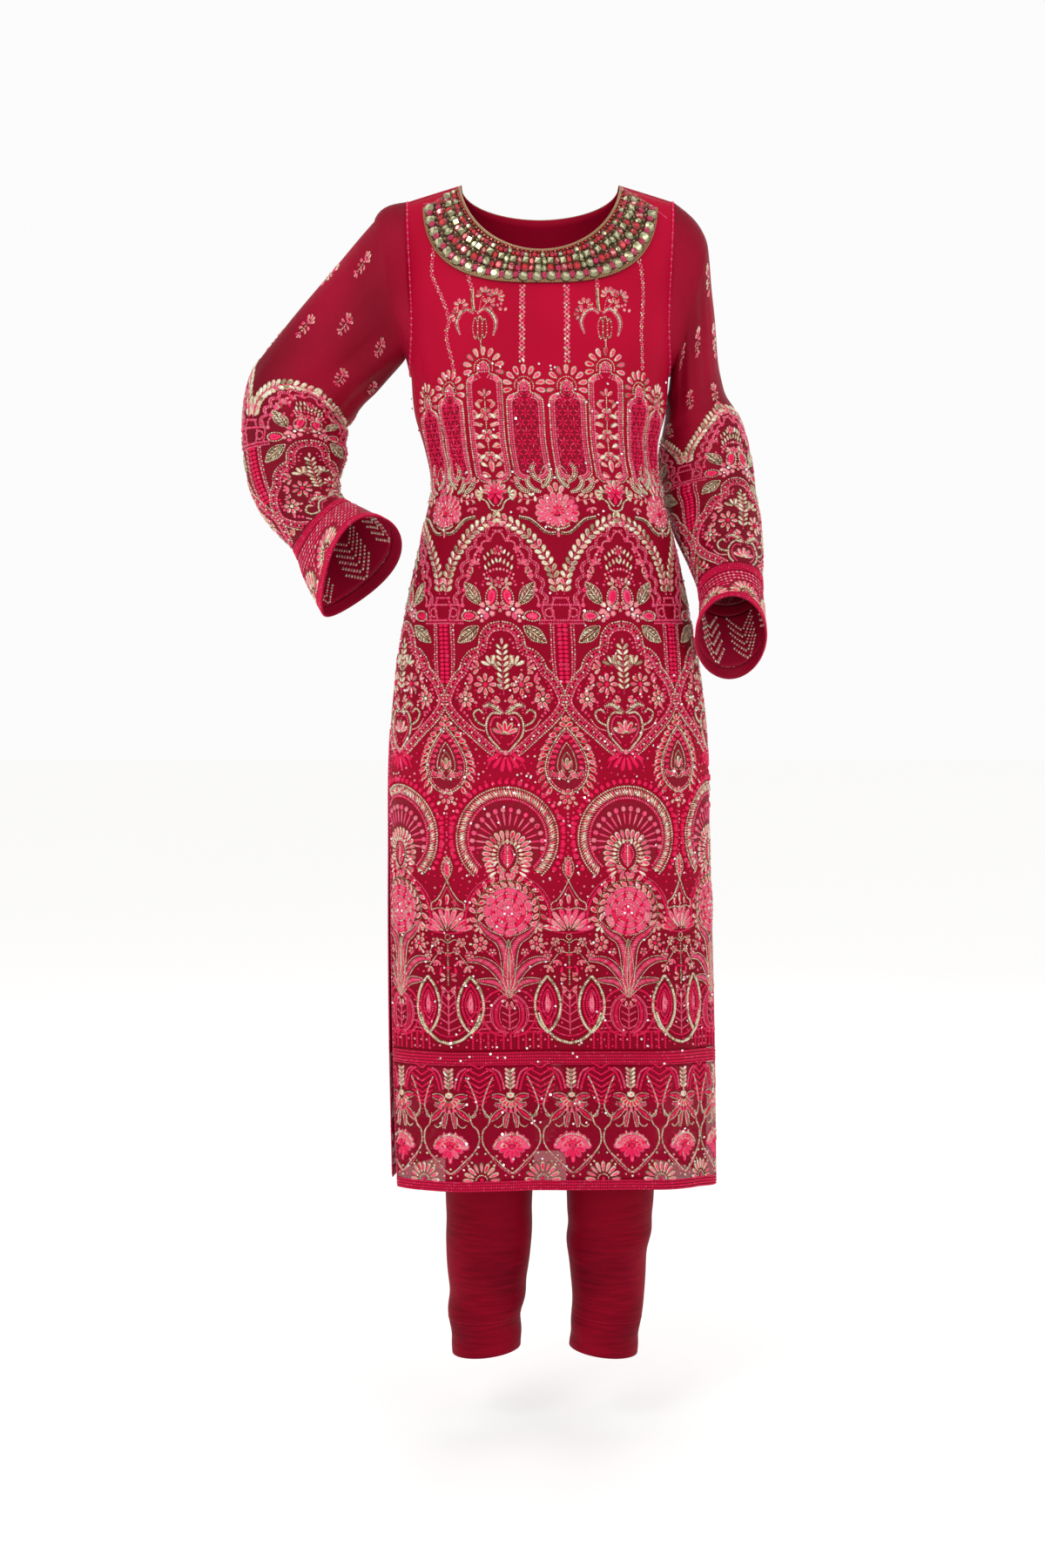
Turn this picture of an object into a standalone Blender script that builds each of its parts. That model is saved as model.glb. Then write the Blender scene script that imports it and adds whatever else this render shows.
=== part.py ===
"""Salwar kameez suit, worn shape, hollow: a long kameez with embroidered neck, borders, laces and
flared cuffs, over narrow trousers.

Metres, +Z up. The front of the suit faces -Y and the wearer's left is +X. The origin lies between
the shoulders at the height of the shoulder ridge beside the neck, where the wearer holds the suit up.
Every piece of cloth is one closed wall: an outer sheet of points, the same sheet moved inwards by
the thickness of the cloth, and a rim that joins the two.
"""
import math

import bmesh
import bpy
import numpy as np

# ---------------------------------------------------------------- driving sizes, metres
CLOTH = 0.0012            # embroidered organza with its thread
LACE = 0.0022             # corded laces
SEAM = 0.0004             # gap left between two pieces at a seam
ARMHOLE_GAP = 0.0014      # sideways gap at the armholes, where the sleeve leaves at an angle
CAP = 0.100               # height over which the shoulder rounds from ridge to chest
RIDGE_PEAK = 0.028        # height of the shoulder ridge line where it would meet the middle
RIDGE_SLOPE = 0.30        # fall of the shoulder ridge for each metre outwards
NECK_HALF = 0.0935        # half width of the neck opening
NECK_FRONT = 0.088        # depth of the neck at the front
NECK_BACK = 0.030         # depth of the neck at the back
SHOULDER_SEAM = 0.22      # how far the shoulder seam lies in front of the ridge, in cap units
ARMPIT = 0.225            # depth of the armpit below the origin
SLIT_TOP = 0.640          # where the side slits start
JOIN_LACE_TOP = 1.018     # lace between the kameez panels and their sheer borders
JOIN_LACE_WIDE = 0.016
HEM = 1.1830              # hem of the kameez at the middle of the front
HEM_LACE_WIDE = 0.0125
SIDE_DIP = 0.014          # how much lower the hem hangs at the slits than in the middle
HEM_TILT = 0.0060         # how much further it drops on the wearer's left than in the middle
BIB_HALF = 0.137          # half width of the beaded neck piece
BIB_DEEP = 0.1275         # depth of the beaded neck piece
BIB_SQUARE = 2.8          # squareness of its outer outline
BIB_LIFT = 0.0011         # height of its underside over the panel
BIB_THICK = 0.0016
BIB_STONES = 34           # large stones in each of its rows
STONE_HIGH = 0.0030
BINDING_WIDE = 0.0065
BINDING_LIFT = 0.0011
BINDING_SWEEP = 84.0      # degrees each side of the middle of the back
LEG_HEM = 1.410           # depth of the trousers' hems
CROTCH = 0.690            # depth of the trousers' crotch
HIP_FULL = 0.600          # depth where the two halves of the trousers part fully
TROUSER_MIDDLE = 0.0100   # the trousers' middle seam lies this far to the wearer's left
WAIST_TOP = 0.398
WAIST_WIDE = 0.036
WAIST_THICK = 0.0030

CRIMSON = (0.42, 0.010, 0.045)
SHEER_CRIMSON = (0.30, 0.008, 0.035)
HOT_PINK = (0.72, 0.020, 0.110)
GOLD = (0.45, 0.33, 0.18)
TROUSER_RED = (0.20, 0.006, 0.025)

FRONT, BACK = -1, 1

# Sections of the kameez, from the shoulder down: depth below the origin, half width, how far the
# front and the back stand off the side seams, squareness of the outline, the share of the half
# width that the panels cover (the rest is armhole or slit), sideways shift and turn in degrees.
TORSO_NAMES = ("down", "half", "front", "back", "square", "cover", "shift", "turn")
TORSO = (
    (0.000, 0.1720, 0.088, 0.080, 2.5, 0.910, 0.0000, 0.0),
    (0.100, 0.1605, 0.090, 0.086, 2.5, 0.955, 0.0000, 0.0),
    (0.180, 0.1560, 0.118, 0.094, 2.5, 0.965, 0.0000, 0.0),
    (0.225, 0.1535, 0.124, 0.093, 2.4, 1.000, 0.0000, 0.0),
    (0.270, 0.1495, 0.122, 0.090, 2.3, 1.000, 0.0000, 1.0),
    (0.310, 0.1390, 0.114, 0.086, 2.2, 1.000, 0.0010, 2.0),
    (0.350, 0.1365, 0.107, 0.085, 2.2, 1.000, 0.0060, 3.0),
    (0.410, 0.1495, 0.110, 0.093, 2.2, 1.000, 0.0085, 4.0),
    (0.480, 0.1655, 0.115, 0.105, 2.2, 1.000, 0.0085, 5.0),
    (0.550, 0.1790, 0.119, 0.114, 2.2, 1.000, 0.0095, 6.0),
    (0.640, 0.1900, 0.121, 0.118, 2.3, 1.000, 0.0105, 7.0),
    (0.800, 0.1950, 0.120, 0.113, 2.3, 0.996, 0.0120, 8.0),
    (1.000, 0.1985, 0.119, 0.106, 2.3, 0.991, 0.0150, 9.0),
    (1.220, 0.1990, 0.118, 0.102, 2.3, 0.984, 0.0185, 10.0),
)

# Soft folds of the kameez: panel, share across at the top and at the bottom, half width of the
# fold as a share, how far it stands out (or in, below zero), and the depths where it runs.
FOLD_NAMES = ("panel", "top_at", "end_at", "wide", "proud", "start", "end")
KAMEEZ_FOLDS = (
    (FRONT, -0.80, -0.62, 0.09, -0.0045, 0.19, 0.40),
    (FRONT, 0.82, 0.66, 0.09, -0.0045, 0.18, 0.38),
    (FRONT, -0.55, -0.60, 0.12, 0.0040, 0.62, 1.30),
    (FRONT, 0.42, 0.52, 0.12, 0.0040, 0.66, 1.30),
    (FRONT, -0.12, -0.20, 0.13, -0.0040, 0.74, 1.30),
    (FRONT, 0.80, 0.78, 0.10, -0.0050, 0.60, 1.30),
    (BACK, -0.66, -0.60, 0.12, 0.0060, 0.42, 1.30),
    (BACK, -0.22, -0.26, 0.12, -0.0060, 0.50, 1.30),
    (BACK, 0.20, 0.24, 0.12, 0.0060, 0.46, 1.30),
    (BACK, 0.62, 0.60, 0.12, -0.0060, 0.55, 1.30),
    (BACK, -0.78, -0.60, 0.10, -0.0050, 0.18, 0.42),
    (BACK, 0.78, 0.60, 0.10, -0.0050, 0.18, 0.42),
)

# Rings of the sleeves: distance along the sleeve, ring centre, half width across the arm, half
# depth, lean of the across line, tip of the ring's back towards the hand, in degrees, and how much
# narrower the ring is at its outer end.
SLEEVE_NAMES = ("along", "x", "y", "z", "across", "deep", "lean", "tip", "pinch")
SLEEVE_RIGHT = (
    (0.000, -0.179, 0.005, -0.122, 0.0825, 0.050, -77, 0, 0.00),
    (0.040, -0.205, 0.012, -0.151, 0.0735, 0.052, -65, 0, 0.00),
    (0.088, -0.237, 0.020, -0.186, 0.0685, 0.052, -53, 0, 0.00),
    (0.131, -0.265, 0.030, -0.216, 0.0655, 0.052, -38, -4, 0.00),
    (0.168, -0.287, 0.036, -0.245, 0.0670, 0.053, -26, -4, 0.00),
    (0.206, -0.296, 0.038, -0.282, 0.0645, 0.054, -6, 2, 0.00),
    (0.244, -0.294, 0.030, -0.318, 0.0630, 0.054, 5, 8, 0.00),
    (0.280, -0.293, 0.012, -0.351, 0.0550, 0.052, 12, 10, 0.00),
    (0.321, -0.281, -0.010, -0.381, 0.0470, 0.050, 27, 8, 0.10),
    (0.352, -0.264, -0.030, -0.400, 0.0425, 0.050, 43, 6, 0.20),
    (0.397, -0.242, -0.057, -0.426, 0.0545, 0.056, 51, 16, 0.32),
    (0.442, -0.214, -0.085, -0.455, 0.0665, 0.066, 56, 27, 0.45),
)
SLEEVE_LEFT = (
    (0.000, 0.1790, 0.010, -0.145, 0.0780, 0.050, 74, 0, 0.00),
    (0.042, 0.1810, 0.022, -0.188, 0.0610, 0.054, 64, 0, 0.00),
    (0.082, 0.1840, 0.037, -0.230, 0.0430, 0.062, 44, 0, 0.00),
    (0.115, 0.1880, 0.048, -0.260, 0.0430, 0.064, 30, 0, 0.00),
    (0.144, 0.1950, 0.056, -0.286, 0.0510, 0.064, 19, 0, 0.00),
    (0.184, 0.2020, 0.057, -0.325, 0.0560, 0.062, 9, 6, 0.00),
    (0.226, 0.2075, 0.047, -0.365, 0.0550, 0.060, 6, 16, 0.00),
    (0.272, 0.2150, 0.021, -0.403, 0.0520, 0.056, 6, 24, 0.00),
    (0.323, 0.2230, -0.010, -0.444, 0.0440, 0.052, 6, 28, 0.00),
    (0.361, 0.2260, -0.035, -0.473, 0.0380, 0.050, 5, 30, 0.00),
    (0.435, 0.2240, -0.075, -0.536, 0.0415, 0.070, 10, 45, 0.00),
)
SLEEVE_RISE = 0.008       # how far the sleeve head stands up over the straight line to the arm
SLEEVE_HEAD = 0.034       # length of the sleeve head between the armhole and the first ring
CUFF_NAMES = ("join_lace", "band", "hem_lace", "end")
CUFF_RIGHT = (0.357, 0.371, 0.430, 0.442)
CUFF_LEFT = (0.361, 0.374, 0.424, 0.435)

# Creases of the sleeves: where each starts and ends along the sleeve and around it (in turns from
# the underarm, by way of the front, at one half over the shoulder), its half width and its depth.
CREASE_NAMES = ("along0", "around0", "along1", "around1", "wide", "deep")
CREASES_RIGHT = (
    (0.00, 0.13, 0.16, 0.22, 0.014, 0.0050),
    (0.05, 0.06, 0.19, 0.09, 0.013, 0.0050),
    (0.02, 0.33, 0.15, 0.36, 0.015, 0.0040),
    (0.195, -0.06, 0.165, 0.24, 0.012, 0.0070),
    (0.240, -0.04, 0.215, 0.22, 0.011, 0.0060),
    (0.285, 0.00, 0.255, 0.20, 0.011, 0.0045),
    (0.06, 0.70, 0.20, 0.74, 0.015, 0.0050),
    (0.20, 0.80, 0.22, 0.98, 0.012, 0.0060),
)
CREASES_LEFT = (
    (-0.01, 0.33, 0.13, 0.30, 0.011, 0.0040),
    (-0.01, 0.18, 0.12, 0.16, 0.011, 0.0040),
    (0.130, 0.10, 0.118, 0.46, 0.010, 0.0050),
    (0.185, 0.08, 0.165, 0.40, 0.012, 0.0045),
    (0.250, 0.10, 0.225, 0.42, 0.012, 0.0045),
    (0.310, 0.14, 0.295, 0.40, 0.011, 0.0035),
    (0.02, 0.72, 0.15, 0.70, 0.014, 0.0050),
    (0.19, 0.62, 0.21, 0.92, 0.013, 0.0050),
)

# Rings of the trouser legs, upwards from the hem: height, middle and half width, half depth.
LEG_NAMES = ("z", "x", "y", "half", "deep")
LEG_RIGHT = (
    (-1.4100, -0.0650, 0.000, 0.0420, 0.046),
    (-1.3657, -0.0660, 0.000, 0.0445, 0.049),
    (-1.3000, -0.0620, 0.000, 0.0500, 0.055),
    (-1.2249, -0.0618, 0.000, 0.0527, 0.059),
    (-1.1000, -0.0600, 0.000, 0.0560, 0.064),
    (-0.9300, -0.0630, 0.000, 0.0635, 0.074),
    (-0.7800, -0.0690, -0.002, 0.0760, 0.082),
    (-0.6900, -0.0723, -0.003, 0.0820, 0.088),
)
LEG_LEFT = (
    (-1.4100, 0.0783, 0.000, 0.0420, 0.046),
    (-1.3657, 0.0823, 0.000, 0.0420, 0.048),
    (-1.3000, 0.0832, 0.000, 0.0478, 0.054),
    (-1.2249, 0.0862, 0.000, 0.0527, 0.059),
    (-1.1000, 0.0850, 0.000, 0.0560, 0.064),
    (-0.9300, 0.0850, 0.000, 0.0635, 0.074),
    (-0.7800, 0.0890, 0.000, 0.0760, 0.084),
    (-0.6900, 0.0923, 0.000, 0.0820, 0.090),
)
LEG_HEM_SLANT = 0.0095    # how much higher each leg's hem sits at the inseam than outside
LEG_WRINKLES = 0.0014     # depth of the soft waves above the ankles
LEG_WAVE = 78.0           # how fast they follow each other, radians a metre

# Sections of the trousers' body above the crotch: height, half width, front and back depth.
HIP_NAMES = ("z", "half", "front", "back")
HIPS = (
    (-0.6900, 0.1640, 0.092, 0.090),
    (-0.6000, 0.1680, 0.096, 0.1105),
    (-0.5200, 0.1580, 0.094, 0.098),
    (-0.4340, 0.1390, 0.086, 0.078),
    (-0.3980, 0.1330, 0.084, 0.074),
)


# ---------------------------------------------------------------- reading the tables
def smooth(table, names, name, at):
    """The named column of a table at any value of its first column, on a smooth curve."""
    values = np.array(table, float)
    place = values[:, 0]
    column = values[:, names.index(name)]
    slope = np.gradient(column, place)
    at = np.clip(np.asarray(at, float), place[0], place[-1])
    low = np.clip(np.searchsorted(place, at) - 1, 0, len(place) - 2)
    step = place[low + 1] - place[low]
    t = (at - place[low]) / step
    start = (1 + 2 * t) * (1 - t) ** 2 * column[low] + t * (1 - t) ** 2 * step * slope[low]
    end = t * t * (3 - 2 * t) * column[low + 1] + t * t * (t - 1) * step * slope[low + 1]
    return start + end


def ease(value):
    """A smooth step from 0 to 1."""
    value = np.clip(value, 0.0, 1.0)
    return value * value * (3 - 2 * value)


# ---------------------------------------------------------------- the kameez body
def kameez_depth(down):
    """Depth below the origin for a place counted in cap units from the shoulder ridge."""
    round_cap = CAP * (1 - np.cos(np.clip(down, -1, 1) * math.pi / 2))
    return np.where(np.abs(down) < 1, round_cap, CAP * np.abs(down))


def along_section(share, half, depth, square, cover):
    """Point at a share of the way from the middle of a panel to its edge, by distance."""
    steps = np.linspace(0.0, 1.0, 61)
    edge = np.maximum(np.arccos(np.clip(cover, 0, 1) ** (square / 2)), 0.0008)
    angle = math.pi / 2 + (edge[..., None] - math.pi / 2) * steps
    power = 2 / square[..., None]
    x = half[..., None] * np.cos(angle) ** power
    y = depth[..., None] * np.sin(angle) ** power
    run = np.zeros_like(x)
    run[..., 1:] = np.cumsum(np.hypot(np.diff(x), np.diff(y)), axis=-1)
    target = np.abs(share) * run[..., -1]
    low = np.clip((run <= target[..., None]).sum(-1) - 1, 0, len(steps) - 2)[..., None]
    pick = lambda values, at: np.take_along_axis(values, at, -1)[..., 0]
    span = np.maximum(pick(run, low + 1) - pick(run, low), 1e-12)
    t = np.clip((target - pick(run, low)) / span, 0, 1)
    px = pick(x, low) * (1 - t) + pick(x, low + 1) * t
    py = pick(y, low) * (1 - t) + pick(y, low + 1) * t
    return px * np.sign(share), py


def kameez(panel, share, down):
    """Point of a kameez panel: share runs -1..1 between its edges, down in cap units."""
    share, down = np.broadcast_arrays(np.asarray(share, float), np.asarray(down, float))
    depth = kameez_depth(down)
    read = lambda name: smooth(TORSO, TORSO_NAMES, name, depth)
    front_side = (panel == FRONT) | (down < 0)
    stand_off = np.where(front_side, read("front"), read("back"))
    half, square = read("half"), read("square")
    x, y = along_section(share, half, stand_off, square, read("cover"))
    ridge = RIDGE_PEAK - RIDGE_SLOPE * np.sqrt(x * x + 0.01 ** 2)
    angle = np.clip(down, -1, 1) * math.pi / 2
    z = np.where(np.abs(down) < 1, -CAP + (ridge + CAP) * np.cos(angle), -depth)
    for fold in KAMEEZ_FOLDS:
        where = dict(zip(FOLD_NAMES, fold))
        if where["panel"] != panel:
            continue
        t = (depth - where["start"]) / (where["end"] - where["start"])
        middle = where["top_at"] + (where["end_at"] - where["top_at"]) * t
        hump = np.exp(-((share - middle) / where["wide"]) ** 2)
        fade = ease(t / 0.35) * ease((1.0 - t) / 0.12)
        proud = where["proud"] * hump * fade
        lean_x = np.sign(x) * (np.abs(x) / half) ** (square - 1) / half
        lean_y = (y / stand_off) ** (square - 1) / stand_off
        length = np.hypot(lean_x, lean_y)
        x = x + proud * lean_x / length
        y = y + proud * lean_y / length
    y = y * np.sin(np.abs(angle)) * np.where(front_side, -1.0, 1.0)
    z = z - (SIDE_DIP * share ** 2 + HEM_TILT * share) * ease((depth - SLIT_TOP) / (HEM - SLIT_TOP))
    turn = np.radians(read("turn"))
    shift = read("shift")
    return np.stack((shift + x * np.cos(turn) - y * np.sin(turn),
                     x * np.sin(turn) + y * np.cos(turn), z), -1)


def facing(surface, first, second, outward):
    """Unit normals of a surface of two measures, by small steps."""
    step = 1e-3
    across = surface(first + step, second) - surface(first - step, second)
    along = surface(first, second + step) - surface(first, second - step)
    normal = np.cross(across, along) * outward
    return normal / np.linalg.norm(normal, axis=-1, keepdims=True)


def kameez_facing(panel, share, down):
    """Outward normals of a panel, kept inside its edges."""
    share = np.clip(share, -0.9985, 0.9985)
    return facing(lambda a, b: kameez(panel, a, b), share, down, float(panel))


def share_at(panel, x, down):
    """The share across a panel at which it has a given x."""
    shares = np.linspace(-1, 1, 201)
    found = [np.interp(px, kameez(panel, shares, float(d))[:, 0], shares)
             for px, d in zip(np.ravel(x), np.ravel(down))]
    return np.reshape(found, np.shape(x))


def down_at(x, z):
    """Cap units from the ridge to a height on the chest."""
    ridge = RIDGE_PEAK - RIDGE_SLOPE * np.sqrt(x * x + 0.01 ** 2)
    angle = np.arccos(np.clip((z + CAP) / (ridge + CAP), -1, 1))
    return np.where(z > -CAP, angle / (math.pi / 2), -z / CAP)


# ---------------------------------------------------------------- closed walls of cloth
def finish(name, mesh, colour, roughness=0.75):
    """An object of one closed body with its own material."""
    closed = bmesh.new()
    closed.from_mesh(mesh)
    bmesh.ops.recalc_face_normals(closed, faces=closed.faces)
    closed.to_mesh(mesh)
    closed.free()
    mesh.shade_smooth()
    mesh.set_sharp_from_angle(angle=math.radians(50))
    material = bpy.data.materials.new(name)
    material.use_nodes = True
    shader = material.node_tree.nodes["Principled BSDF"]
    shader.inputs["Base Color"].default_value = (*colour, 1.0)
    shader.inputs["Roughness"].default_value = roughness
    shader.inputs["Metallic"].default_value = 0.0
    mesh.materials.append(material)
    piece = bpy.data.objects.new(name, mesh)
    bpy.context.scene.collection.objects.link(piece)
    return piece


def studded_wall(name, outer, inner, colour):
    """A wall whose outer rows carry raised stones, over a plain inside of fewer rows."""
    rows, columns = outer.shape[:2]
    places = [tuple(point) for point in outer.reshape(-1, 3)]
    places += [tuple(point) for point in inner.reshape(-1, 3)]
    last = len(inner) - 1
    top = lambda i, j: i * columns + j
    under = lambda i, j: (rows + i) * columns + j
    faces = []
    for j in range(columns - 1):
        for i in range(rows - 1):
            faces.append((top(i, j), top(i, j + 1), top(i + 1, j + 1), top(i + 1, j)))
        for i in range(last):
            faces.append((under(i + 1, j), under(i + 1, j + 1), under(i, j + 1), under(i, j)))
        faces.append((top(0, j + 1), top(0, j), under(0, j), under(0, j + 1)))
        faces.append((top(rows - 1, j), top(rows - 1, j + 1), under(last, j + 1), under(last, j)))
    for j in (0, columns - 1):
        end = [top(i, j) for i in range(rows)] + [under(last - i, j) for i in range(last + 1)]
        faces.append(end if j == 0 else end[::-1])
    mesh = bpy.data.meshes.new(name)
    mesh.from_pydata(places, [], faces)
    return finish(name, mesh, colour)


def wall(name, outer, inner, colour, closed_rows=None):
    """Join an outer and an inner sheet of rows of points into one wall with a rim.

    In a closed row the last point is the first one again.
    """
    rows, columns = outer.shape[:2]
    if closed_rows is None:
        closed_rows = [False] * rows
    points = []
    label = np.zeros((rows, columns), int)
    for i in range(rows):
        for j in range(columns):
            if closed_rows[i] and j == columns - 1:
                label[i, j] = label[i, 0]
                continue
            label[i, j] = len(points)
            points.append((i, j))
    count = len(points)
    places = [tuple(outer[i, j]) for i, j in points] + [tuple(inner[i, j]) for i, j in points]
    sheet = []
    for i in range(rows - 1):
        for j in range(columns - 1):
            a, b = label[i, j], label[i, j + 1]
            c, d = label[i + 1, j + 1], label[i + 1, j]
            for face in ((a, b, c), (a, c, d)):
                if len(set(face)) == 3:
                    sheet.append(face)
    edges = {(face[k], face[(k + 1) % 3]) for face in sheet for k in range(3)}
    faces = list(sheet)
    faces += [(c + count, b + count, a + count) for a, b, c in sheet]
    for a, b in sorted(edges):
        if (b, a) not in edges:
            faces += [(b, a, a + count), (b, a + count, b + count)]
    mesh = bpy.data.meshes.new(name)
    mesh.from_pydata(places, [], faces)
    return finish(name, mesh, colour)


# ---------------------------------------------------------------- kameez panels, borders and laces
PANEL_HALF_COLUMNS = 12
NECK_COLUMNS = 7          # columns of each half panel that end at the neck
NECK_SWEEP = math.radians(81.0)     # where the curve of the neck meets the shoulder seam


def front_top(column):
    """Share and depth of the front panel's top edge at a column of one half."""
    corner_x = NECK_HALF * math.sin(NECK_SWEEP)
    if column <= NECK_COLUMNS:
        angle = column / NECK_COLUMNS * NECK_SWEEP
        x, z = NECK_HALF * math.sin(angle), -NECK_FRONT * math.cos(angle)
        down = float(down_at(np.array(x), np.array(z)))
        return float(share_at(FRONT, np.array([x]), np.array([down]))[0]), down
    corner = float(share_at(FRONT, np.array([corner_x]), np.array([SHOULDER_SEAM]))[0])
    t = (column - NECK_COLUMNS) / (PANEL_HALF_COLUMNS - NECK_COLUMNS)
    return corner + (1 - corner) * t, SHOULDER_SEAM


def back_top(column):
    """Share and depth of the back panel's top edge; it comes over the ridge to the seam."""
    corner_x = NECK_HALF * math.sin(NECK_SWEEP)
    over_ridge = NECK_COLUMNS - 1
    if column <= over_ridge:
        angle = column / over_ridge * math.pi / 2
        x, z = NECK_HALF * math.sin(angle), -NECK_BACK * math.cos(angle)
        down = float(down_at(np.array(x), np.array(z)))
        return float(share_at(BACK, np.array([x]), np.array([down]))[0]), down
    corner = float(share_at(BACK, np.array([corner_x]), np.array([-SHOULDER_SEAM]))[0])
    t = (column - NECK_COLUMNS) / (PANEL_HALF_COLUMNS - NECK_COLUMNS)
    return corner + (1 - corner) * t, -SHOULDER_SEAM + SEAM / CAP


def panel_grid(panel, top, upper_rows, levels):
    """Shares and depths of a panel's points, row by row from its top edge to its last level."""
    columns = range(-PANEL_HALF_COLUMNS, PANEL_HALF_COLUMNS + 1)
    armpit = ARMPIT / CAP
    share, down = [], []
    tops = [top(abs(column)) for column in columns]
    for row in range(upper_rows):
        t = row / upper_rows
        lean = t
        share.append([math.copysign(at, column) * (1 - lean)
                      + column / PANEL_HALF_COLUMNS * lean if column else 0.0
                      for column, (at, _) in zip(columns, tops)])
        down.append([start + (armpit - start) * t for _, start in tops])
    for level in levels:
        share.append([column / PANEL_HALF_COLUMNS for column in columns])
        down.append([level / CAP] * len(share[-1]))
    return np.array(share), np.array(down)


def panel_wall(name, panel, share, down, thickness, colour, proud=0.0):
    """A wall of cloth on a kameez panel, its outer face proud of the panel's own."""
    normal = kameez_facing(panel, share, down)
    edge = np.abs(share) > 0.9999
    outer = kameez(panel, share, down)
    side_gap = np.where(edge, SEAM / 2 * panel, 0.0)
    outer[..., 1] += side_gap
    return wall(name, outer + normal * proud, outer - normal * (thickness - proud), colour)


def kameez_body():
    """Front and back panels with their laces and sheer borders."""
    body_end = JOIN_LACE_TOP - SEAM
    lace_end = JOIN_LACE_TOP + JOIN_LACE_WIDE
    border_end = HEM - HEM_LACE_WIDE
    front_levels = [ARMPIT, 0.247, 0.270, 0.290, 0.310, 0.330, 0.350, 0.375, 0.405, 0.440, 0.480,
                    0.525, 0.580, SLIT_TOP, 0.710, 0.785, 0.860, 0.940, body_end]
    back_levels = [ARMPIT, 0.255, 0.285, 0.315, 0.350, 0.390, 0.440, 0.500, 0.565, SLIT_TOP,
                   0.720, 0.810, 0.910, body_end]
    share, down = panel_grid(FRONT, front_top, 8, front_levels)
    panel_wall("kameez_front", FRONT, share, down, CLOTH, CRIMSON)
    share, down = panel_grid(BACK, back_top, 9, back_levels)
    panel_wall("kameez_back", BACK, share, down, CLOTH, CRIMSON)
    across = np.linspace(-1, 1, 2 * PANEL_HALF_COLUMNS + 1)
    for side, panel in (("front", FRONT), ("back", BACK)):
        strips = (
            ("join_lace", (JOIN_LACE_TOP, lace_end), LACE, HOT_PINK, 0.0008),
            ("hem_border", (lace_end + SEAM, 1.080, 1.125, border_end - SEAM), CLOTH,
             SHEER_CRIMSON, 0.0),
            ("hem_lace", (border_end, HEM), LACE, HOT_PINK, 0.0008),
        )
        for strip, levels, thickness, colour, proud in strips:
            share, down = np.meshgrid(across, np.array(levels) / CAP)
            panel_wall(f"{side}_{strip}", panel, share, down, thickness, colour, proud)


# ---------------------------------------------------------------- beaded neck piece and binding
def bib_place(turn, inward):
    """Share and depth on the front panel: turn runs -1..1 round the neck, inward 0..1."""
    angle = turn * math.radians(84)
    inner_x, inner_z = NECK_HALF * np.sin(angle), -NECK_FRONT * np.cos(angle)
    power = 2 / BIB_SQUARE
    outer_x = BIB_HALF * np.sign(angle) * np.abs(np.sin(angle)) ** power
    outer_z = -0.012 - (BIB_DEEP - 0.012) * np.cos(angle) ** power
    x = outer_x + (inner_x - outer_x) * inward
    z = outer_z + (inner_z - outer_z) * inward
    down = down_at(x, z)
    return share_at(FRONT, x, down), down


def neck_bib():
    """The stiff neck piece, its large stones raised in its face over a plain underside."""
    turn = np.linspace(-1, 1, 2 * BIB_STONES + 1)
    inward = np.array([0.0, 0.07, 0.20, 0.34, 0.50, 0.64, 0.78, 0.93, 1.0])
    peaks = np.array([0, 0, 1, 0, 0.8, 0, 0.8, 0, 0])
    turns, inwards = np.meshgrid(turn, inward)
    share, down = bib_place(turns, inwards)
    normal = kameez_facing(FRONT, share, down)
    base = kameez(FRONT, share, down)
    odd = np.arange(len(turn)) % 2
    height = BIB_LIFT + BIB_THICK + STONE_HIGH * peaks[:, None] * odd[None, :]
    under = (base + normal * BIB_LIFT)[[0, 3, 5, -1]]
    studded_wall("neck_bib", base + normal * height[..., None], under, GOLD)


def neck_binding():
    """The narrow binding round the back of the neck."""
    angle = np.linspace(-1, 1, 25) * math.radians(BINDING_SWEEP)
    rows = []
    for width in (0.0, 0.5, 1.0):
        x = (NECK_HALF + BINDING_WIDE * width) * np.sin(angle)
        z = -(NECK_BACK + BINDING_WIDE * width) * np.cos(angle)
        down = down_at(x, z)
        share = share_at(BACK, x, down)
        rows.append((share, down))
    share = np.array([row[0] for row in rows])
    down = np.array([row[1] for row in rows])
    normal = kameez_facing(BACK, share, down)
    base = kameez(BACK, share, down)
    wall("neck_binding", base + normal * (BINDING_LIFT + 0.0016), base + normal * BINDING_LIFT, GOLD)


# ---------------------------------------------------------------- sleeves and cuffs
def armhole(side, around):
    """Points of an armhole's edge, in turns from the underarm, over the front first."""
    armpit = ARMPIT / CAP
    front = kameez(FRONT, side, np.linspace(armpit, SHOULDER_SEAM, 60))
    back = kameez(BACK, side, np.linspace(-SHOULDER_SEAM, armpit, 70))
    loop = np.concatenate((front, back[1:]))
    run = np.concatenate(([0.0], np.cumsum(np.linalg.norm(np.diff(loop, axis=0), axis=1))))
    turns = np.mod(around, 1.0) * run[-1]
    return np.stack([np.interp(turns, run, loop[:, k]) for k in range(3)], -1)


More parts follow.
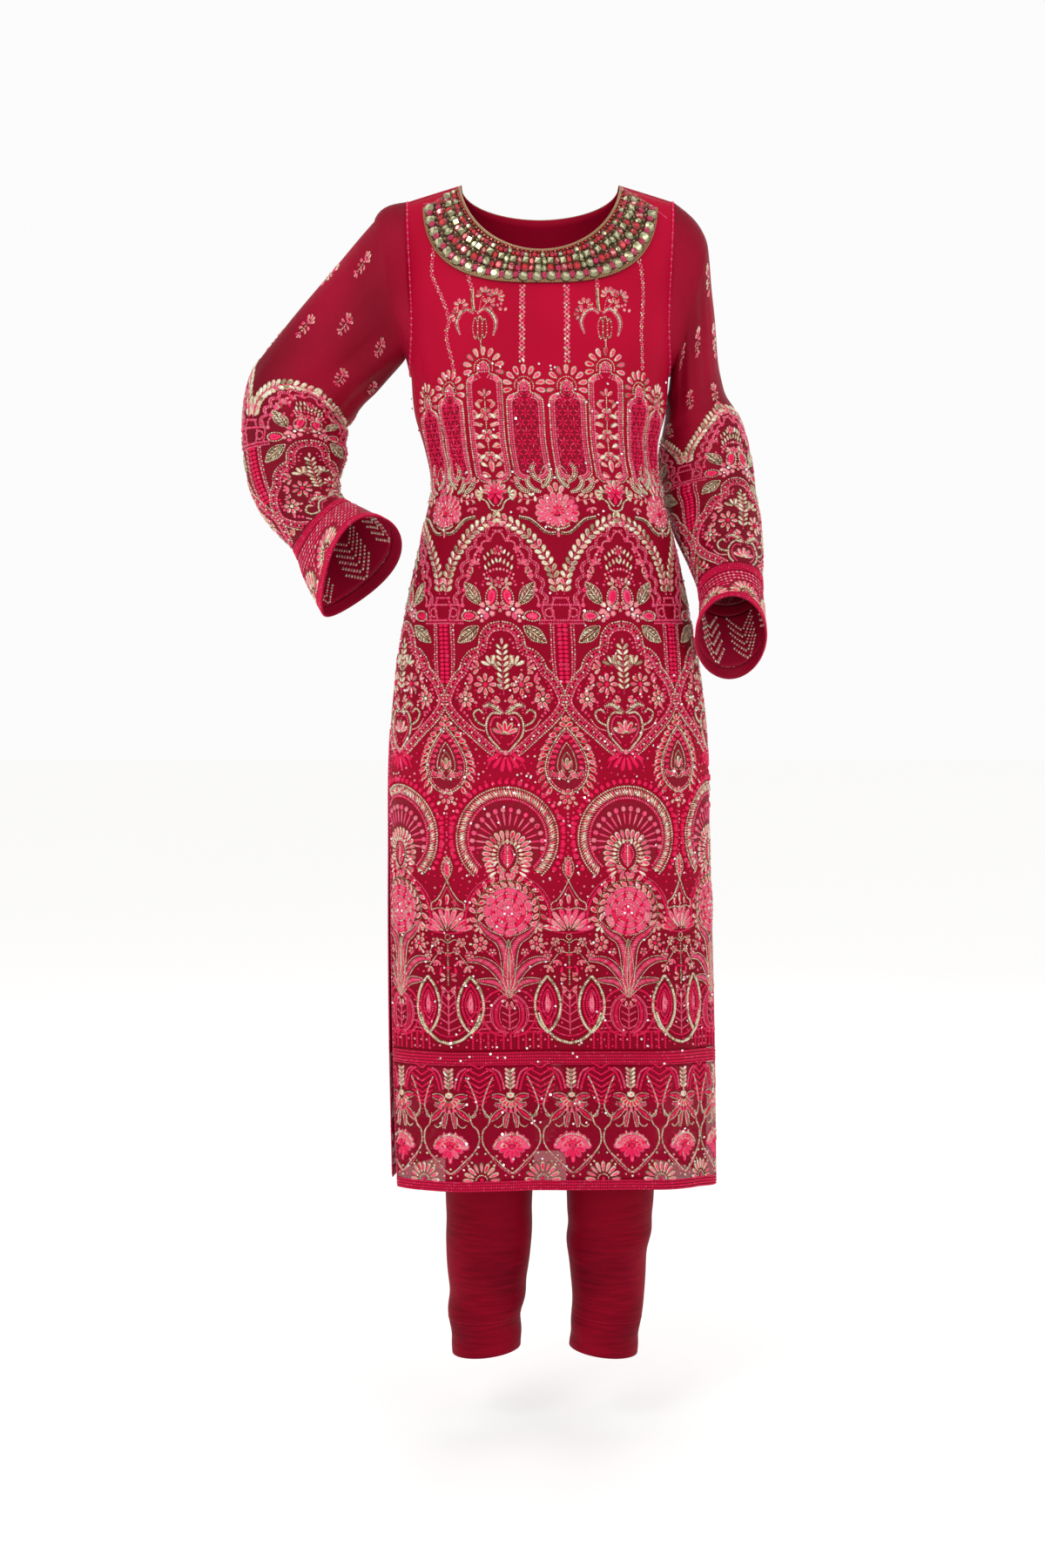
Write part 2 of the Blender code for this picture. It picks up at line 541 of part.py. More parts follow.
def sleeve(side, rings, creases, along, around):
    """Point of a sleeve: along from its first ring, around in turns from the underarm."""
    along, around = np.broadcast_arrays(np.asarray(along, float), np.asarray(around, float))
    read = lambda name: smooth(rings, SLEEVE_NAMES, name, along)
    lean, tip = np.radians(read("lean")), np.radians(read("tip"))
    across_x, across_z = np.cos(lean), np.sin(lean)
    down_x, down_z = across_z, -across_x
    angle = around * 2 * math.pi
    out = -side * read("across") * np.cos(angle)
    deep = -read("deep") * np.sin(angle) * (1 + read("pinch") * np.cos(angle))
    x = read("x") + out * across_x + deep * np.sin(tip) * down_x
    y = read("y") + deep * np.cos(tip)
    z = read("z") + out * across_z + deep * np.sin(tip) * down_z
    point = np.stack((x, y, z), -1)
    middle = np.stack((read("x"), read("y"), read("z")), -1)
    radial = point - middle
    size = np.linalg.norm(radial, axis=-1)
    sunk = np.zeros_like(size)
    for crease in creases:
        where = dict(zip(CREASE_NAMES, crease))
        girth = size * 2 * math.pi
        start = np.array((where["along0"], where["around0"]))
        run = np.array((where["along1"], where["around1"])) - start
        step_a = along - start[0]
        step_b = np.mod(around - start[1] + 0.5, 1.0) - 0.5
        run_b = run[1] * girth
        length = run[0] ** 2 + run_b ** 2
        t = np.clip((step_a * run[0] + step_b * girth * run_b) / length, 0, 1)
        away = np.hypot(step_a - run[0] * t, step_b * girth - run_b * t)
        taper = 0.35 + 0.65 * np.sin(math.pi * np.clip(t, 0.02, 0.98))
        sunk += where["deep"] * taper * np.exp(-(away / where["wide"]) ** 2)
    point = point - radial / size[..., None] * sunk[..., None]
    head = np.clip(-along / SLEEVE_HEAD, 0, 1)
    if np.any(head > 0):
        edge = armhole(side, around)
        edge[..., 0] += side * ARMHOLE_GAP
        blend = (head ** 1.3)[..., None]
        point = point * (1 - blend) + edge * blend
        rise = SLEEVE_RISE * np.sin(math.pi * head) * np.sin(math.pi * around) ** 4
        point[..., 0] += side * 0.45 * rise
        point[..., 2] += 0.9 * rise
    return point


def sleeve_pieces(word, side, rings, creases, cuff):
    """One sleeve with the laces and the band of its flared cuff."""
    turns = np.linspace(0, 1, 21)
    cuff = dict(zip(CUFF_NAMES, cuff))
    surface = lambda a, b: sleeve(side, rings, creases, a, b)
    body = [-SLEEVE_HEAD, -0.6 * SLEEVE_HEAD, -0.25 * SLEEVE_HEAD]
    body += list(np.linspace(0.012, cuff["join_lace"] - SEAM, 15))
    parts = (
        (f"sleeve_{word}", body, CLOTH, 0.0, SHEER_CRIMSON),
        (f"cuff_join_lace_{word}", (cuff["join_lace"], cuff["band"] - SEAM), LACE, 0.0008, HOT_PINK),
        (f"cuff_band_{word}", np.linspace(cuff["band"], cuff["hem_lace"] - SEAM, 4), CLOTH, 0.0,
         CRIMSON),
        (f"cuff_hem_lace_{word}", (cuff["hem_lace"], cuff["end"]), LACE, 0.0008, HOT_PINK),
    )
    for name, places, thickness, proud, colour in parts:
        along, around = np.meshgrid(np.array(places), turns, indexing="ij")
        outer = surface(along, around)
        inside = np.clip(along, 1.2e-3 - SLEEVE_HEAD, rings[-1][0] - 1.2e-3)
        normal = facing(surface, inside, around, 1.0)
        middle = np.stack([smooth(rings, SLEEVE_NAMES, k, inside) for k in "xyz"], -1)
        outward = np.sign(np.sum(normal * (outer - middle), axis=-1))
        normal = normal * np.sign(outward.sum())
        wall(name, outer + normal * proud, outer - normal * (thickness - proud), colour,
             [True] * len(places))


# ---------------------------------------------------------------- trousers
def leg_ring(rings, z, turn, side):
    """Points of a closed leg ring, in turns from the inseam by way of the front."""
    upward = tuple(sorted(rings))
    read = lambda name: smooth(upward, LEG_NAMES, name, z)
    angle = turn * 2 * math.pi
    lift = ease((-1.30 - z) / 0.10) * LEG_HEM_SLANT
    ripple = LEG_WRINKLES * ease((-1.22 - z) / 0.05) * ease((z + LEG_HEM - 0.004) / 0.02)
    wave = z * LEG_WAVE + 1.1 * np.sin(z * 41 + side) + 1.6 * np.sin(angle + 0.6 * side)
    swell = 1 + ripple / 0.045 * np.sin(wave)
    x = read("x") - side * read("half") * np.cos(angle) * swell
    y = read("y") - read("deep") * np.sin(angle) * swell
    height = z + lift * (0.5 + 0.5 * np.cos(angle))
    return np.stack((x, y, height + np.zeros_like(x)), -1)


def hip_ring(z, turn, side):
    """Points of half of the trousers' body, from the front seam round the side to the back seam."""
    upward = tuple(sorted(HIPS))
    read = lambda name: smooth(upward, HIP_NAMES, name, z)
    angle = turn * math.pi
    front_side = np.cos(angle) > 0
    deep = np.where(front_side, read("front"), read("back"))
    x = TROUSER_MIDDLE + side * (SEAM / 2 + read("half") * np.sin(angle) ** 0.92)
    y = -deep * np.cos(angle)
    return np.stack((x, y, z + np.zeros_like(x)), -1)


def trouser_leg(word, side, rings):
    """One leg with its half of the trousers' body, a tube that opens above the crotch."""
    turn = np.linspace(0, 1, 19)
    heights = [WAIST_TOP + WAIST_WIDE + SEAM, 0.480, 0.530, HIP_FULL, 0.635, 0.665, CROTCH, 0.730,
               0.790, 0.870, 0.960, 1.060, 1.160, 1.225, 1.262, 1.296, 1.330, 1.365, LEG_HEM]
    outer, inward, closed = [], [], []
    for height in heights:
        z = -height
        opened = float(ease((CROTCH - height) / (CROTCH - HIP_FULL)) ** 0.6)
        leg = leg_ring(rings, np.full_like(turn, max(z, -LEG_HEM) if z < -CROTCH else -CROTCH),
                       turn, side)
        leg[..., 2] += 0.0 if z <= -CROTCH else z + CROTCH
        hip = hip_ring(z, np.clip(turn, 1e-6, 1 - 1e-6), side) if opened > 0 else leg
        ring = leg * (1 - opened) + hip * opened
        closed.append(opened == 0)
        if closed[-1]:
            ring[-1] = ring[0]
        outer.append(ring)
    outer = np.array(outer)
    around = np.empty_like(outer)
    around[:, 1:-1] = outer[:, 2:] - outer[:, :-2]
    around[:, 0] = outer[:, 1] - outer[:, 0]
    around[:, -1] = outer[:, -1] - outer[:, -2]
    wrap = outer[:, 1] - outer[:, -2]
    around[closed, 0] = wrap[closed]
    around[closed, -1] = wrap[closed]
    along = np.gradient(outer, axis=0)
    inward = np.cross(around, along) * side
    inward /= np.linalg.norm(inward, axis=-1, keepdims=True)
    opened = ~np.array(closed)
    for end in (0, -1):
        inward[opened, end, 0] = 0.0
        inward[opened, end] /= np.linalg.norm(inward[opened, end], axis=-1, keepdims=True)
    middle = outer.mean(axis=1, keepdims=True)
    flip = np.sign(np.sum(inward * (middle - outer)))
    wall(f"trouser_leg_{word}", outer, outer + inward * flip * CLOTH, TROUSER_RED, closed)


def trouser_waistband():
    """The waistband, a ring over the elastic."""
    turn = np.linspace(0, 2, 29)
    rows, inner = [], []
    for height in (WAIST_TOP, WAIST_TOP + WAIST_WIDE / 2, WAIST_TOP + WAIST_WIDE):
        half = np.array([hip_ring(-height, np.array([min(t, 2 - t)]), 1 if t <= 1 else -1)[0]
                         for t in turn])
        half[-1] = half[0]
        middle = np.array((TROUSER_MIDDLE, 0.0, -height))
        away = half - middle
        away /= np.linalg.norm(away, axis=-1, keepdims=True)
        rows.append(half + away * 0.0008)
        inner.append(half - away * (WAIST_THICK - 0.0008))
    wall("trouser_waistband", np.array(rows), np.array(inner), TROUSER_RED, [True] * 3)


for thing in list(bpy.data.objects):
    bpy.data.objects.remove(thing, do_unlink=True)

kameez_body()
neck_bib()
neck_binding()
sleeve_pieces("right", -1, SLEEVE_RIGHT, CREASES_RIGHT, CUFF_RIGHT)
sleeve_pieces("left", 1, SLEEVE_LEFT, CREASES_LEFT, CUFF_LEFT)
trouser_leg("right", -1, LEG_RIGHT)
trouser_leg("left", 1, LEG_LEFT)
trouser_waistband()
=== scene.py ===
import math

import bmesh
import bpy
import numpy as np
from mathutils import Matrix, Vector


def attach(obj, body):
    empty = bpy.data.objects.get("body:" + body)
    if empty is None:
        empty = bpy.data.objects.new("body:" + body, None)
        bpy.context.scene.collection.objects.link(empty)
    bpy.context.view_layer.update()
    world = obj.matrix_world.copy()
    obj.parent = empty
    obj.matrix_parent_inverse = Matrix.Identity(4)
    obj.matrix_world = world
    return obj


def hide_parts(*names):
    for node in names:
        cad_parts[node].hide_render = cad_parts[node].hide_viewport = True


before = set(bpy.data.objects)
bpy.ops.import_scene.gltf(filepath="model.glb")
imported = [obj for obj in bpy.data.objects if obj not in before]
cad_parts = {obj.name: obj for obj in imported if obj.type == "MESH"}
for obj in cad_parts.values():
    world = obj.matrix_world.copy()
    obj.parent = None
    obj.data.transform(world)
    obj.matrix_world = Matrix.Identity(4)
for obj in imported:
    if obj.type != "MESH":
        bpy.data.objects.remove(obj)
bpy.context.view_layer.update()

# ---------------------------------------------------------------- camera, floor and lamps
# The suit is seen from straight in front, from the height of the waist and a little downwards,
# over a pale floor, under wide soft lamps from both sides, from above and from behind.
FLOOR_HEIGHT = -1.5

lens = bpy.data.cameras.new("camera")
lens.lens = 57.14
lens.clip_end = 60
camera = bpy.data.objects.new("camera", lens)
camera.location = (-0.0208, -3.0, -0.508)
camera.rotation_euler = (math.radians(86.1), 0.0, 0.0)
bpy.context.scene.collection.objects.link(camera)
bpy.context.scene.camera = camera


def node(tree, kind, settings=None, inputs=None):
    """A shader node with its settings, its plain input values and its links."""
    made = tree.nodes.new("ShaderNode" + kind)
    for name, value in (settings or {}).items():
        setattr(made, name, value)
    for name, value in (inputs or {}).items():
        if isinstance(value, bpy.types.NodeSocket):
            tree.links.new(value, made.inputs[name])
        else:
            made.inputs[name].default_value = value
    return made


def finish_named(name, colour, roughness, **extra):
    """A material with its plain shader values; returns it, its node tree and its shader."""
    material = bpy.data.materials.new(name)
    material.use_nodes = True
    tree = material.node_tree
    shader = tree.nodes["Principled BSDF"]
    shader.inputs["Base Color"].default_value = (*colour, 1.0)
    shader.inputs["Roughness"].default_value = roughness
    for socket, value in extra.items():
        shader.inputs[socket.replace("_", " ")].default_value = value
    return material, tree, shader


def piece_named(name, mesh, *materials):
    """An object of a finished mesh, at the origin, with its materials."""
    for material in materials:
        mesh.materials.append(material)
    piece = bpy.data.objects.new(name, mesh)
    bpy.context.scene.collection.objects.link(piece)
    return piece


floor_paint, tree, shader = finish_named("floor_paint", (0.9, 0.895, 0.89), 0.85)
speckle = node(tree, "TexNoise", None, {"Scale": 3.0, "Detail": 4.0})
tone = node(tree, "ValToRGB")
tone.color_ramp.elements[0].color = (0.88, 0.875, 0.87, 1)
tone.color_ramp.elements[1].color = (0.92, 0.915, 0.91, 1)
tree.links.new(speckle.outputs["Fac"], tone.inputs["Fac"])
tree.links.new(tone.outputs["Color"], shader.inputs["Base Color"])
shader.inputs["Emission Color"].default_value = (1.0, 0.99, 0.98, 1)
shader.inputs["Emission Strength"].default_value = 0.22
ground = bmesh.new()
bmesh.ops.create_grid(ground, x_segments=8, y_segments=8, size=14.0)
bmesh.ops.translate(ground, verts=ground.verts, vec=(0, 0, FLOOR_HEIGHT))
floor_mesh = bpy.data.meshes.new("floor")
ground.to_mesh(floor_mesh)
ground.free()
floor = piece_named("floor", floor_mesh, floor_paint)

SOFT_LIGHT = 0.82         # what the white room gives from all sides
WHITE_WALL = 0.97         # how bright the room's wall looks behind the suit

bpy.context.scene.view_settings.view_transform = "Standard"
sky = bpy.data.worlds.new("studio")
bpy.context.scene.world = sky
sky.use_nodes = True
room = sky.node_tree.nodes["Background"]
room.inputs["Color"].default_value = (1.0, 1.0, 1.0, 1)
seen = node(sky.node_tree, "LightPath").outputs["Is Camera Ray"]
bright = node(sky.node_tree, "MapRange", None, {"Value": seen, "To Min": SOFT_LIGHT, "To Max": WHITE_WALL})
sky.node_tree.links.new(bright.outputs["Result"], room.inputs["Strength"])

LAMPS = (
    # name, place, size, power
    ("lamp_key", (-1.5, -2.6, 1.3), 1.2, 24.0), ("lamp_fill", (1.8, -2.5, 0.4), 1.4, 8.0),
    ("lamp_top", (0.2, -0.2, 2.3), 1.4, 8.0), ("lamp_back", (0.7, 2.7, 1.0), 1.6, 10.0),
)
AIM = Vector((0.0, 0.0, -0.6))
for name, place, size, power in LAMPS:
    light = bpy.data.lights.new(name, "AREA")
    light.size = size
    light.energy = power
    lamp = bpy.data.objects.new(name, light)
    lamp.location = place
    lamp.rotation_euler = (AIM - Vector(place)).to_track_quat("-Z", "Y").to_euler()
    bpy.context.scene.collection.objects.link(lamp)

# ---------------------------------------------------------------- kameez front and back panels
# Two panels of crimson organza, each cut in one piece from shoulder to knee with the side seams
# taken in at the waist, joined at the shoulders and sides and left open in slits from the hips.
CLOTH = 0.0012            # embroidered organza with its thread
SEAM = 0.0004             # gap left between two pieces at a seam
CAP = 0.1                 # height over which the shoulder rounds from ridge to chest
RIDGE_PEAK = 0.028
RIDGE_SLOPE = 0.3
NECK_HALF = 0.0935
NECK_FRONT = 0.088
NECK_BACK = 0.03
NECK_SWEEP = math.radians(81.0)
NECK_COLUMNS = 7          # columns of each half of the front that end at the neck
RIDGE_COLUMN = 6          # column of the back that meets the neck on the shoulder ridge
PANEL_COLUMNS = 12
SHOULDER_SEAM = 0.22
ARMPIT = 0.225
SLIT_TOP = 0.64
JOIN_LACE_TOP = 1.018
HEM = 1.183
SIDE_DIP = 0.014
HEM_TILT = 0.006
FRONT, BACK = -1, 1

TORSO = (
    # down, half width, how far front and back stand off, squareness, cover, shift, turn
    (0.0, 0.172, 0.088, 0.08, 2.5, 0.91, 0.0, 0.0), (0.1, 0.1605, 0.09, 0.086, 2.5, 0.955, 0.0, 0.0),
    (0.18, 0.156, 0.118, 0.094, 2.5, 0.965, 0.0, 0.0), (0.225, 0.1535, 0.124, 0.093, 2.4, 1.0, 0.0, 0.0),
    (0.27, 0.1495, 0.122, 0.09, 2.3, 1.0, 0.0, 1.0), (0.31, 0.139, 0.114, 0.086, 2.2, 1.0, 0.001, 2.0),
    (0.35, 0.1365, 0.107, 0.085, 2.2, 1.0, 0.006, 3.0), (0.41, 0.1495, 0.11, 0.093, 2.2, 1.0, 0.0085, 4.0),
    (0.48, 0.1655, 0.115, 0.105, 2.2, 1.0, 0.0085, 5.0), (0.55, 0.179, 0.119, 0.114, 2.2, 1.0, 0.0095, 6.0),
    (0.64, 0.19, 0.121, 0.118, 2.3, 1.0, 0.0105, 7.0), (0.8, 0.195, 0.12, 0.113, 2.3, 0.996, 0.012, 8.0),
    (1.0, 0.1985, 0.119, 0.106, 2.3, 0.991, 0.015, 9.0),
    (1.22, 0.199, 0.118, 0.102, 2.3, 0.984, 0.0185, 10.0),
)
KAMEEZ_FOLDS = (
    # panel, share across at the top and at the end, half width, how proud, start and end down
    (FRONT, -0.8, -0.62, 0.09, -0.0045, 0.19, 0.4), (FRONT, 0.82, 0.66, 0.09, -0.0045, 0.18, 0.38),
    (FRONT, -0.55, -0.6, 0.12, 0.004, 0.62, 1.3), (FRONT, 0.42, 0.52, 0.12, 0.004, 0.66, 1.3),
    (FRONT, -0.12, -0.2, 0.13, -0.004, 0.74, 1.3), (FRONT, 0.8, 0.78, 0.1, -0.005, 0.6, 1.3),
    (BACK, -0.66, -0.6, 0.12, 0.006, 0.42, 1.3), (BACK, -0.22, -0.26, 0.12, -0.006, 0.5, 1.3),
    (BACK, 0.2, 0.24, 0.12, 0.006, 0.46, 1.3), (BACK, 0.62, 0.6, 0.12, -0.006, 0.55, 1.3),
    (BACK, -0.78, -0.6, 0.1, -0.005, 0.18, 0.42), (BACK, 0.78, 0.6, 0.1, -0.005, 0.18, 0.42),
)

# Creases of each panel on its flat cloth, in millimetres across from the middle and down: where
# each starts and ends, its half width, and how deep it sinks (below zero it stands up).
CREASES = {
    FRONT: ((-62, 139, 58, 143, 4.5, 1.0), (-30, 151, 74, 148, 6.0, 0.8), (-96, 132, -60, 139, 6.0, 0.8),
        (-150, 150, -98, 292, 11.0, 1.9), (-128, 196, -104, 330, 8.0, -1.2), (-152, 262, -96, 352, 9.0, 1.8),
        (-150, 318, -70, 366, 8.0, 1.2), (-156, 352, -60, 392, 9.0, 1.0), (150, 140, 112, 268, 11.0, 1.9),
        (133, 190, 116, 320, 8.0, -1.0), (150, 280, 88, 345, 9.0, 1.7), (152, 330, 76, 372, 8.0, 1.1),
        (154, 372, 80, 404, 9.0, 0.9), (-120, 100, -134, 176, 9.0, 1.2), (122, 98, 136, 168, 9.0, 1.1),
        (-176, 470, -120, 620, 14.0, 1.5), (172, 500, 128, 640, 14.0, 1.4), (-60, 640, -74, 1010, 15.0, 1.0),
        (28, 700, 44, 1015, 16.0, -1.0), (150, 690, 168, 1016, 13.0, 1.6),
        (-182, 720, -170, 1016, 14.0, -1.5), (96, 860, 104, 1016, 12.0, 1.0),
        (-128, 880, -120, 1016, 12.0, 1.1),),
    BACK: ((-120, 60, -92, 190, 12.0, 1.8), (118, 56, 94, 196, 12.0, 1.8), (-30, 70, -18, 170, 13.0, 1.0),
        (46, 78, 30, 190, 12.0, 1.0), (-150, 210, -70, 300, 10.0, 2.2), (150, 214, 74, 298, 10.0, 2.0),
        (-144, 268, -50, 342, 9.0, 1.8), (146, 276, 60, 338, 9.0, 1.6), (-140, 322, -30, 372, 9.0, 1.4),
        (142, 330, 24, 380, 9.0, 1.5), (-92, 352, 84, 362, 8.0, 1.1), (-70, 385, 96, 398, 9.0, 0.9),
        (-176, 470, -112, 640, 15.0, 1.8), (172, 480, 118, 650, 15.0, 1.7), (-44, 470, -58, 820, 14.0, 1.6),
        (52, 500, 44, 900, 15.0, 1.4), (-128, 700, -122, 1016, 13.0, 1.5), (112, 640, 126, 1016, 14.0, -1.4),
        (8, 760, 4, 1016, 13.0, 1.2), (182, 760, 190, 1016, 12.0, 1.6), (-196, 780, -190, 1016, 12.0, -1.4),),
}
CREASE_FADE = 0.3         # share of a crease's length over which it fades in and out


def smooth(table, at):
    """Every further column of a table at any value of its first column, on smooth curves."""
    place, *columns = np.array(table, float).T
    at = np.clip(np.asarray(at, float), place[0], place[-1])
    low = np.clip(np.searchsorted(place, at) - 1, 0, len(place) - 2)
    step = place[low + 1] - place[low]
    t = (at - place[low]) / step
    found = []
    for column in columns:
        slope = np.gradient(column, place)
        start = (1 + 2 * t) * (1 - t) ** 2 * column[low] + t * (1 - t) ** 2 * step * slope[low]
        end = t * t * (3 - 2 * t) * column[low + 1] + t * t * (t - 1) * step * slope[low + 1]
        found.append(start + end)
    return found


def run_of(points):
    """How far along a row of points each one lies."""
    return np.concatenate(([0], np.cumsum(np.linalg.norm(np.diff(points, axis=0), axis=1))))


def unit(ways):
    """Directions of length one."""
    return ways / np.linalg.norm(ways, axis=-1, keepdims=True)


def ease(value):
    """A smooth step from 0 to 1."""
    value = np.clip(value, 0.0, 1.0)
    return value * value * (3 - 2 * value)


def sunk_by(creases, u, v):
    """How far a list of creases sinks each place of a flat cloth, in millimetres."""
    sunk = np.zeros(np.broadcast(u, v).shape)
    for u0, v0, u1, v1, wide, deep in creases:
        run = np.array((u1 - u0, v1 - v0), float)
        t = ((u - u0) * run[0] + (v - v0) * run[1]) / (run @ run)
        near = np.clip(t, 0, 1)
        away = np.hypot(u - u0 - run[0] * near, v - v0 - run[1] * near)
        fade = ease(near / CREASE_FADE) * ease((1 - near) / CREASE_FADE)
        lip = 0.35 * np.exp(-((away - 1.7 * wide) / wide) ** 2)
        sunk += deep * (0.15 + 0.85 * fade) * (np.exp(-(away / wide) ** 2) - lip)
    return sunk


def panel_row(panel, down, share):
    """Points of one row of a panel, and the half width of its cloth; down in cap units."""
    depth = CAP * (1 - math.cos(min(abs(down), 1) * math.pi / 2)) if abs(down) < 1 else CAP * abs(down)
    half, front_off, back_off, square, cover, shift, turn = map(float, smooth(TORSO, depth))
    front_side = panel == FRONT or down < 0
    stand_off = front_off if front_side else back_off
    edge = max(math.acos(min(max(cover, 0), 1) ** (square / 2)), 0.0008)
    angle = math.pi / 2 + (edge - math.pi / 2) * np.linspace(0, 1, 181)
    line_x = half * np.cos(angle) ** (2 / square)
    line_y = stand_off * np.sin(angle) ** (2 / square)
    run = np.concatenate(([0], np.cumsum(np.hypot(np.diff(line_x), np.diff(line_y)))))
    x = np.interp(np.abs(share) * run[-1], run, line_x) * np.sign(share)
    y = np.interp(np.abs(share) * run[-1], run, line_y)
    ridge = RIDGE_PEAK - RIDGE_SLOPE * np.sqrt(x * x + 0.01 ** 2)
    turned = min(max(down, -1), 1) * math.pi / 2
    z = -CAP + (ridge + CAP) * math.cos(turned) if abs(down) < 1 else np.full_like(x, -depth)
    for side, top_at, end_at, wide, proud, start, end in KAMEEZ_FOLDS:
        if side != panel:
            continue
        t = (depth - start) / (end - start)
        hump = np.exp(-((share - (top_at + (end_at - top_at) * t)) / wide) ** 2)
        proud = proud * hump * ease(t / 0.35) * ease((1.0 - t) / 0.12)
        lean_x = np.sign(x) * (np.abs(x) / half) ** (square - 1) / half
        lean_y = (y / stand_off) ** (square - 1) / stand_off
        length = np.hypot(lean_x, lean_y)
        x, y = x + proud * lean_x / length, y + proud * lean_y / length
    y = y * math.sin(abs(turned)) * (-1.0 if front_side else 1.0)
    z = z - (SIDE_DIP * share ** 2 + HEM_TILT * share) * ease((depth - SLIT_TOP) / (HEM - SLIT_TOP))
    cos, sin = math.cos(math.radians(turn)), math.sin(math.radians(turn))
    return np.stack((shift + x * cos - y * sin, x * sin + y * cos, z), -1), run[-1]


class Laid:
    """A surface as a fine table of places and outward directions."""

    def between(self, i, j, lift):
        """Places at fractions of a row and a column, lifted off the surface."""
        rows, columns = self.places.shape[:2]
        i, j = np.clip(i, 0, rows - 1.001), np.clip(j, 0, columns - 1.001)
        low_i, low_j = i.astype(int), j.astype(int)
        s, t = (i - low_i)[..., None], (j - low_j)[..., None]
        pick = lambda table: ((table[low_i, low_j] * (1 - t) + table[low_i, low_j + 1] * t) * (1 - s)
            + (table[low_i + 1, low_j] * (1 - t) + table[low_i + 1, low_j + 1] * t) * s)
        return pick(self.places) + pick(self.facing) * np.asarray(lift)[..., None]


class Panel(Laid):
    """A panel's cloth, by shares across and depths down."""

    def __init__(self, side):
        self.side = side
        first = SHOULDER_SEAM - 0.02 if side == FRONT else -0.25
        self.downs = np.concatenate((np.arange(first, 1.0, 0.0125), np.arange(1.0, 12.4, 0.025)))
        self.shares = np.linspace(-1, 1, 181)
        rows = [panel_row(side, float(down), self.shares) for down in self.downs]
        self.places = np.array([row[0] for row in rows])
        self.half_run = np.array([row[1] for row in rows])
        self.facing = self.directions()
        u = self.shares[None, :] * self.half_run[:, None] * 1000
        v = (self.downs * CAP * 1000)[:, None] + 0 * u
        near_edge = ease((1 - np.abs(self.shares)) / 0.05)[None, :]
        self.places -= self.facing * (sunk_by(CREASES[side], u, v) * near_edge * 0.001)[..., None]
        self.facing = self.directions()

    def directions(self):
        along, across = np.gradient(self.places, axis=0), np.gradient(self.places, axis=1)
        return unit(np.cross(across, along) * self.side)

    def at(self, share, down, lift=0.0):
        """Real places for shares across and depths in cap units, lifted off the cloth."""
        return self.between(np.interp(down, self.downs, np.arange(len(self.downs))),
                            (np.asarray(share) + 1) / 2 * (len(self.shares) - 1), lift)

    def run_at(self, down):
        return np.interp(down, self.downs, self.half_run)

    def on(self, u, v, lift=0.0):
        """Real places for millimetres across and down the flat cloth."""
        down = np.asarray(v) * 0.001 / CAP
        return self.at(np.asarray(u) * 0.001 / self.run_at(down), down, np.asarray(lift) * 0.001)


def down_at(x, z):
    """Cap units from the ridge to a height on the chest or the back."""
    ridge = RIDGE_PEAK - RIDGE_SLOPE * np.sqrt(x * x + 0.01 ** 2)
    angle = np.arccos(np.clip((z + CAP) / (ridge + CAP), -1, 1))
    return np.where(z > -CAP, angle / (math.pi / 2), -z / CAP)


def share_at(panel, x, down):
    """The share across a panel at which it has a given x."""
    found = []
    for one_x, one_down in zip(np.ravel(x), np.ravel(down)):
        row = panel.at(panel.shares, np.full_like(panel.shares, one_down))[:, 0]
        found.append(np.interp(one_x, row, panel.shares))
    return np.reshape(found, np.shape(x))


def front_top(panel, column):
    """Share and depth of the front panel's top edge at a column from the middle, 0 to 12."""
    corner_x = NECK_HALF * math.sin(NECK_SWEEP)
    if column <= NECK_COLUMNS:
        angle = column / NECK_COLUMNS * NECK_SWEEP
        x, z = NECK_HALF * math.sin(angle), -NECK_FRONT * math.cos(angle)
        down = float(down_at(np.array(x), np.array(z)))
        return float(share_at(panel, np.array([x]), np.array([down]))[0]), down
    corner = float(share_at(panel, np.array([corner_x]), np.array([SHOULDER_SEAM]))[0])
    t = (column - NECK_COLUMNS) / (PANEL_COLUMNS - NECK_COLUMNS)
    return corner + (1 - corner) * t, SHOULDER_SEAM


def back_top(panel, column):
    """Share and depth of the back panel at the neck, and on the shoulder ridge outside it."""
    angle = min(column / RIDGE_COLUMN, 1.0) * math.pi / 2
    x, z = NECK_HALF * math.sin(angle), -NECK_BACK * math.cos(angle)
    down = float(down_at(np.array(x), np.array(z)))
    share = float(share_at(panel, np.array([x]), np.array([down]))[0])
    outside = max(column - RIDGE_COLUMN, 0.0) / (PANEL_COLUMNS - RIDGE_COLUMN)
    return share + (1 - share) * outside, down


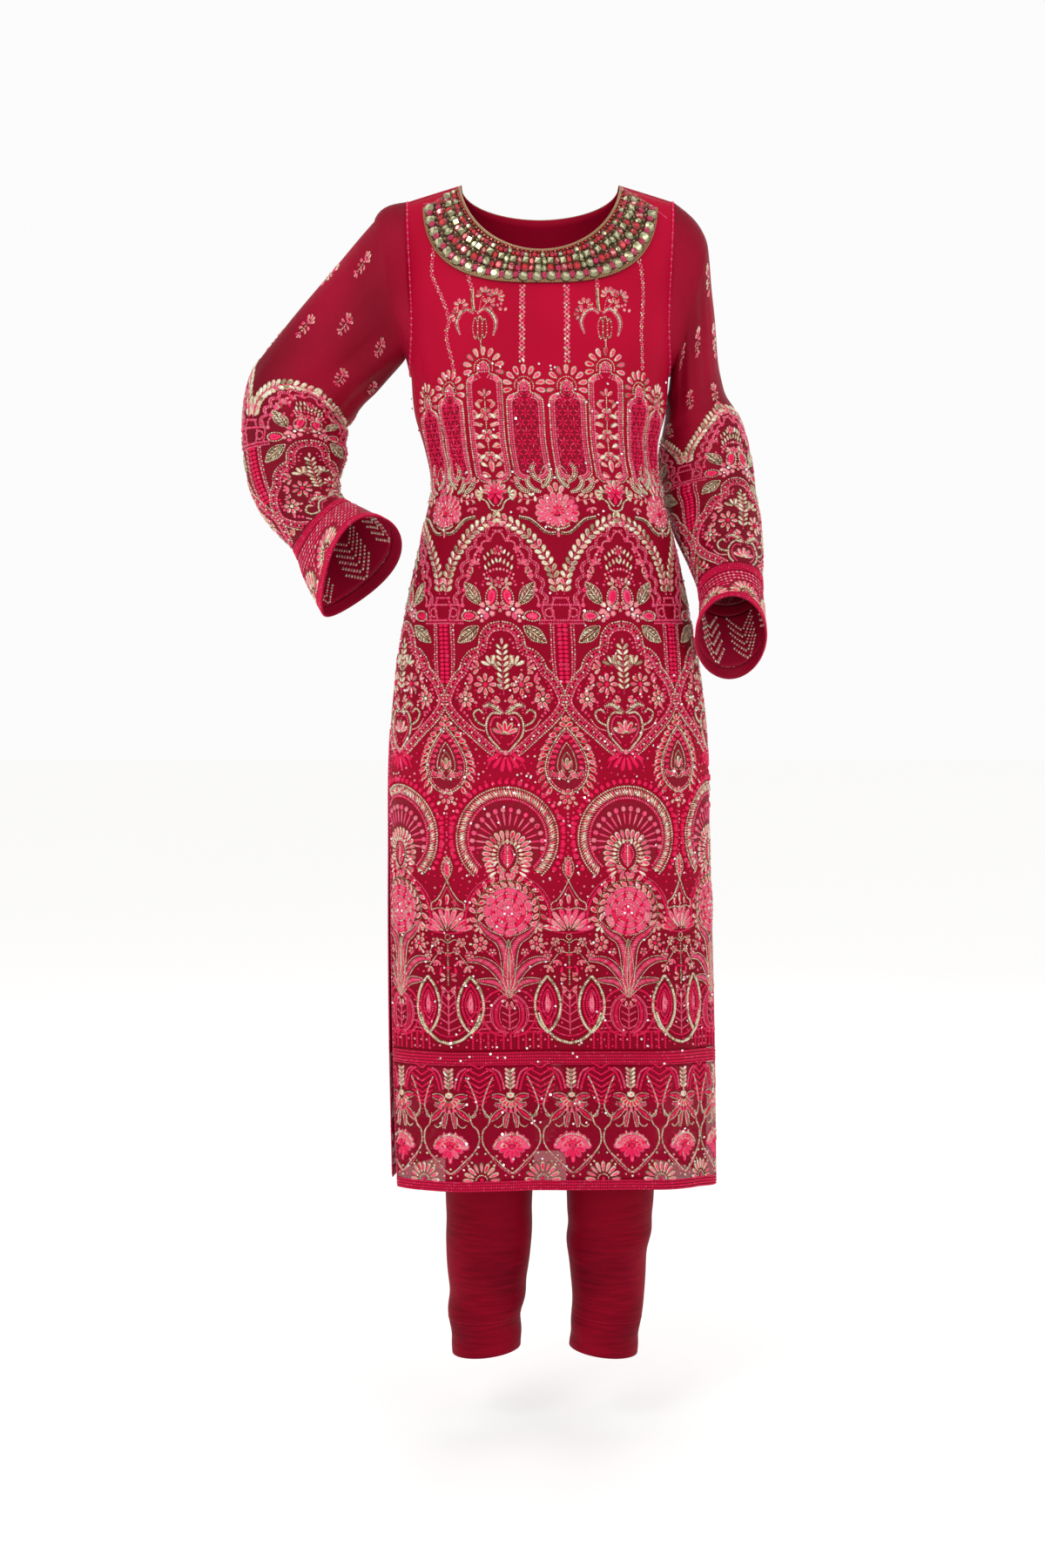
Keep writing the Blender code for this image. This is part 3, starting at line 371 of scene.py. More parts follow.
def cloth_sheet(name, places, flat, outward, material, thick, closed=False):
    """A thin shell of cloth over rows of places, with its flat cut in metres as its UV map."""
    rows, columns = places.shape[:2]
    sheet = bmesh.new()
    bmesh.ops.create_grid(sheet, x_segments=columns - 1, y_segments=rows - 1, size=1.0)
    flat_map = sheet.loops.layers.uv.new("flat_cut")
    cell = {}
    for corner in sheet.verts:
        i = round((corner.co.y + 1) / 2 * (rows - 1))
        j = round((corner.co.x + 1) / 2 * (columns - 1))
        cell[corner] = (i, j)
        corner.co = places[i, j]
    for face in sheet.faces:
        for loop in face.loops:
            loop[flat_map].uv = flat[cell[loop.vert]]
    cut_out = [corner for corner in sheet.verts if math.isnan(corner.co.x)]
    bmesh.ops.delete(sheet, geom=cut_out, context="VERTS")
    sheet.faces.ensure_lookup_table()
    sheet.normal_update()
    middle = max(sheet.faces, key=lambda face: face.calc_area())
    if middle.normal.dot(Vector(outward[cell[middle.verts[0]]])) < 0:
        bmesh.ops.reverse_faces(sheet, faces=sheet.faces)
    if closed:
        bmesh.ops.remove_doubles(sheet, verts=sheet.verts, dist=1e-6)
    mesh = bpy.data.meshes.new(name)
    sheet.to_mesh(mesh)
    sheet.free()
    mesh.shade_smooth()
    piece = piece_named(name, mesh, material)
    wall = piece.modifiers.new("thickness", "SOLIDIFY")
    wall.thickness = thick
    wall.offset = -1.0
    wall.use_even_offset = True
    return piece


def declare_sheet(piece):
    """Read the piece's flat UV map face by face; nothing is done with it."""
    mesh = piece.data
    uv = np.empty(len(mesh.loops) * 2)
    mesh.uv_layers["flat_cut"].data.foreach_get("uv", uv)
    uv = uv.reshape(-1, 2)
    for face in mesh.polygons:
        corners = uv[face.loop_start:face.loop_start + face.loop_total]
        nexts = np.roll(corners, -1, axis=0)


def woven_group():
    """Weave, slubs and the painted shade of soft folds in a cloth, read from its flat cut."""
    group = bpy.data.node_groups.new("woven_cloth", "ShaderNodeTree")
    face = group.interface
    for name, value in (("Thread Size", 0.0006), ("Slub", 0.3), ("Slub Length", 0.02),
            ("Slub Width", 0.0011)):
        face.new_socket(name=name, in_out="INPUT", socket_type="NodeSocketFloat").default_value = value
    for name in ("Height", "Tone", "Thread"):
        face.new_socket(name=name, in_out="OUTPUT", socket_type="NodeSocketFloat")
    take = group.nodes.new("NodeGroupInput")
    give = group.nodes.new("NodeGroupOutput")
    place = node(group, "TexCoord").outputs["UV"]

    def worked(operation, *values):
        return node(group, "Math", {"operation": operation}, dict(enumerate(values))).outputs[0]

    pitch = worked("DIVIDE", 0.314159, take.outputs["Thread Size"])
    warp, weft = (
        node(group, "TexWave", {"bands_direction": way}, {"Vector": place, "Scale": pitch,
            "Distortion": waver, "Detail": 1.0}).outputs["Fac"] for way, waver in (("X", 0.6), ("Y", 0.8)))
    threads = worked("MAXIMUM", warp, weft)
    stretch = node(group, "CombineXYZ", None,
        {"X": worked("DIVIDE", 1.0, take.outputs["Slub Length"]),
            "Y": worked("DIVIDE", 1.0, take.outputs["Slub Width"]), "Z": 1.0})
    drawn = node(group, "VectorMath", {"operation": "MULTIPLY"}, {0: place, 1: stretch.outputs[0]})
    slub = node(group, "TexNoise", None, {"Vector": drawn.outputs[0], "Scale": 1.0, "Detail": 3.0})
    slubs = worked("MULTIPLY", slub.outputs["Fac"], take.outputs["Slub"])
    # painted shade: a broad noise darkens and lightens the tone of the cloth for the shade of its soft folds
    painted_drape_shade = node(group, "TexNoise", None, {"Vector": place, "Scale": 7.0, "Detail": 1.0})
    for name, value in (("Height", worked("MULTIPLY_ADD", threads, 0.35, slubs)),
            ("Tone", worked("MULTIPLY_ADD", slubs, 0.5, painted_drape_shade.outputs["Fac"])), ("Thread", threads)):
        group.links.new(value, give.inputs[name])
    return group


woven = woven_group()
# Painted shade of the trousers and legs behind a kameez panel: how much of it the cloth takes at depths below
# the shoulder, in metres.
PAINTED_LOWER_SHADE = ((0.22, 0.0), (0.33, 0.35), (0.4, 0.68), (0.62, 0.68), (0.7, 0.4), (0.77, 0.42), (0.9, 0.85))


def woven_finish(name, dark, light, roughness, thread=0.0006, slub=0.3, slub_length=0.02,
                 slub_width=0.0011, bump=0.25, sheer=None, painted_lower_shade=None, **extra):
    """A woven cloth: two tones by slub and by painted fold shade, a weave in its bump, and holes if it is
    sheer.
    """
    material, tree, shader = finish_named(name, light, roughness, **extra)
    weave = tree.nodes.new("ShaderNodeGroup")
    weave.node_tree = woven
    for name, value in zip(("Thread Size", "Slub", "Slub Length", "Slub Width"),
                           (thread, slub, slub_length, slub_width)):
        weave.inputs[name].default_value = value
    ramp = node(tree, "ValToRGB", None, {"Fac": weave.outputs["Tone"]})
    ramp.color_ramp.elements[0].position, ramp.color_ramp.elements[1].position = 0.38, 0.78
    ramp.color_ramp.elements[0].color = (*dark, 1)
    ramp.color_ramp.elements[1].color = (*light, 1)
    colour = ramp.outputs["Color"]
    if painted_lower_shade is not None:  # painted shade: the cloth is painted darker below the waist and most of all by the knee, for the trousers and legs behind it
        place = node(tree, "SeparateXYZ", None, {"Vector": node(tree, "TexCoord").outputs["UV"]})
        down = node(tree, "Math", {"operation": "MULTIPLY"}, {0: place.outputs["Y"], 1: -1.0})
        fade = node(tree, "ValToRGB", None, {"Fac": down.outputs[0]})
        stops = fade.color_ramp.elements
        while len(stops) < len(PAINTED_LOWER_SHADE):
            stops.new(0.5)
        for stop, (depth, share) in zip(stops, PAINTED_LOWER_SHADE):
            stop.position, stop.color = depth, (share, share, share, 1)
        mix = node(tree, "Mix", {"data_type": "RGBA"}, {"Factor": fade.outputs["Color"]})
        tree.links.new(colour, mix.inputs[6])
        mix.inputs[7].default_value = (*painted_lower_shade, 1)
        colour = mix.outputs[2]
    tree.links.new(colour, shader.inputs["Base Color"])
    lump = node(tree, "Bump", None, {"Strength": bump, "Distance": 0.0004, "Height": weave.outputs["Height"]})
    tree.links.new(lump.outputs["Normal"], shader.inputs["Normal"])
    if sheer is not None:
        cover = node(tree, "MapRange", None,
            {"Value": weave.outputs["Thread"], "From Min": 0.2, "From Max": 1.0, "To Min": sheer[0],
                "To Max": sheer[1]})
        tree.links.new(cover.outputs["Result"], shader.inputs["Alpha"])
    return material


crimson_organza = woven_finish("crimson_organza", (0.4, 0.002, 0.024), (0.5, 0.003, 0.034), 0.6,
    thread=0.0007, slub=0.22, bump=0.22, painted_lower_shade=(0.185, 0.0006, 0.011), Specular_IOR_Level=0.05)
back_organza = woven_finish("crimson_organza_back", (0.32, 0.0014, 0.019), (0.42, 0.0023, 0.028), 0.6,
    thread=0.0007, slub=0.22, bump=0.22, Specular_IOR_Level=0.05)
front, back = Panel(FRONT), Panel(BACK)
FINE = 4                  # fine columns for each column of the panel's cut
UPPER_ROWS = 30
LOWER_STEP = 0.0052


def panel_cut(panel):
    """Shares and depths of a fine grid over a panel, from its neck and shoulders to its lace."""
    half = np.arange(0, PANEL_COLUMNS * FINE + 1) / FINE
    columns = np.concatenate((-half[:0:-1], half))
    top_of = front_top if panel.side == FRONT else back_top
    tops = {float(c): top_of(panel, float(c)) for c in half}
    top = np.array([tops[abs(float(c))] for c in columns])
    even = columns / PANEL_COLUMNS
    share, down = [], []
    if panel.side == BACK:  # the cloth that comes forward over the ridge, only outside the neck
        outside = np.clip(np.abs(columns) - RIDGE_COLUMN, 0, None) / (PANEL_COLUMNS - RIDGE_COLUMN)
        edge_x = NECK_HALF * np.array((math.sin(NECK_SWEEP), 1.0))
        seam = -SHOULDER_SEAM + SEAM / CAP
        for level in np.linspace(seam, 0.0, 9)[:-1]:
            x = edge_x[0] + (edge_x[1] - edge_x[0]) * (1 - level / seam)
            edge = float(share_at(panel, np.array([x]), np.array([level]))[0])
            shares = np.sign(columns) * (edge + (1 - edge) * outside)
            share.append(np.where(np.abs(columns) < RIDGE_COLUMN, np.nan, shares))
            down.append(np.full(len(columns), level))
    for t in np.arange(UPPER_ROWS) / UPPER_ROWS:
        share.append(np.sign(columns) * top[:, 0] * (1 - t) + even * t)
        down.append(top[:, 1] + (ARMPIT / CAP - top[:, 1]) * t)
    for level in np.linspace(ARMPIT, JOIN_LACE_TOP - SEAM, round((JOIN_LACE_TOP - ARMPIT) / LOWER_STEP)):
        share.append(even)
        down.append(np.full(len(even), level / CAP))
    return np.array(share), np.array(down)


def panel_piece(name, panel, share, down, material, thick, proud=0.0):
    """A shell of cloth over part of a panel."""
    places = panel.at(np.nan_to_num(share), down, np.full(share.shape, proud))
    places[np.isnan(share)] = np.nan
    places[..., 1] += np.where(np.abs(share) > 0.9999, SEAM / 2 * panel.side, 0.0)
    share = np.nan_to_num(share)
    outward = panel.at(share, down, np.ones(share.shape)) - panel.at(share, down)
    flat = np.stack((share * panel.run_at(down), -down * CAP), -1)
    return cloth_sheet(name, places, flat, outward, material, thick)


def dress(piece, node_name, slot):
    """The piece rides the root and hides the node of the part that it stands for; the slot is not used."""
    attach(piece, "root")
    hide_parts(node_name)


panel_pieces = {}
for panel, word, rests_on in ((front, "front", ["kameez_back_cloth"]), (back, "back", ["trousers_left"])):
    share, down = panel_cut(panel)
    piece = panel_piece(f"kameez_{word}_cloth", panel, share, down,
                        crimson_organza if panel is front else back_organza, CLOTH)
    dress(piece, f"kameez_{word}", "crimson_organza")
    panel_pieces[word] = piece

# ---------------------------------------------------------------- sheer hem borders
# A band of sheer dark organza between the two laces of each panel, so thin that the trousers and
# the light show through it.
JOIN_LACE_WIDE = 0.016
HEM_LACE_WIDE = 0.0125
LACE_PROUD = 0.0008
LACE_CLOTH = 0.0014
BORDER_CLOTH = 0.0006
sheer_border = woven_finish("sheer_border", (0.27, 0.0012, 0.018), (0.34, 0.0018, 0.026), 0.55, thread=0.0008,
    slub=0.15, bump=0.15, sheer=(0.55, 0.8), Specular_IOR_Level=0.05)
across = np.linspace(-1, 1, 97)
for panel, word in ((front, "front"), (back, "back")):
    levels = np.linspace(JOIN_LACE_TOP + JOIN_LACE_WIDE + SEAM, HEM - HEM_LACE_WIDE - SEAM, 26)
    share, down = np.meshgrid(across, levels / CAP)
    piece = panel_piece(f"{word}_border_cloth", panel, share, down, sheer_border, BORDER_CLOTH)
    dress(piece, f"{word}_hem_border", "sheer_border")
    panel_pieces[f"{word}_border"] = piece

# ---------------------------------------------------------------- join laces and hem laces
# Hot pink corded lace: one strip covers the seam between each panel and its border, a narrower
# one finishes the hem.
lace_cloth = woven_finish("lace_cloth", (0.24, 0.001, 0.018), (0.36, 0.002, 0.03), 0.6, thread=0.0011,
    slub=0.5, slub_length=0.003, bump=0.5, Specular_IOR_Level=0.12)
for panel, word in ((front, "front"), (back, "back")):
    strips = (("join", JOIN_LACE_TOP, JOIN_LACE_TOP + JOIN_LACE_WIDE, 7),
              ("hem", HEM - HEM_LACE_WIDE, HEM, 6))
    for strip, top, bottom, rows in strips:
        share, down = np.meshgrid(across, np.linspace(top, bottom, rows) / CAP)
        piece = panel_piece(f"{word}_{strip}_lace_cloth", panel, share, down, lace_cloth, LACE_CLOTH,
                            LACE_PROUD * 0.4)
        dress(piece, f"{word}_{strip}_lace", "pink_lace")
        panel_pieces[f"{word}_{strip}_lace"] = piece

# ---------------------------------------------------------------- sleeves
# Long straight sleeves of sheer crimson chiffon: one bent with the hand on the hip, the other
# hanging, each crushed into soft creases at the elbow.
SLEEVE_RIGHT = (
    # along, middle, half width across, half depth, lean and tip in degrees, pinch of the end
    (0.0, -0.179, 0.005, -0.122, 0.0825, 0.05, -77, 0, 0.0),
    (0.04, -0.205, 0.012, -0.151, 0.0735, 0.052, -65, 0, 0.0),
    (0.088, -0.237, 0.02, -0.186, 0.0685, 0.052, -53, 0, 0.0),
    (0.131, -0.265, 0.03, -0.216, 0.0655, 0.052, -38, -4, 0.0),
    (0.168, -0.287, 0.036, -0.245, 0.067, 0.053, -26, -4, 0.0),
    (0.206, -0.296, 0.038, -0.282, 0.0645, 0.054, -6, 2, 0.0),
    (0.244, -0.294, 0.03, -0.318, 0.063, 0.054, 5, 8, 0.0),
    (0.28, -0.293, 0.012, -0.351, 0.055, 0.052, 12, 10, 0.0),
    (0.321, -0.281, -0.01, -0.381, 0.047, 0.05, 27, 8, 0.1),
    (0.352, -0.264, -0.03, -0.4, 0.0425, 0.05, 43, 6, 0.2),
    (0.397, -0.242, -0.057, -0.426, 0.0545, 0.056, 51, 16, 0.32),
    (0.442, -0.214, -0.085, -0.455, 0.0665, 0.066, 56, 27, 0.45),
)
SLEEVE_LEFT = (
    (0.0, 0.179, 0.01, -0.145, 0.078, 0.05, 74, 0, 0.0),
    (0.042, 0.181, 0.022, -0.188, 0.061, 0.054, 64, 0, 0.0),
    (0.082, 0.184, 0.037, -0.23, 0.043, 0.062, 44, 0, 0.0),
    (0.115, 0.188, 0.048, -0.26, 0.043, 0.064, 30, 0, 0.0),
    (0.144, 0.195, 0.056, -0.286, 0.051, 0.064, 19, 0, 0.0),
    (0.184, 0.202, 0.057, -0.325, 0.056, 0.062, 9, 6, 0.0),
    (0.226, 0.2075, 0.047, -0.365, 0.055, 0.06, 6, 16, 0.0),
    (0.272, 0.215, 0.021, -0.403, 0.052, 0.056, 6, 24, 0.0),
    (0.323, 0.223, -0.01, -0.444, 0.044, 0.052, 6, 28, 0.0),
    (0.361, 0.226, -0.035, -0.473, 0.038, 0.05, 5, 30, 0.0),
    (0.435, 0.224, -0.075, -0.536, 0.0415, 0.07, 10, 45, 0.0),
)
SLEEVE_RISE = 0.008
SLEEVE_HEAD = 0.034
ARMHOLE_GAP = 0.0014
# where the join lace, the band, the hem lace and the end of each cuff lie along its sleeve
CUFFS = {"right": (0.357, 0.371, 0.43, 0.442), "left": (0.361, 0.374, 0.424, 0.435)}

# Creases of the sleeves: where each starts and ends along the sleeve and around it (in turns from
# the underarm, by way of the front, at one half over the shoulder), its half width and its depth.
CREASES_RIGHT = (
    (0.0, 0.13, 0.16, 0.22, 0.014, 0.005), (0.05, 0.06, 0.19, 0.09, 0.013, 0.005),
    (0.02, 0.33, 0.15, 0.36, 0.015, 0.004), (0.195, -0.06, 0.165, 0.24, 0.012, 0.007),
    (0.24, -0.04, 0.215, 0.22, 0.011, 0.006), (0.285, 0.0, 0.255, 0.2, 0.011, 0.0045),
    (0.06, 0.7, 0.2, 0.74, 0.015, 0.005), (0.2, 0.8, 0.22, 0.98, 0.012, 0.006),
    # finer creases that only the cloth shows
    (0.01, 0.24, 0.11, 0.29, 0.006, 0.0016), (0.02, 0.17, 0.12, 0.2, 0.005, 0.0014),
    (0.085, 0.26, 0.17, 0.33, 0.006, 0.0015), (0.1, 0.12, 0.18, 0.14, 0.006, 0.0018),
    (0.185, 0.06, 0.172, 0.38, 0.0055, 0.002), (0.212, 0.02, 0.196, 0.33, 0.005, 0.0018),
    (0.228, 0.04, 0.236, 0.3, 0.005, 0.0014), (0.256, 0.02, 0.244, 0.34, 0.005, 0.0016),
    (0.272, 0.06, 0.276, 0.26, 0.005, 0.0012), (0.298, 0.04, 0.29, 0.32, 0.005, 0.0012),
    (0.318, 0.1, 0.322, 0.4, 0.0055, 0.001), (0.19, 0.6, 0.205, 0.9, 0.0055, 0.0018),
    (0.232, 0.64, 0.24, 0.92, 0.0055, 0.0016), (0.27, 0.7, 0.262, 0.96, 0.0055, 0.0014),
    (0.02, 0.78, 0.13, 0.82, 0.0065, 0.0016), (0.04, 0.62, 0.15, 0.64, 0.0065, 0.0014),
    (0.15, 0.42, 0.225, 0.5, 0.007, 0.0016),
)
CREASES_LEFT = (
    (-0.01, 0.33, 0.13, 0.3, 0.011, 0.004), (-0.01, 0.18, 0.12, 0.16, 0.011, 0.004),
    (0.13, 0.1, 0.118, 0.46, 0.01, 0.005), (0.185, 0.08, 0.165, 0.4, 0.012, 0.0045),
    (0.25, 0.1, 0.225, 0.42, 0.012, 0.0045), (0.31, 0.14, 0.295, 0.4, 0.011, 0.0035),
    (0.02, 0.72, 0.15, 0.7, 0.014, 0.005), (0.19, 0.62, 0.21, 0.92, 0.013, 0.005),
    # finer creases that only the cloth shows
    (0.0, 0.25, 0.11, 0.24, 0.0055, 0.0016), (0.01, 0.38, 0.1, 0.36, 0.0055, 0.0014),
    (0.03, 0.12, 0.11, 0.11, 0.0055, 0.0015), (0.108, 0.14, 0.1, 0.4, 0.005, 0.0016),
    (0.142, 0.08, 0.15, 0.36, 0.005, 0.0016), (0.17, 0.2, 0.18, 0.52, 0.005, 0.0014),
    (0.205, 0.06, 0.198, 0.34, 0.005, 0.0016), (0.222, 0.18, 0.236, 0.48, 0.005, 0.0013),
    (0.262, 0.1, 0.272, 0.36, 0.005, 0.0014), (0.29, 0.2, 0.282, 0.5, 0.005, 0.0012),
    (0.335, 0.12, 0.33, 0.44, 0.0055, 0.0012), (0.03, 0.6, 0.13, 0.62, 0.006, 0.0016),
    (0.02, 0.84, 0.12, 0.8, 0.006, 0.0014), (0.15, 0.6, 0.165, 0.9, 0.0055, 0.0018),
    (0.23, 0.62, 0.24, 0.92, 0.0055, 0.0016), (0.285, 0.66, 0.28, 0.9, 0.0055, 0.0012),
)


class Sleeve(Laid):
    """A sleeve's cloth, by places along it and turns around it."""

    def __init__(self, side, rings, creases):
        self.side, self.rings, self.creases = side, rings, creases
        self.alongs = np.concatenate((-SLEEVE_HEAD * np.linspace(1, 0.04, 14),
            np.linspace(0.0, rings[-1][0], 230)))
        self.arounds = np.linspace(0, 1, 241)
        along, around = np.meshgrid(self.alongs, self.arounds, indexing="ij")
        self.places = self.surface(along, around)
        self.places[:, -1] = self.places[:, 0]
        lengthwise = np.gradient(self.places, self.alongs, axis=0)
        round_it = np.gradient(self.places, axis=1)
        round_it[:, 0] = round_it[:, -1] = self.places[:, 1] - self.places[:, -2]
        facing = unit(np.cross(round_it, lengthwise))
        middle = self.places[:, :-1].mean(axis=1, keepdims=True)
        self.facing = facing * np.sign(((self.places - middle) * facing).sum())
        self.girth = np.linalg.norm(np.diff(self.places, axis=1), axis=-1).sum(axis=1)

    def armhole(self, around):
        armpit = ARMPIT / CAP
        edge = np.concatenate((front.at(np.full(90, self.side), np.linspace(armpit, SHOULDER_SEAM, 90)),
            back.at(np.full(99, self.side), np.linspace(-SHOULDER_SEAM, armpit, 99))))
        run = run_of(edge)
        turns = np.mod(around, 1.0) * run[-1]
        return np.stack([np.interp(turns, run, edge[:, k]) for k in range(3)], -1)

    def surface(self, along, around):
        mid_x, mid_y, mid_z, wide, thick, lean, tip, pinch = smooth(self.rings, along)
        lean, tip = np.radians(lean), np.radians(tip)
        across_x, across_z = np.cos(lean), np.sin(lean)
        angle = around * 2 * math.pi
        out = -self.side * wide * np.cos(angle)
        deep = -thick * np.sin(angle) * (1 + pinch * np.cos(angle))
        x = mid_x + out * across_x + deep * np.sin(tip) * across_z
        z = mid_z + out * across_z - deep * np.sin(tip) * across_x
        point = np.stack((x, mid_y + deep * np.cos(tip), z), -1)
        radial = point - np.stack((mid_x, mid_y, mid_z), -1)
        size = np.linalg.norm(radial, axis=-1)
        sunk = np.zeros_like(size)
        for along0, around0, along1, around1, wide, deep in self.creases:
            girth = size * 2 * math.pi
            step_a, step_b = along - along0, np.mod(around - around0 + 0.5, 1.0) - 0.5
            run_a, run_b = along1 - along0, (around1 - around0) * girth
            t = np.clip((step_a * run_a + step_b * girth * run_b) / (run_a ** 2 + run_b ** 2), 0, 1)
            away = np.hypot(step_a - run_a * t, step_b * girth - run_b * t)
            taper = 0.35 + 0.65 * np.sin(math.pi * np.clip(t, 0.02, 0.98))
            sunk += deep * taper * np.exp(-(away / wide) ** 2)
        point = point - radial / size[..., None] * sunk[..., None]
        head = np.clip(-along / SLEEVE_HEAD, 0, 1)
        edge = self.armhole(around)
        edge[..., 0] += self.side * ARMHOLE_GAP
        blend = (head ** 1.3)[..., None]
        point = point * (1 - blend) + edge * blend
        rise = SLEEVE_RISE * np.sin(math.pi * head) * np.sin(math.pi * around) ** 4
        point[..., 0] += self.side * 0.45 * rise
        point[..., 2] += 0.9 * rise
        return point

    def at(self, along, around, lift=0.0):
        return self.between(np.interp(along, self.alongs, np.arange(len(self.alongs))),
                            np.mod(around, 1.0) * (len(self.arounds) - 1), lift)

    def on(self, u, v, lift=0.0):
        """Real places for millimetres around from the outside of the arm and along it."""
        along = np.asarray(v) * 0.001
        girth = np.interp(along, self.alongs, self.girth)
        return self.at(along, 0.5 - np.asarray(u) * 0.001 / girth, np.asarray(lift) * 0.001)


def tube_piece(name, tube, alongs, columns, material, thick, proud=0.0):
    """A shell of cloth over part of a sleeve."""
    along, around = np.meshgrid(np.asarray(alongs, float), np.linspace(0, 1, columns), indexing="ij")
    around_ends = np.where(around > 0.9999, 0.0, around)
    places = tube.at(along, around_ends, np.full(along.shape, proud))
    outward = tube.at(along, around_ends, np.ones(along.shape)) - tube.at(along, around_ends)
    girth = np.interp(along, tube.alongs, tube.girth)
    flat = np.stack(((around - 0.5) * girth, -along), -1)
    return cloth_sheet(name, places, flat, outward, material, thick, closed=True)


sheer_sleeve = woven_finish("sheer_sleeve", (0.19, 0.0008, 0.013), (0.42, 0.0022, 0.03), 0.55, thread=0.0006,
    slub=0.18, bump=0.18, sheer=(0.84, 0.95), Specular_IOR_Level=0.1)
cuff_cloth = woven_finish("cuff_cloth", (0.27, 0.0012, 0.022), (0.39, 0.0025, 0.036), 0.6, thread=0.0008,
    slub=0.3, bump=0.25, Specular_IOR_Level=0.1)
sleeves = {"right": Sleeve(-1, SLEEVE_RIGHT, CREASES_RIGHT), "left": Sleeve(1, SLEEVE_LEFT, CREASES_LEFT)}
sleeve_cloths = {}
for word, (join, band, hem, end) in CUFFS.items():
    tube = sleeves[word]
    body = np.concatenate((-SLEEVE_HEAD * np.linspace(1, 0, 9), np.linspace(0.004, join - SEAM, 92)))
    parts = (
        (f"sleeve_{word}_cloth", f"sleeve_{word}", body, CLOTH * 0.8, 0.0, sheer_sleeve, "sheer_sleeve"),
        (f"cuff_join_lace_{word}_cloth", f"cuff_join_lace_{word}", np.linspace(join, band - SEAM, 6),
            LACE_CLOTH, LACE_PROUD * 0.4, lace_cloth, "pink_lace"),
        (f"cuff_{word}_cloth", f"cuff_band_{word}", np.linspace(band, hem - SEAM, 16), CLOTH, 0.0, cuff_cloth,
            "cuff_cloth"),
        (f"cuff_hem_lace_{word}_cloth", f"cuff_hem_lace_{word}", np.linspace(hem, end, 6), LACE_CLOTH,
            LACE_PROUD * 0.4, lace_cloth, "pink_lace"),
    )
    for name, node_name, alongs, thick, proud, material, slot in parts:
        piece = tube_piece(name, tube, alongs, 89, material, thick, proud)
        dress(piece, node_name, slot)
        sleeve_cloths[name] = piece

# ---------------------------------------------------------------- neck piece
# A stiff scoop of bronze thread set with crystals and beads, sewn round the front of the neck from
# one shoulder to the other.
BIB_HALF = 0.137
BIB_DEEP = 0.1275
BIB_SQUARE = 2.8
BIB_LIFT = 0.0011
BIB_THICK = 0.0016
bib_ground = woven_finish("bib_ground", (0.04, 0.02, 0.01), (0.15, 0.085, 0.04), 0.45, thread=0.0012,
    slub=0.6, slub_length=0.004, bump=0.7, Metallic=0.55)


def bib_place(turn, inward):
    """Share and depth on the front panel: turn runs -1..1 round the neck, inward 0..1."""
    angle = turn * math.radians(84)
    inner_x, inner_z = NECK_HALF * np.sin(angle), -NECK_FRONT * np.cos(angle)
    power = 2 / BIB_SQUARE
    outer_x = BIB_HALF * np.sign(angle) * np.abs(np.sin(angle)) ** power
    outer_z = -0.012 - (BIB_DEEP - 0.012) * np.cos(angle) ** power
    x = outer_x + (inner_x - outer_x) * inward
    z = outer_z + (inner_z - outer_z) * inward
    down = down_at(x, z)
    return share_at(front, x, down), down


class Bib(Laid):
    """The neck piece's face, by turns round the neck and shares inward."""

    def __init__(self):
        self.turns, self.inwards = np.linspace(-1, 1, 181), np.linspace(0, 1, 13)
        turn, inward = np.meshgrid(self.turns, self.inwards)
        share, down = bib_place(turn, inward)
        self.places = front.at(share, down, np.full(share.shape, BIB_LIFT + BIB_THICK))
        self.facing = front.at(share, down, np.ones(share.shape)) - front.at(share, down)

    def at(self, turn, inward, lift=0.0):
        return self.between(np.asarray(inward) * (len(self.inwards) - 1),
                            (np.asarray(turn) + 1) / 2 * (len(self.turns) - 1), lift)


bib = Bib()
flat = np.stack(np.broadcast_arrays(bib.turns[None, :] * 0.19, -bib.inwards[:, None] * 0.042), -1)
bib_piece = cloth_sheet("neck_piece_ground", bib.places, flat, bib.facing, bib_ground, BIB_THICK)
dress(bib_piece, "neck_bib", "beaded_neck")

# ---------------------------------------------------------------- neck binding
# A narrow folded strip of gold-brown thread that edges the back of the neck and meets both ends
# of the neck piece on the shoulders.
BINDING_WIDE = 0.0065
BINDING_LIFT = 0.0011
BINDING_SWEEP = 84.0
zari_binding = woven_finish("zari_binding", (0.13, 0.06, 0.022), (0.34, 0.2, 0.09), 0.45, thread=0.001,
    slub=0.5, slub_length=0.003, bump=0.6, Metallic=0.5)
angle = np.linspace(-1, 1, 97) * math.radians(BINDING_SWEEP)
share, down = [], []
for width in np.linspace(0, 1, 6):
    x = (NECK_HALF + BINDING_WIDE * width) * np.sin(angle)
    z = -(NECK_BACK + BINDING_WIDE * width) * np.cos(angle)
    down.append(down_at(x, z))
    share.append(share_at(back, x, down[-1]))
share, down = np.array(share), np.array(down)
crown = np.sin(np.linspace(0.12, 0.88, 6) * math.pi)[:, None] * np.ones_like(share)
places = back.at(share, down, BINDING_LIFT + 0.001 + 0.0006 * crown)
outward = back.at(share, down, np.ones(share.shape)) - back.at(share, down)
flat = np.stack(np.broadcast_arrays(angle[None, :] * NECK_HALF, -np.linspace(0, BINDING_WIDE, 6)[:, None]),
    -1)
binding = cloth_sheet("neck_binding_strip", places, flat, outward, zari_binding, 0.001)
dress(binding, "neck_binding", "zari_binding")

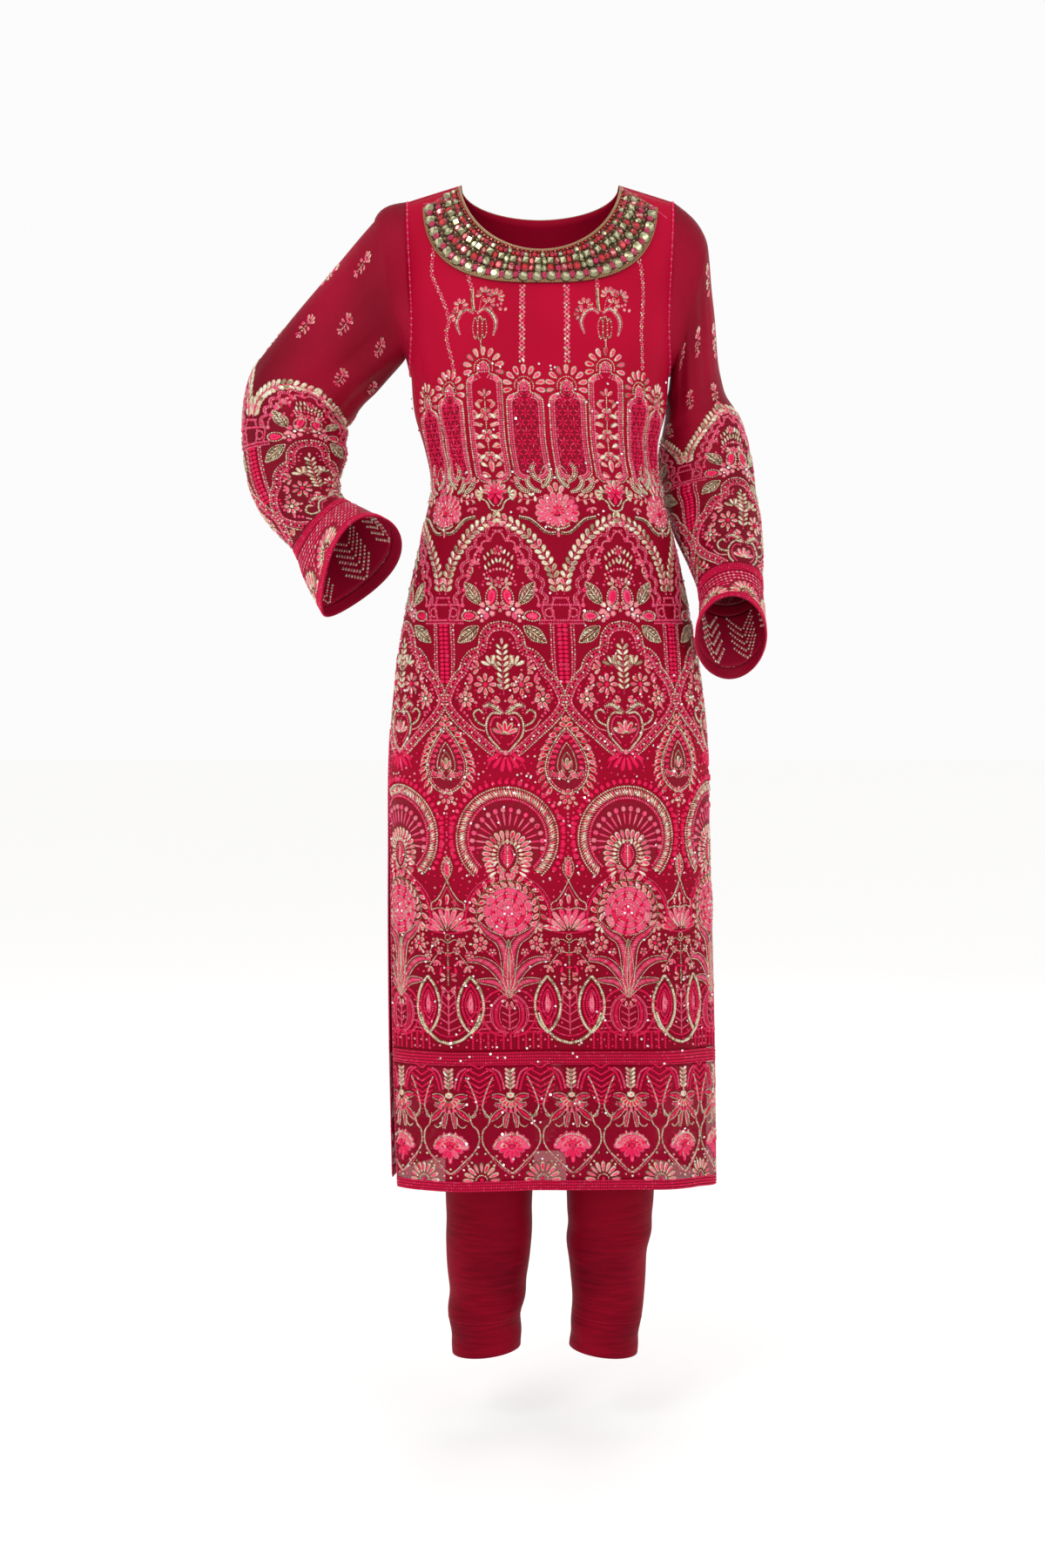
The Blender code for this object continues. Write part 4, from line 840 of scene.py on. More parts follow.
# ---------------------------------------------------------------- trousers
# Narrow straight trousers of dark crimson slub silk: two legs joined at the middle seam, a hem
# turned up and stitched, and a gathered waistband that the kameez hides.
CROTCH = 0.69
HIP_FULL = 0.6
TROUSER_MIDDLE = 0.01
WAIST_TOP = 0.398
WAIST_WIDE = 0.036
WAIST_THICK = 0.003
GATHER = 0.0012           # how far the waistband's gathers sink
LEG_HEM = 1.41
LEG_HEM_SLANT = 0.0095
LEG_WRINKLES = 0.0014
LEG_WAVE = 78.0
LEG_RIGHT = (
    # height, middle across and deep, half width, half depth
    (-1.41, -0.065, 0.0, 0.042, 0.046), (-1.3657, -0.066, 0.0, 0.0445, 0.049),
    (-1.3, -0.062, 0.0, 0.05, 0.055), (-1.2249, -0.0618, 0.0, 0.0527, 0.059),
    (-1.1, -0.06, 0.0, 0.056, 0.064), (-0.93, -0.063, 0.0, 0.0635, 0.074),
    (-0.78, -0.069, -0.002, 0.076, 0.082), (-0.69, -0.0723, -0.003, 0.082, 0.088),
)
LEG_LEFT = (
    (-1.41, 0.0783, 0.0, 0.042, 0.046),
    (-1.3657, 0.0823, 0.0, 0.042, 0.048),
    (-1.3, 0.0832, 0.0, 0.0478, 0.054),
    (-1.2249, 0.0862, 0.0, 0.0527, 0.059),
    (-1.1, 0.085, 0.0, 0.056, 0.064),
    (-0.93, 0.085, 0.0, 0.0635, 0.074),
    (-0.78, 0.089, 0.0, 0.076, 0.084),
    (-0.69, 0.0923, 0.0, 0.082, 0.09),
)
HIPS = (
    # height, half width, depth in front and behind
    (-0.69, 0.164, 0.092, 0.09), (-0.6, 0.168, 0.096, 0.1105), (-0.52, 0.158, 0.094, 0.098),
    (-0.434, 0.139, 0.086, 0.078), (-0.398, 0.133, 0.084, 0.074),
)
# wrinkles of each leg: turn and height where it starts and ends, half width, depth
WRINKLES = {
    "right": ((0.1, -1.215, 0.42, -1.228, 0.006, 0.001), (0.16, -1.246, 0.4, -1.239, 0.005, 0.0009),
              (0.08, -1.268, 0.34, -1.276, 0.006, 0.0011), (0.2, -1.3, 0.44, -1.293, 0.005, 0.0009),
              (0.1, -1.322, 0.36, -1.33, 0.005, 0.001), (0.16, -1.352, 0.4, -1.346, 0.005, 0.0007),
              (0.56, -1.24, 0.86, -1.252, 0.006, 0.0011), (0.6, -1.29, 0.9, -1.28, 0.006, 0.001),
              (0.55, -1.328, 0.84, -1.336, 0.005, 0.0009)),
    "left": ((0.12, -1.222, 0.4, -1.214, 0.006, 0.0009), (0.08, -1.252, 0.34, -1.26, 0.005, 0.001),
             (0.18, -1.284, 0.42, -1.278, 0.006, 0.001), (0.1, -1.312, 0.36, -1.32, 0.005, 0.0009),
             (0.14, -1.344, 0.38, -1.338, 0.005, 0.0008), (0.58, -1.236, 0.88, -1.246, 0.006, 0.0011),
             (0.62, -1.282, 0.92, -1.274, 0.006, 0.001), (0.56, -1.322, 0.86, -1.33, 0.005, 0.0009)),
}
silk = woven_finish("trouser_silk", (0.04, 0.0006, 0.004), (0.245, 0.002, 0.015), 0.55, thread=0.0008,
    slub=0.95, slub_length=0.045, slub_width=0.004, bump=0.6, Specular_IOR_Level=0.03)


def leg_ring(rings, z, turn, side):
    """Points of a closed leg ring, in turns from the inseam by way of the front."""
    mid_x, mid_y, half, deep = map(float, smooth(sorted(rings), z))
    angle = turn * 2 * math.pi
    lift = float(ease((-1.3 - z) / 0.1)) * LEG_HEM_SLANT
    ripple = LEG_WRINKLES * float(ease((-1.22 - z) / 0.05)) * float(ease((z + LEG_HEM - 0.004) / 0.02))
    wave = z * LEG_WAVE + 1.1 * math.sin(z * 41 + side) + 1.6 * np.sin(angle + 0.6 * side)
    swell = 1 + ripple / 0.045 * np.sin(wave)
    x = mid_x - side * half * np.cos(angle) * swell
    y = mid_y - deep * np.sin(angle) * swell
    return np.stack((x, y, z + lift * (0.5 + 0.5 * np.cos(angle))), -1)


def hip_ring(z, turn, side):
    """Points of half of the trousers' body, from the front seam round the side to the back seam."""
    half, deep_front, deep_back = map(float, smooth(sorted(HIPS), z))
    angle = turn * math.pi
    deep = np.where(np.cos(angle) > 0, deep_front, deep_back)
    x = TROUSER_MIDDLE + side * (SEAM / 2 + half * np.sin(angle) ** 0.92)
    return np.stack((x, -deep * np.cos(angle), np.full_like(x, z)), -1)


def trouser_leg(word, side, rings):
    """One leg of the trousers with its half of the body, its wrinkles and its pressed side crease."""
    turn = np.linspace(0, 1, 97)
    heights = np.concatenate((np.linspace(WAIST_TOP + WAIST_WIDE + SEAM, CROTCH, 34),
        np.linspace(CROTCH + 0.008, 1.19, 50), np.linspace(1.194, LEG_HEM, 60)))
    rows, flat = [], []
    for height in heights:
        z = -height
        opened = float(ease((CROTCH - height) / (CROTCH - HIP_FULL)) ** 0.6)
        ring = leg_ring(rings, z if z < -CROTCH else -CROTCH, turn, side)
        ring[:, 2] += 0.0 if z <= -CROTCH else z + CROTCH
        if opened > 0:
            ring = ring * (1 - opened) + hip_ring(z, np.clip(turn, 1e-6, 1 - 1e-6), side) * opened
        else:
            ring[-1] = ring[0]
        rows.append(ring)
        run = run_of(ring)
        flat.append(np.stack((run - run[-1] / 2, np.full_like(run, -height)), -1))
    rows, flat = np.array(rows), np.array(flat)
    outward = rows - rows.mean(axis=1, keepdims=True)
    outward[..., 2] = 0.0
    outward = unit(outward)
    for turn0, z0, turn1, z1, wide, deep in WRINKLES[word]:
        gap = np.abs(rows[..., 2] - (z0 + (z1 - z0) * np.clip((turn - turn0) / (turn1 - turn0), 0, 1)))
        reach = ease((turn - turn0) / 0.1) * ease((turn1 - turn) / 0.1)
        rows -= outward * (deep * np.exp(-(gap / wide) ** 2) * reach)[..., None]
    return cloth_sheet(f"trousers_{word}", rows, flat, outward, silk, CLOTH)


trouser_pieces = {}
for word, side, rings in (("right", -1, LEG_RIGHT), ("left", 1, LEG_LEFT)):
    piece = trouser_leg(word, side, rings)
    dress(piece, f"trouser_leg_{word}", "trouser_cloth")
    trouser_pieces[word] = piece

turn = np.linspace(0, 2, 241)
rows = []
for share in np.linspace(0, 1, 10):
    height = WAIST_TOP + WAIST_WIDE * share
    ring = np.array([hip_ring(-height, np.array([min(t, 2 - t)]), 1 if t <= 1 else -1)[0] for t in turn])
    ring[-1] = ring[0]
    away = unit(ring - np.array((TROUSER_MIDDLE, 0.0, -height)))
    gathers = 0.5 + 0.5 * np.sin(turn * math.pi * 60 + 1.7 * np.sin(turn * 9))
    rolled = math.sin(math.pi * (0.08 + 0.84 * share))
    rows.append(ring + away * (0.0008 - GATHER * gathers * rolled)[:, None])
rows = np.array(rows)
middle = np.array((TROUSER_MIDDLE, 0.0, -(WAIST_TOP + WAIST_WIDE / 2)))
run = run_of(rows[0])
flat = np.stack(np.broadcast_arrays(run[None, :], -np.linspace(0, WAIST_WIDE, 10)[:, None]), -1)
waistband = cloth_sheet("trouser_waistband_cloth", rows, flat, rows - middle, silk, WAIST_THICK - GATHER,
    closed=True)
dress(waistband, "trouser_waistband", "trouser_cloth")

# ---------------------------------------------------------------- embroidery of the bust
# The front is stitched by machine: satin petals with a thread rim, ropes of short slanted stitches,
# knots and flat sequins, in rose, hot pink and bronze-gold. From the neck piece hang knotted lines,
# and a plant with a drooping bunch stands on each side.
GRAIN, PETAL, KNOT, SEQUIN, TILE = range(5)
ROSE, PALE, HOT, GOLD, DULL, SILVER, DARK_SATIN_AND_SHADE, BLUSH, BRIGHT = range(9)
STITCH_SINK = 0.35        # how far a stitch's foot goes into the cloth, in millimetres
CORD_FULL = 1.3           # how much fuller a cord is than its named width
SET_OVER_AT, SET_OVER = (300, 750, 1010), (4.5, 4.5, 1.5)   # the design sits a little aside


def thread_finish(name, colour, roughness, metal=0.0, uneven_and_painted_sparkle=0.3):
    """Twisted thread: its colour a little mottled and painted lighter and darker in fine specks for the
    sparkle of its twist, its surface broken up by the twist.
    """
    material, tree, shader = finish_named(name, colour, roughness, Metallic=metal,
        Specular_IOR_Level=0.5 if metal else 0.14)
    place = node(tree, "TexCoord").outputs["Object"]
    twist = node(tree, "TexNoise", None, {"Vector": place, "Scale": 900.0, "Detail": 2.0})
    # painted highlight and shade: the fine noise lightens and darkens the thread's colour in specks for its
    # sparkle
    ramp = node(tree, "ValToRGB", None, {"Fac": twist.outputs["Fac"]})
    ramp.color_ramp.elements[0].position, ramp.color_ramp.elements[1].position = 0.32, 0.68
    ramp.color_ramp.elements[0].color = (*(part * (1 - uneven_and_painted_sparkle) for part in colour), 1)
    ramp.color_ramp.elements[1].color = (*(min(part * (1 + 0.5 * uneven_and_painted_sparkle), 1) for part in colour), 1)
    tree.links.new(ramp.outputs["Color"], shader.inputs["Base Color"])
    lump = node(tree, "Bump", None, {"Strength": 0.35, "Distance": 0.0003, "Height": twist.outputs["Fac"]})
    tree.links.new(lump.outputs["Normal"], shader.inputs["Normal"])
    return material


threads = (
    thread_finish("rose_thread", (0.86, 0.08, 0.195), 0.42),
    thread_finish("pale_rose_thread", (0.86, 0.3, 0.31), 0.4, 0.1),
    thread_finish("hot_pink_thread", (0.8, 0.007, 0.085), 0.45),
    thread_finish("gold_tilla_thread", (0.9, 0.68, 0.44), 0.3, 0.3, 0.6),
    thread_finish("dull_gold_thread", (0.36, 0.235, 0.135), 0.36, 0.4, 0.6),
    finish_named("sequin_silver", (0.9, 0.89, 0.9), 0.12, Metallic=1.0)[0],
    thread_finish("dark_satin_and_shade_thread", (0.255, 0.0008, 0.016), 0.6),
    thread_finish("blush_thread", (0.8, 0.19, 0.26), 0.35, 0.15),
    thread_finish("bright_tilla_thread", (0.93, 0.8, 0.62), 0.25, 0.45, 0.4),
)
# Twisted thread catches the light unevenly: the share of a thread's stitches that look like another.
GLINTS = ((GOLD, DULL, 0.2), (GOLD, BRIGHT, 0.25), (ROSE, BLUSH, 0.14), (ROSE, HOT, 0.12),
    (PALE, BRIGHT, 0.12), (PALE, ROSE, 0.15), (DULL, GOLD, 0.15), (HOT, ROSE, 0.08))
glint = np.random.default_rng(3)
laid_on_front = []


def stitch_shape(sides, top_long, top_wide, turned=0.0, flat=False):
    """One stitch a unit long, wide and high: its corners, its triangles, and which are its heart."""
    form = bmesh.new()
    bmesh.ops.create_circle(form, cap_ends=True, radius=0.5, segments=sides)
    bmesh.ops.rotate(form, verts=form.verts, cent=(0, 0, 0), matrix=Matrix.Rotation(turned, 3, "Z"))
    if not flat:
        raised = bmesh.ops.extrude_face_region(form, geom=list(form.faces))["geom"]
        top = [part for part in raised if isinstance(part, bmesh.types.BMVert)]
        bmesh.ops.scale(form, verts=top, vec=(top_long, top_wide, 1))
        bmesh.ops.translate(form, verts=top, vec=(0, 0, 1))
    bmesh.ops.triangulate(form, faces=form.faces)
    corners = np.array([corner.co for corner in form.verts])
    faces = np.array([[corner.index for corner in face.verts] for face in form.faces])
    form.free()
    a, b, c = (corners[faces[:, k]] for k in range(3))
    up = np.cross(b - a, c - a)
    if flat:
        corners[:, 2] = 0.35 + 0.5 * corners[:, 0] if sides > 4 else 0.3
        faces[up[:, 2] < 0] = faces[up[:, 2] < 0][:, ::-1]
        return corners, faces, np.ones(len(faces), bool)
    outward = (up * ((a + b + c) / 3 - (0, 0, 0.4))).sum(1) < 0
    faces[outward] = faces[outward][:, ::-1]
    heart = corners[faces][:, :, 2].min(1) > 0.9
    return corners, faces, heart


stitch_shapes = {
    GRAIN: stitch_shape(4, 0.6, 0.45),
    PETAL: stitch_shape(8, 0.62, 0.55),
    KNOT: stitch_shape(6, 0.62, 0.62),
    SEQUIN: stitch_shape(6, 1.0, 1.0, flat=True),
    TILE: stitch_shape(4, 1.0, 1.0, math.pi / 4, flat=True),
}
corners = stitch_shapes[PETAL][0]
corners[:, 1] *= 0.86 + 0.6 * corners[:, 0]   # a petal narrows towards its foot


def stitched(shape, thread, u, v, turn, long, wide, high=0.9, heart=None):
    """Rows of stitches: shape, thread, heart, across, down, turn, length, width, height."""
    parts = (shape, thread, thread if heart is None else heart, u, v, turn, long, wide, high)
    rows = np.broadcast_arrays(*(np.asarray(part, float) for part in parts))
    return np.stack([row.ravel() for row in rows], -1)


def curve(points, step=3.2):
    """Even places along a smooth line through a few points, with the direction at each."""
    p = np.array(points, float)
    ends = np.concatenate((2 * p[:1] - p[1:2], p, 2 * p[-1:] - p[-2:-1]))
    t = np.linspace(0, 1, 12, endpoint=False)[:, None]
    fine = [0.5 * (2 * b + (c - a) * t + (2 * a - 5 * b + 4 * c - d) * t ** 2
                   + (3 * b - a - 3 * c + d) * t ** 3)
            for a, b, c, d in zip(ends, ends[1:], ends[2:], ends[3:])]
    fine = np.concatenate(fine + [p[-1:]])
    run = run_of(fine)
    at = (np.arange(max(round(run[-1] / step), 1)) + 0.5) * run[-1] / max(round(run[-1] / step), 1)
    place = lambda where: np.array([np.interp(where, run, fine[:, k]) for k in (0, 1)])
    ahead = place(at + 0.4) - place(at - 0.4)
    return (*place(at), np.arctan2(ahead[1], ahead[0]))


def ring(u, v, across, first=0.0, last=360.0, step=3.2, down=None):
    """Even places round part of a circle or an oval, clockwise from the right."""
    down = across if down is None else down
    count = max(round(math.radians(abs(last - first)) * (across + down) / 2 / step), 1)
    angle = np.radians(first + (np.arange(count) + 0.5) / count * (last - first))
    turn = np.arctan2(np.cos(angle) * down, -np.sin(angle) * across) + (math.pi if last < first else 0)
    return u + across * np.cos(angle), v + down * np.sin(angle), turn


def rope(line, thread, wide=1.7, long=3.7, slant=0.35, aside=0.0, high=0.9, shape=GRAIN, heart=None):
    """A cord of short stitches along a line; several threads take turns."""
    u, v, turn = line
    thread = np.resize(thread, len(u))
    return stitched(shape, thread, u - np.sin(turn) * aside, v + np.cos(turn) * aside, turn + slant,
                    long * 1.1, wide * CORD_FULL, high, heart)


def cord(points, step, *look, **more):
    """A rope of stitches on a smooth line through a few points."""
    return rope(curve(points, step), *look, **more)


def knots(line, thread, wide=3.0, aside=0.0, high=1.3):
    return rope(line, thread, wide, wide, 0.0, aside, high, KNOT)


def dots(points, step, *look, **more):
    return knots(curve(points, step), *look, **more)


def motif(*parts):
    """Several rows of stitches as one."""
    return np.concatenate(parts)


def leafy(line, long, wide, thread=GOLD, heart=ROSE, open=0.8, sides=(-1, 1)):
    """Leaves in pairs along a line."""
    u, v, turn = line
    return np.concatenate([stitched(PETAL, thread, u + np.cos(turn + side * open) * long / 2,
                                    v + np.sin(turn + side * open) * long / 2, turn + side * open,
                                    long, wide, 1.1, heart) for side in sides])


def fan(u, v, inner, outer, first, last, count, wide, thread=GOLD, heart=ROSE, shape=PETAL, high=1.1,
        flat=1.0):
    """Petals spread round a point, from one angle to another."""
    turn = np.radians(np.linspace(first, last, count))
    middle = (inner + outer) / 2
    return stitched(shape, thread, u + np.cos(turn) * middle, v + np.sin(turn) * middle * flat, turn,
                    outer - inner, wide, high, heart)


def bloom(u, v, radius, count, thread=GOLD, heart=ROSE, core=HOT, wide=None):
    """A flower seen from above: petals all round and a knot."""
    wide = radius * 4.2 / count if wide is None else wide
    return motif(fan(u, v, radius * 0.25, radius, 18, 378 - 360 / count, count, wide, thread, heart),
                           stitched(KNOT, core, u, v, 0.0, radius * 0.55, radius * 0.55, 1.6))


def blade(points, wide, fill=ROSE, edge=GOLD, step=2.2):
    """A pointed leaf laid in satin stitch across its width, with a thread edge."""
    u, v, turn = line = curve(points, step)
    t = (np.arange(len(u)) + 0.5) / len(u)
    full = wide * np.sin(math.pi * (0.06 + 0.88 * t)) ** 0.8
    return motif(stitched(GRAIN, fill, u, v, turn + 1.1, full * 1.25, 2.6, 0.9),
                           rope(line, edge, 1.2, 3.0, 0.1, full / 2 + 0.3, 1.0),
                           rope(line, edge, 1.2, 3.0, -0.1, -full / 2 - 0.3, 1.0))


def filled(inside, half, top, bottom):
    """Flat dark tiles behind a motif, wherever the given test holds: a satin ground under the nets, and
    painted shade inside the circles and teardrops.
    """
    u, v = (grid.ravel()
        for grid in np.meshgrid(np.arange(-half, half + 1, 5.2), np.arange(top, bottom, 5.2)))
    kept = inside(u, v)
    return stitched(TILE, DARK_SATIN_AND_SHADE, u[kept], v[kept], 0.0, 7.6, 7.6)


def both(*parts, axis=0.0):
    """The stitches and the same ones mirrored about an upright axis."""
    rows = np.concatenate(parts)
    other = rows.copy()
    other[:, 3], other[:, 5] = 2 * axis - rows[:, 3], math.pi - rows[:, 5]
    return np.concatenate((rows, other))


def sown(rows, columns, v=0.0):
    """The same motif at several places across."""
    return np.concatenate([rows + np.array((0, 0, 0, u, v, 0, 0, 0, 0)) for u in columns])


def sew(name, motifs, cloth=front, rise=0.0, inward=False):
    """One mesh of all the stitches of a band, laid on its cloth, or on the cloth's inside."""
    rows = np.concatenate(motifs)
    if isinstance(cloth, Panel):
        rows[:, 3] += np.interp(rows[:, 4], SET_OVER_AT, SET_OVER) * (cloth is front)
        if cloth is front:
            laid_on_front.append(rows)
        edge = cloth.run_at(rows[:, 4] * 0.001 / CAP) * 1000 - 3.0 - rows[:, 6] / 2
        rows = rows[np.abs(rows[:, 3]) < edge]
    u, v = rows[0, 3], rows[0, 4]
    spots = cloth.on(np.array([u, u + 1, u, u]), np.array([v, v, v + 1, v]), np.array([0, 0, 0, 1.0]))
    left_handed = np.dot(np.cross(spots[1] - spots[0], spots[2] - spots[0]), spots[3] - spots[0]) < 0
    left_handed, way = (not left_handed, -1) if inward else (left_handed, 1)
    for column in (1, 2):
        named, chance = rows[:, column].copy(), glint.uniform(0, 1, len(rows))
        for thread, other, share in GLINTS:
            rows[(named == thread) & (chance < share), column] = other
            chance = np.where(named == thread, chance - share, chance)
            named[(named == thread) & (chance < 0)] = -1
    places, faces, colours, soft, first = [], [], [], [], 0
    for shape, (corners, triangles, heart) in stitch_shapes.items():
        row = rows[rows[:, 0] == shape]
        x, y = corners[None, :, 0] * row[:, 6:7], corners[None, :, 1] * row[:, 7:8]
        cos, sin = np.cos(row[:, 5:6]), np.sin(row[:, 5:6])
        lift = np.where(corners[None, :, 2] > 0, corners[None, :, 2] * row[:, 8:9], -STITCH_SINK)
        places.append(cloth.on(row[:, 3:4] + x * cos - y * sin, row[:, 4:5] + x * sin + y * cos,
            lift * way + rise).reshape(-1, 3))
        faces.append((first + np.arange(len(row))[:, None, None] * len(corners) + triangles).reshape(-1, 3))
        colours.append(np.where(heart[None, :], row[:, 2:3], row[:, 1:2]).ravel())
        soft.append(np.full(len(faces[-1]), shape not in (SEQUIN, TILE)))
        first += len(row) * len(corners)
    faces = np.concatenate(faces)
    mesh = bpy.data.meshes.new(name)
    mesh.from_pydata(np.concatenate(places), [], faces[:, ::-1] if left_handed else faces)
    piece = piece_named(name, mesh, *threads)
    mesh.polygons.foreach_set("material_index", np.concatenate(colours).astype(np.int32))
    mesh.polygons.foreach_set("use_smooth", np.concatenate(soft))
    mesh.update()
    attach(piece, "root")
    return piece


def knotted(points, wide=1.0):
    """A line of small rose and gold curls that sit a little to one side and the other."""
    line = curve(points, 2.6)
    count = len(line[0])
    sway = np.resize((1.6, 0.4, -1.5, -0.6), count) * wide
    lean = np.resize((0.9, -0.5, 0.7, -0.9, 0.2), count)
    return motif(rope(line, (PALE, ROSE, BLUSH, PALE, GOLD), 2.4 * wide, 3.4 * wide,
                                lean, sway, 1.0),
                           rope(line, (ROSE, PALE, BLUSH), 1.9 * wide, 3.0 * wide, -lean,
                                -sway, 1.0))


hanging = np.concatenate([rope(ring(x, 18, 2.8, -90, 270, 2.2, deep), (GOLD, DULL), 1.9, 2.6, 0.5)
    for x, deep in ((-2.0, 12), (3.4, 14), (8.4, 11))])
plant = motif(
    cord([(-5, -29), (-4.5, -15), (-3, -2)], 2.0, GOLD, 2.8, 3.0, 0.6),
    cord([(-5, -29), (-4.5, -15), (-3, -2)], 2.0, DULL, 1.6, 2.8, -0.3, 2.2),
    blade([(0, 1), (9, -5), (18, 2), (22, 13), (19, 27)], 4.8, GOLD, ROSE, 1.7),
    blade([(-4, 1), (-12, -4), (-20, 0), (-25, 11), (-21, 25)], 4.2, GOLD, ROSE, 1.7),
    cord([(1, 4), (-5, 12), (-5, 22), (-1, 30)], 2.0, ROSE, 1.8, 2.6, 0.3), hanging,
    cord([(4, 31), (4.5, 38), (5, 47)], 2.0, GOLD, 1.8, 2.8, 0.3),
    *[fan(u, v, 2.0, size + 1.5, first, first + 190, count, 5.6, high=1.4)
        for u, v, size, first, count in ((8, -22, 9, -190, 6), (22, -19, 9.5, -160, 6), (13, -10, 8, -130, 5),
            (-20, -9, 8.5, -200, 5), (-25, 2, 8, -230, 5))],
    *[cord([(2, -1), (u * 0.6, v * 0.75), (u, v)], 2.4, PALE, 1.4, 2.8, 0.2)
        for u, v in ((8, -20), (21, -17), (-18, -7))],
    dots([(24, -3), (30, -5), (36, -2)], 5.6, PALE, 4.2), dots([(22, -8), (30, -11)], 5.2, BLUSH, 3.6),
)
bust = [
    both(knotted([(25.5, 129), (25.8, 170), (26.0, 220)], 1.45)),
    knotted([(-131, 82), (-135, 114), (-121, 144), (-113, 170), (-117, 185), (-111, 212), (-106, 236)], 1.05),
    knotted([(108, 88), (116, 108), (119, 140), (117, 180), (121, 206), (122, 226)], 1.05),
    knotted([(-89, 110), (-88, 120), (-84, 134)], 1.1), knotted([(57, 108), (60, 118), (62, 134)], 1.1),
    sown(plant, (-78,), 162), sown(plant, (67,), 162),
    cord([(-146, 36), (-130, 39), (-117, 42)], 2.4, ROSE, 1.3, 3.0, 0.3),
    cord([(120, 43), (136, 47), (152, 53)], 2.4, ROSE, 1.3, 3.0, 0.3),
]
sew("embroidery_bust", bust)

# ---------------------------------------------------------------- embroidery of the niches
# A row of tall arched niches goes round the ribs: those by the middle and the sides hold a
# hexagonal net over bright satin, those between hold a gold spray. Each wears a crown of petals.
NICHE_HALF = (
    # across, down from the shoulder line to the foot of a niche of the given drop
    (0.0, -17.0), (3.0, -16.0), (6.5, -11.0), (6.5, -5.0), (9.0, -3.0), (14.0, -1.5), (19.0, 3.0),
    (20.5, 10.0),
)
PITCH = 142.0


def niche_outline(drop):
    """Half of a niche's edge, from the top of its cusp to the middle of its foot."""
    return list(NICHE_HALF) + [(20.5, drop * 0.5), (20.5, drop - 12), (18.5, drop - 5), (13, drop),
            (6, drop + 1)]


def niche(drop):
    """The cords of a niche: two pink ones inside a two-tone one."""
    line = curve(niche_outline(drop), 2.6)
    return both(
        rope(line, ROSE, 2.9, 3.6, 0.5, 2.4, 1.2), rope(line, (ROSE, BLUSH), 2.9, 3.6, -0.5, 5.0, 1.2),
        rope(line, (GOLD, PALE, GOLD), 2.4, 3.4, 0.4, -0.3, 1.3),
    )


def crown(v, radius, count=11, wide=8.0):
    return motif(
        fan(0, v, radius * 0.5, radius, -218, 38, count, wide, high=1.5),
        rope(ring(0, v, radius * 0.42, -200, 20, 2.4), GOLD, 1.5, 2.6, 0.4),
        fan(0, v, 1.5, radius * 0.36, -150, -30, 3, 3.2),
        cord([(-7, v + 3), (-3, v - 3), (0, v - 7), (3, v - 3), (7, v + 3)], 2.4, ROSE, 1.6, 2.8, 0.3),
    )


def net(half, top, bottom, side=7.4):
    """Satin ground with a net of hexagons, each with three spokes from its middle."""
    across, deep = side * math.sqrt(3), side * 1.5
    parts = [filled(lambda u, v: v < bottom - 1, half - 2.6, top + 2.6, bottom)]
    for row in range(int((bottom - top) / deep) + 1):
        v = top + row * deep
        for u in np.arange(-2, 3) * across + (row % 2) * across / 2:
            for angle in (-90, 30, 150):
                turn = math.radians(angle)
                for foot, way in (((0, 0), turn), ((0, -side), turn + 2 * math.pi / 3)):
                    middle = (u + foot[0] + math.cos(way) * side / 2, v + foot[1] + math.sin(way) * side / 2)
                    if abs(middle[0]) < half - 0.5 and top < middle[1] < bottom:
                        parts.append(stitched(GRAIN, HOT, *middle, way, side * 1.42, 2.7, 1.3))
    return np.concatenate(parts)


spray = motif(
    cord([(0, 258), (0, 300), (0, 342)], 2.8, GOLD, 1.2, 3.0, 0.2), fan(0, 258, 1, 9, -140, -40, 3, 4.4),
    fan(0, 262, 2, 9, -190, 10, 2, 3.6),
    *[sown(motif(bloom(0, 0, 7.4, 5), both(fan(8, 0, 0, long, first, last, 2, wide))), (0,), v)
        for v, long, first, last, wide in ((278, 8, -35, 40, 4.4), (302, 7, -20, 30, 4.2),
            (327, 8, -35, 40, 4.4))],
    both(sown(fan(3, 0, 0, 12, -8, -8, 1, 5.2), (0,), 290)),
    both(sown(fan(3, 0, 0, 12, -8, -8, 1, 5.2), (0,), 315)),
    stitched(PETAL, GOLD, 0, 337, -math.pi / 2, 13, 8.0, 1.3, ROSE),
    both(fan(2, 349, 0, 11, -28, -28, 1, 5.4, GOLD, HOT)), both(fan(2, 353, 0, 7, 10, 10, 1, 4.0)),
)
net_niche = motif(net(15.5, 262, 344), net(6.5, 249, 262), sown(niche(94.0), (0,), 258), crown(247, 26))
spray[:, 3] *= 1.15
spray[:, 6:8] *= 1.2
spray = motif(spray,
    *[both(stitched(PETAL, GOLD, 8.8, v, lean, 10.6, 6.4, 1.7, (BRIGHT if lean > 0 else PALE)))
        for v, lean in ((268, -0.9), (280, 0.5), (290, -0.5), (303, 0.5), (313, -0.5), (326, 0.5),
            (335, -0.5), (348, -0.4))])
spray_niche = motif(sown(niche(118.0), (0,), 236), crown(226, 26), spray)
narrow_net = net_niche.copy()
narrow_net[:, 3] *= 0.82
niches = [
    sown(net_niche, (-24.5, 24.5)), sown(spray_niche, (-71, 71)),
    sown(narrow_net, (-116, 116), 4), sown(net_niche, (-159, 159), 16),
]
sew("embroidery_niches", niches)

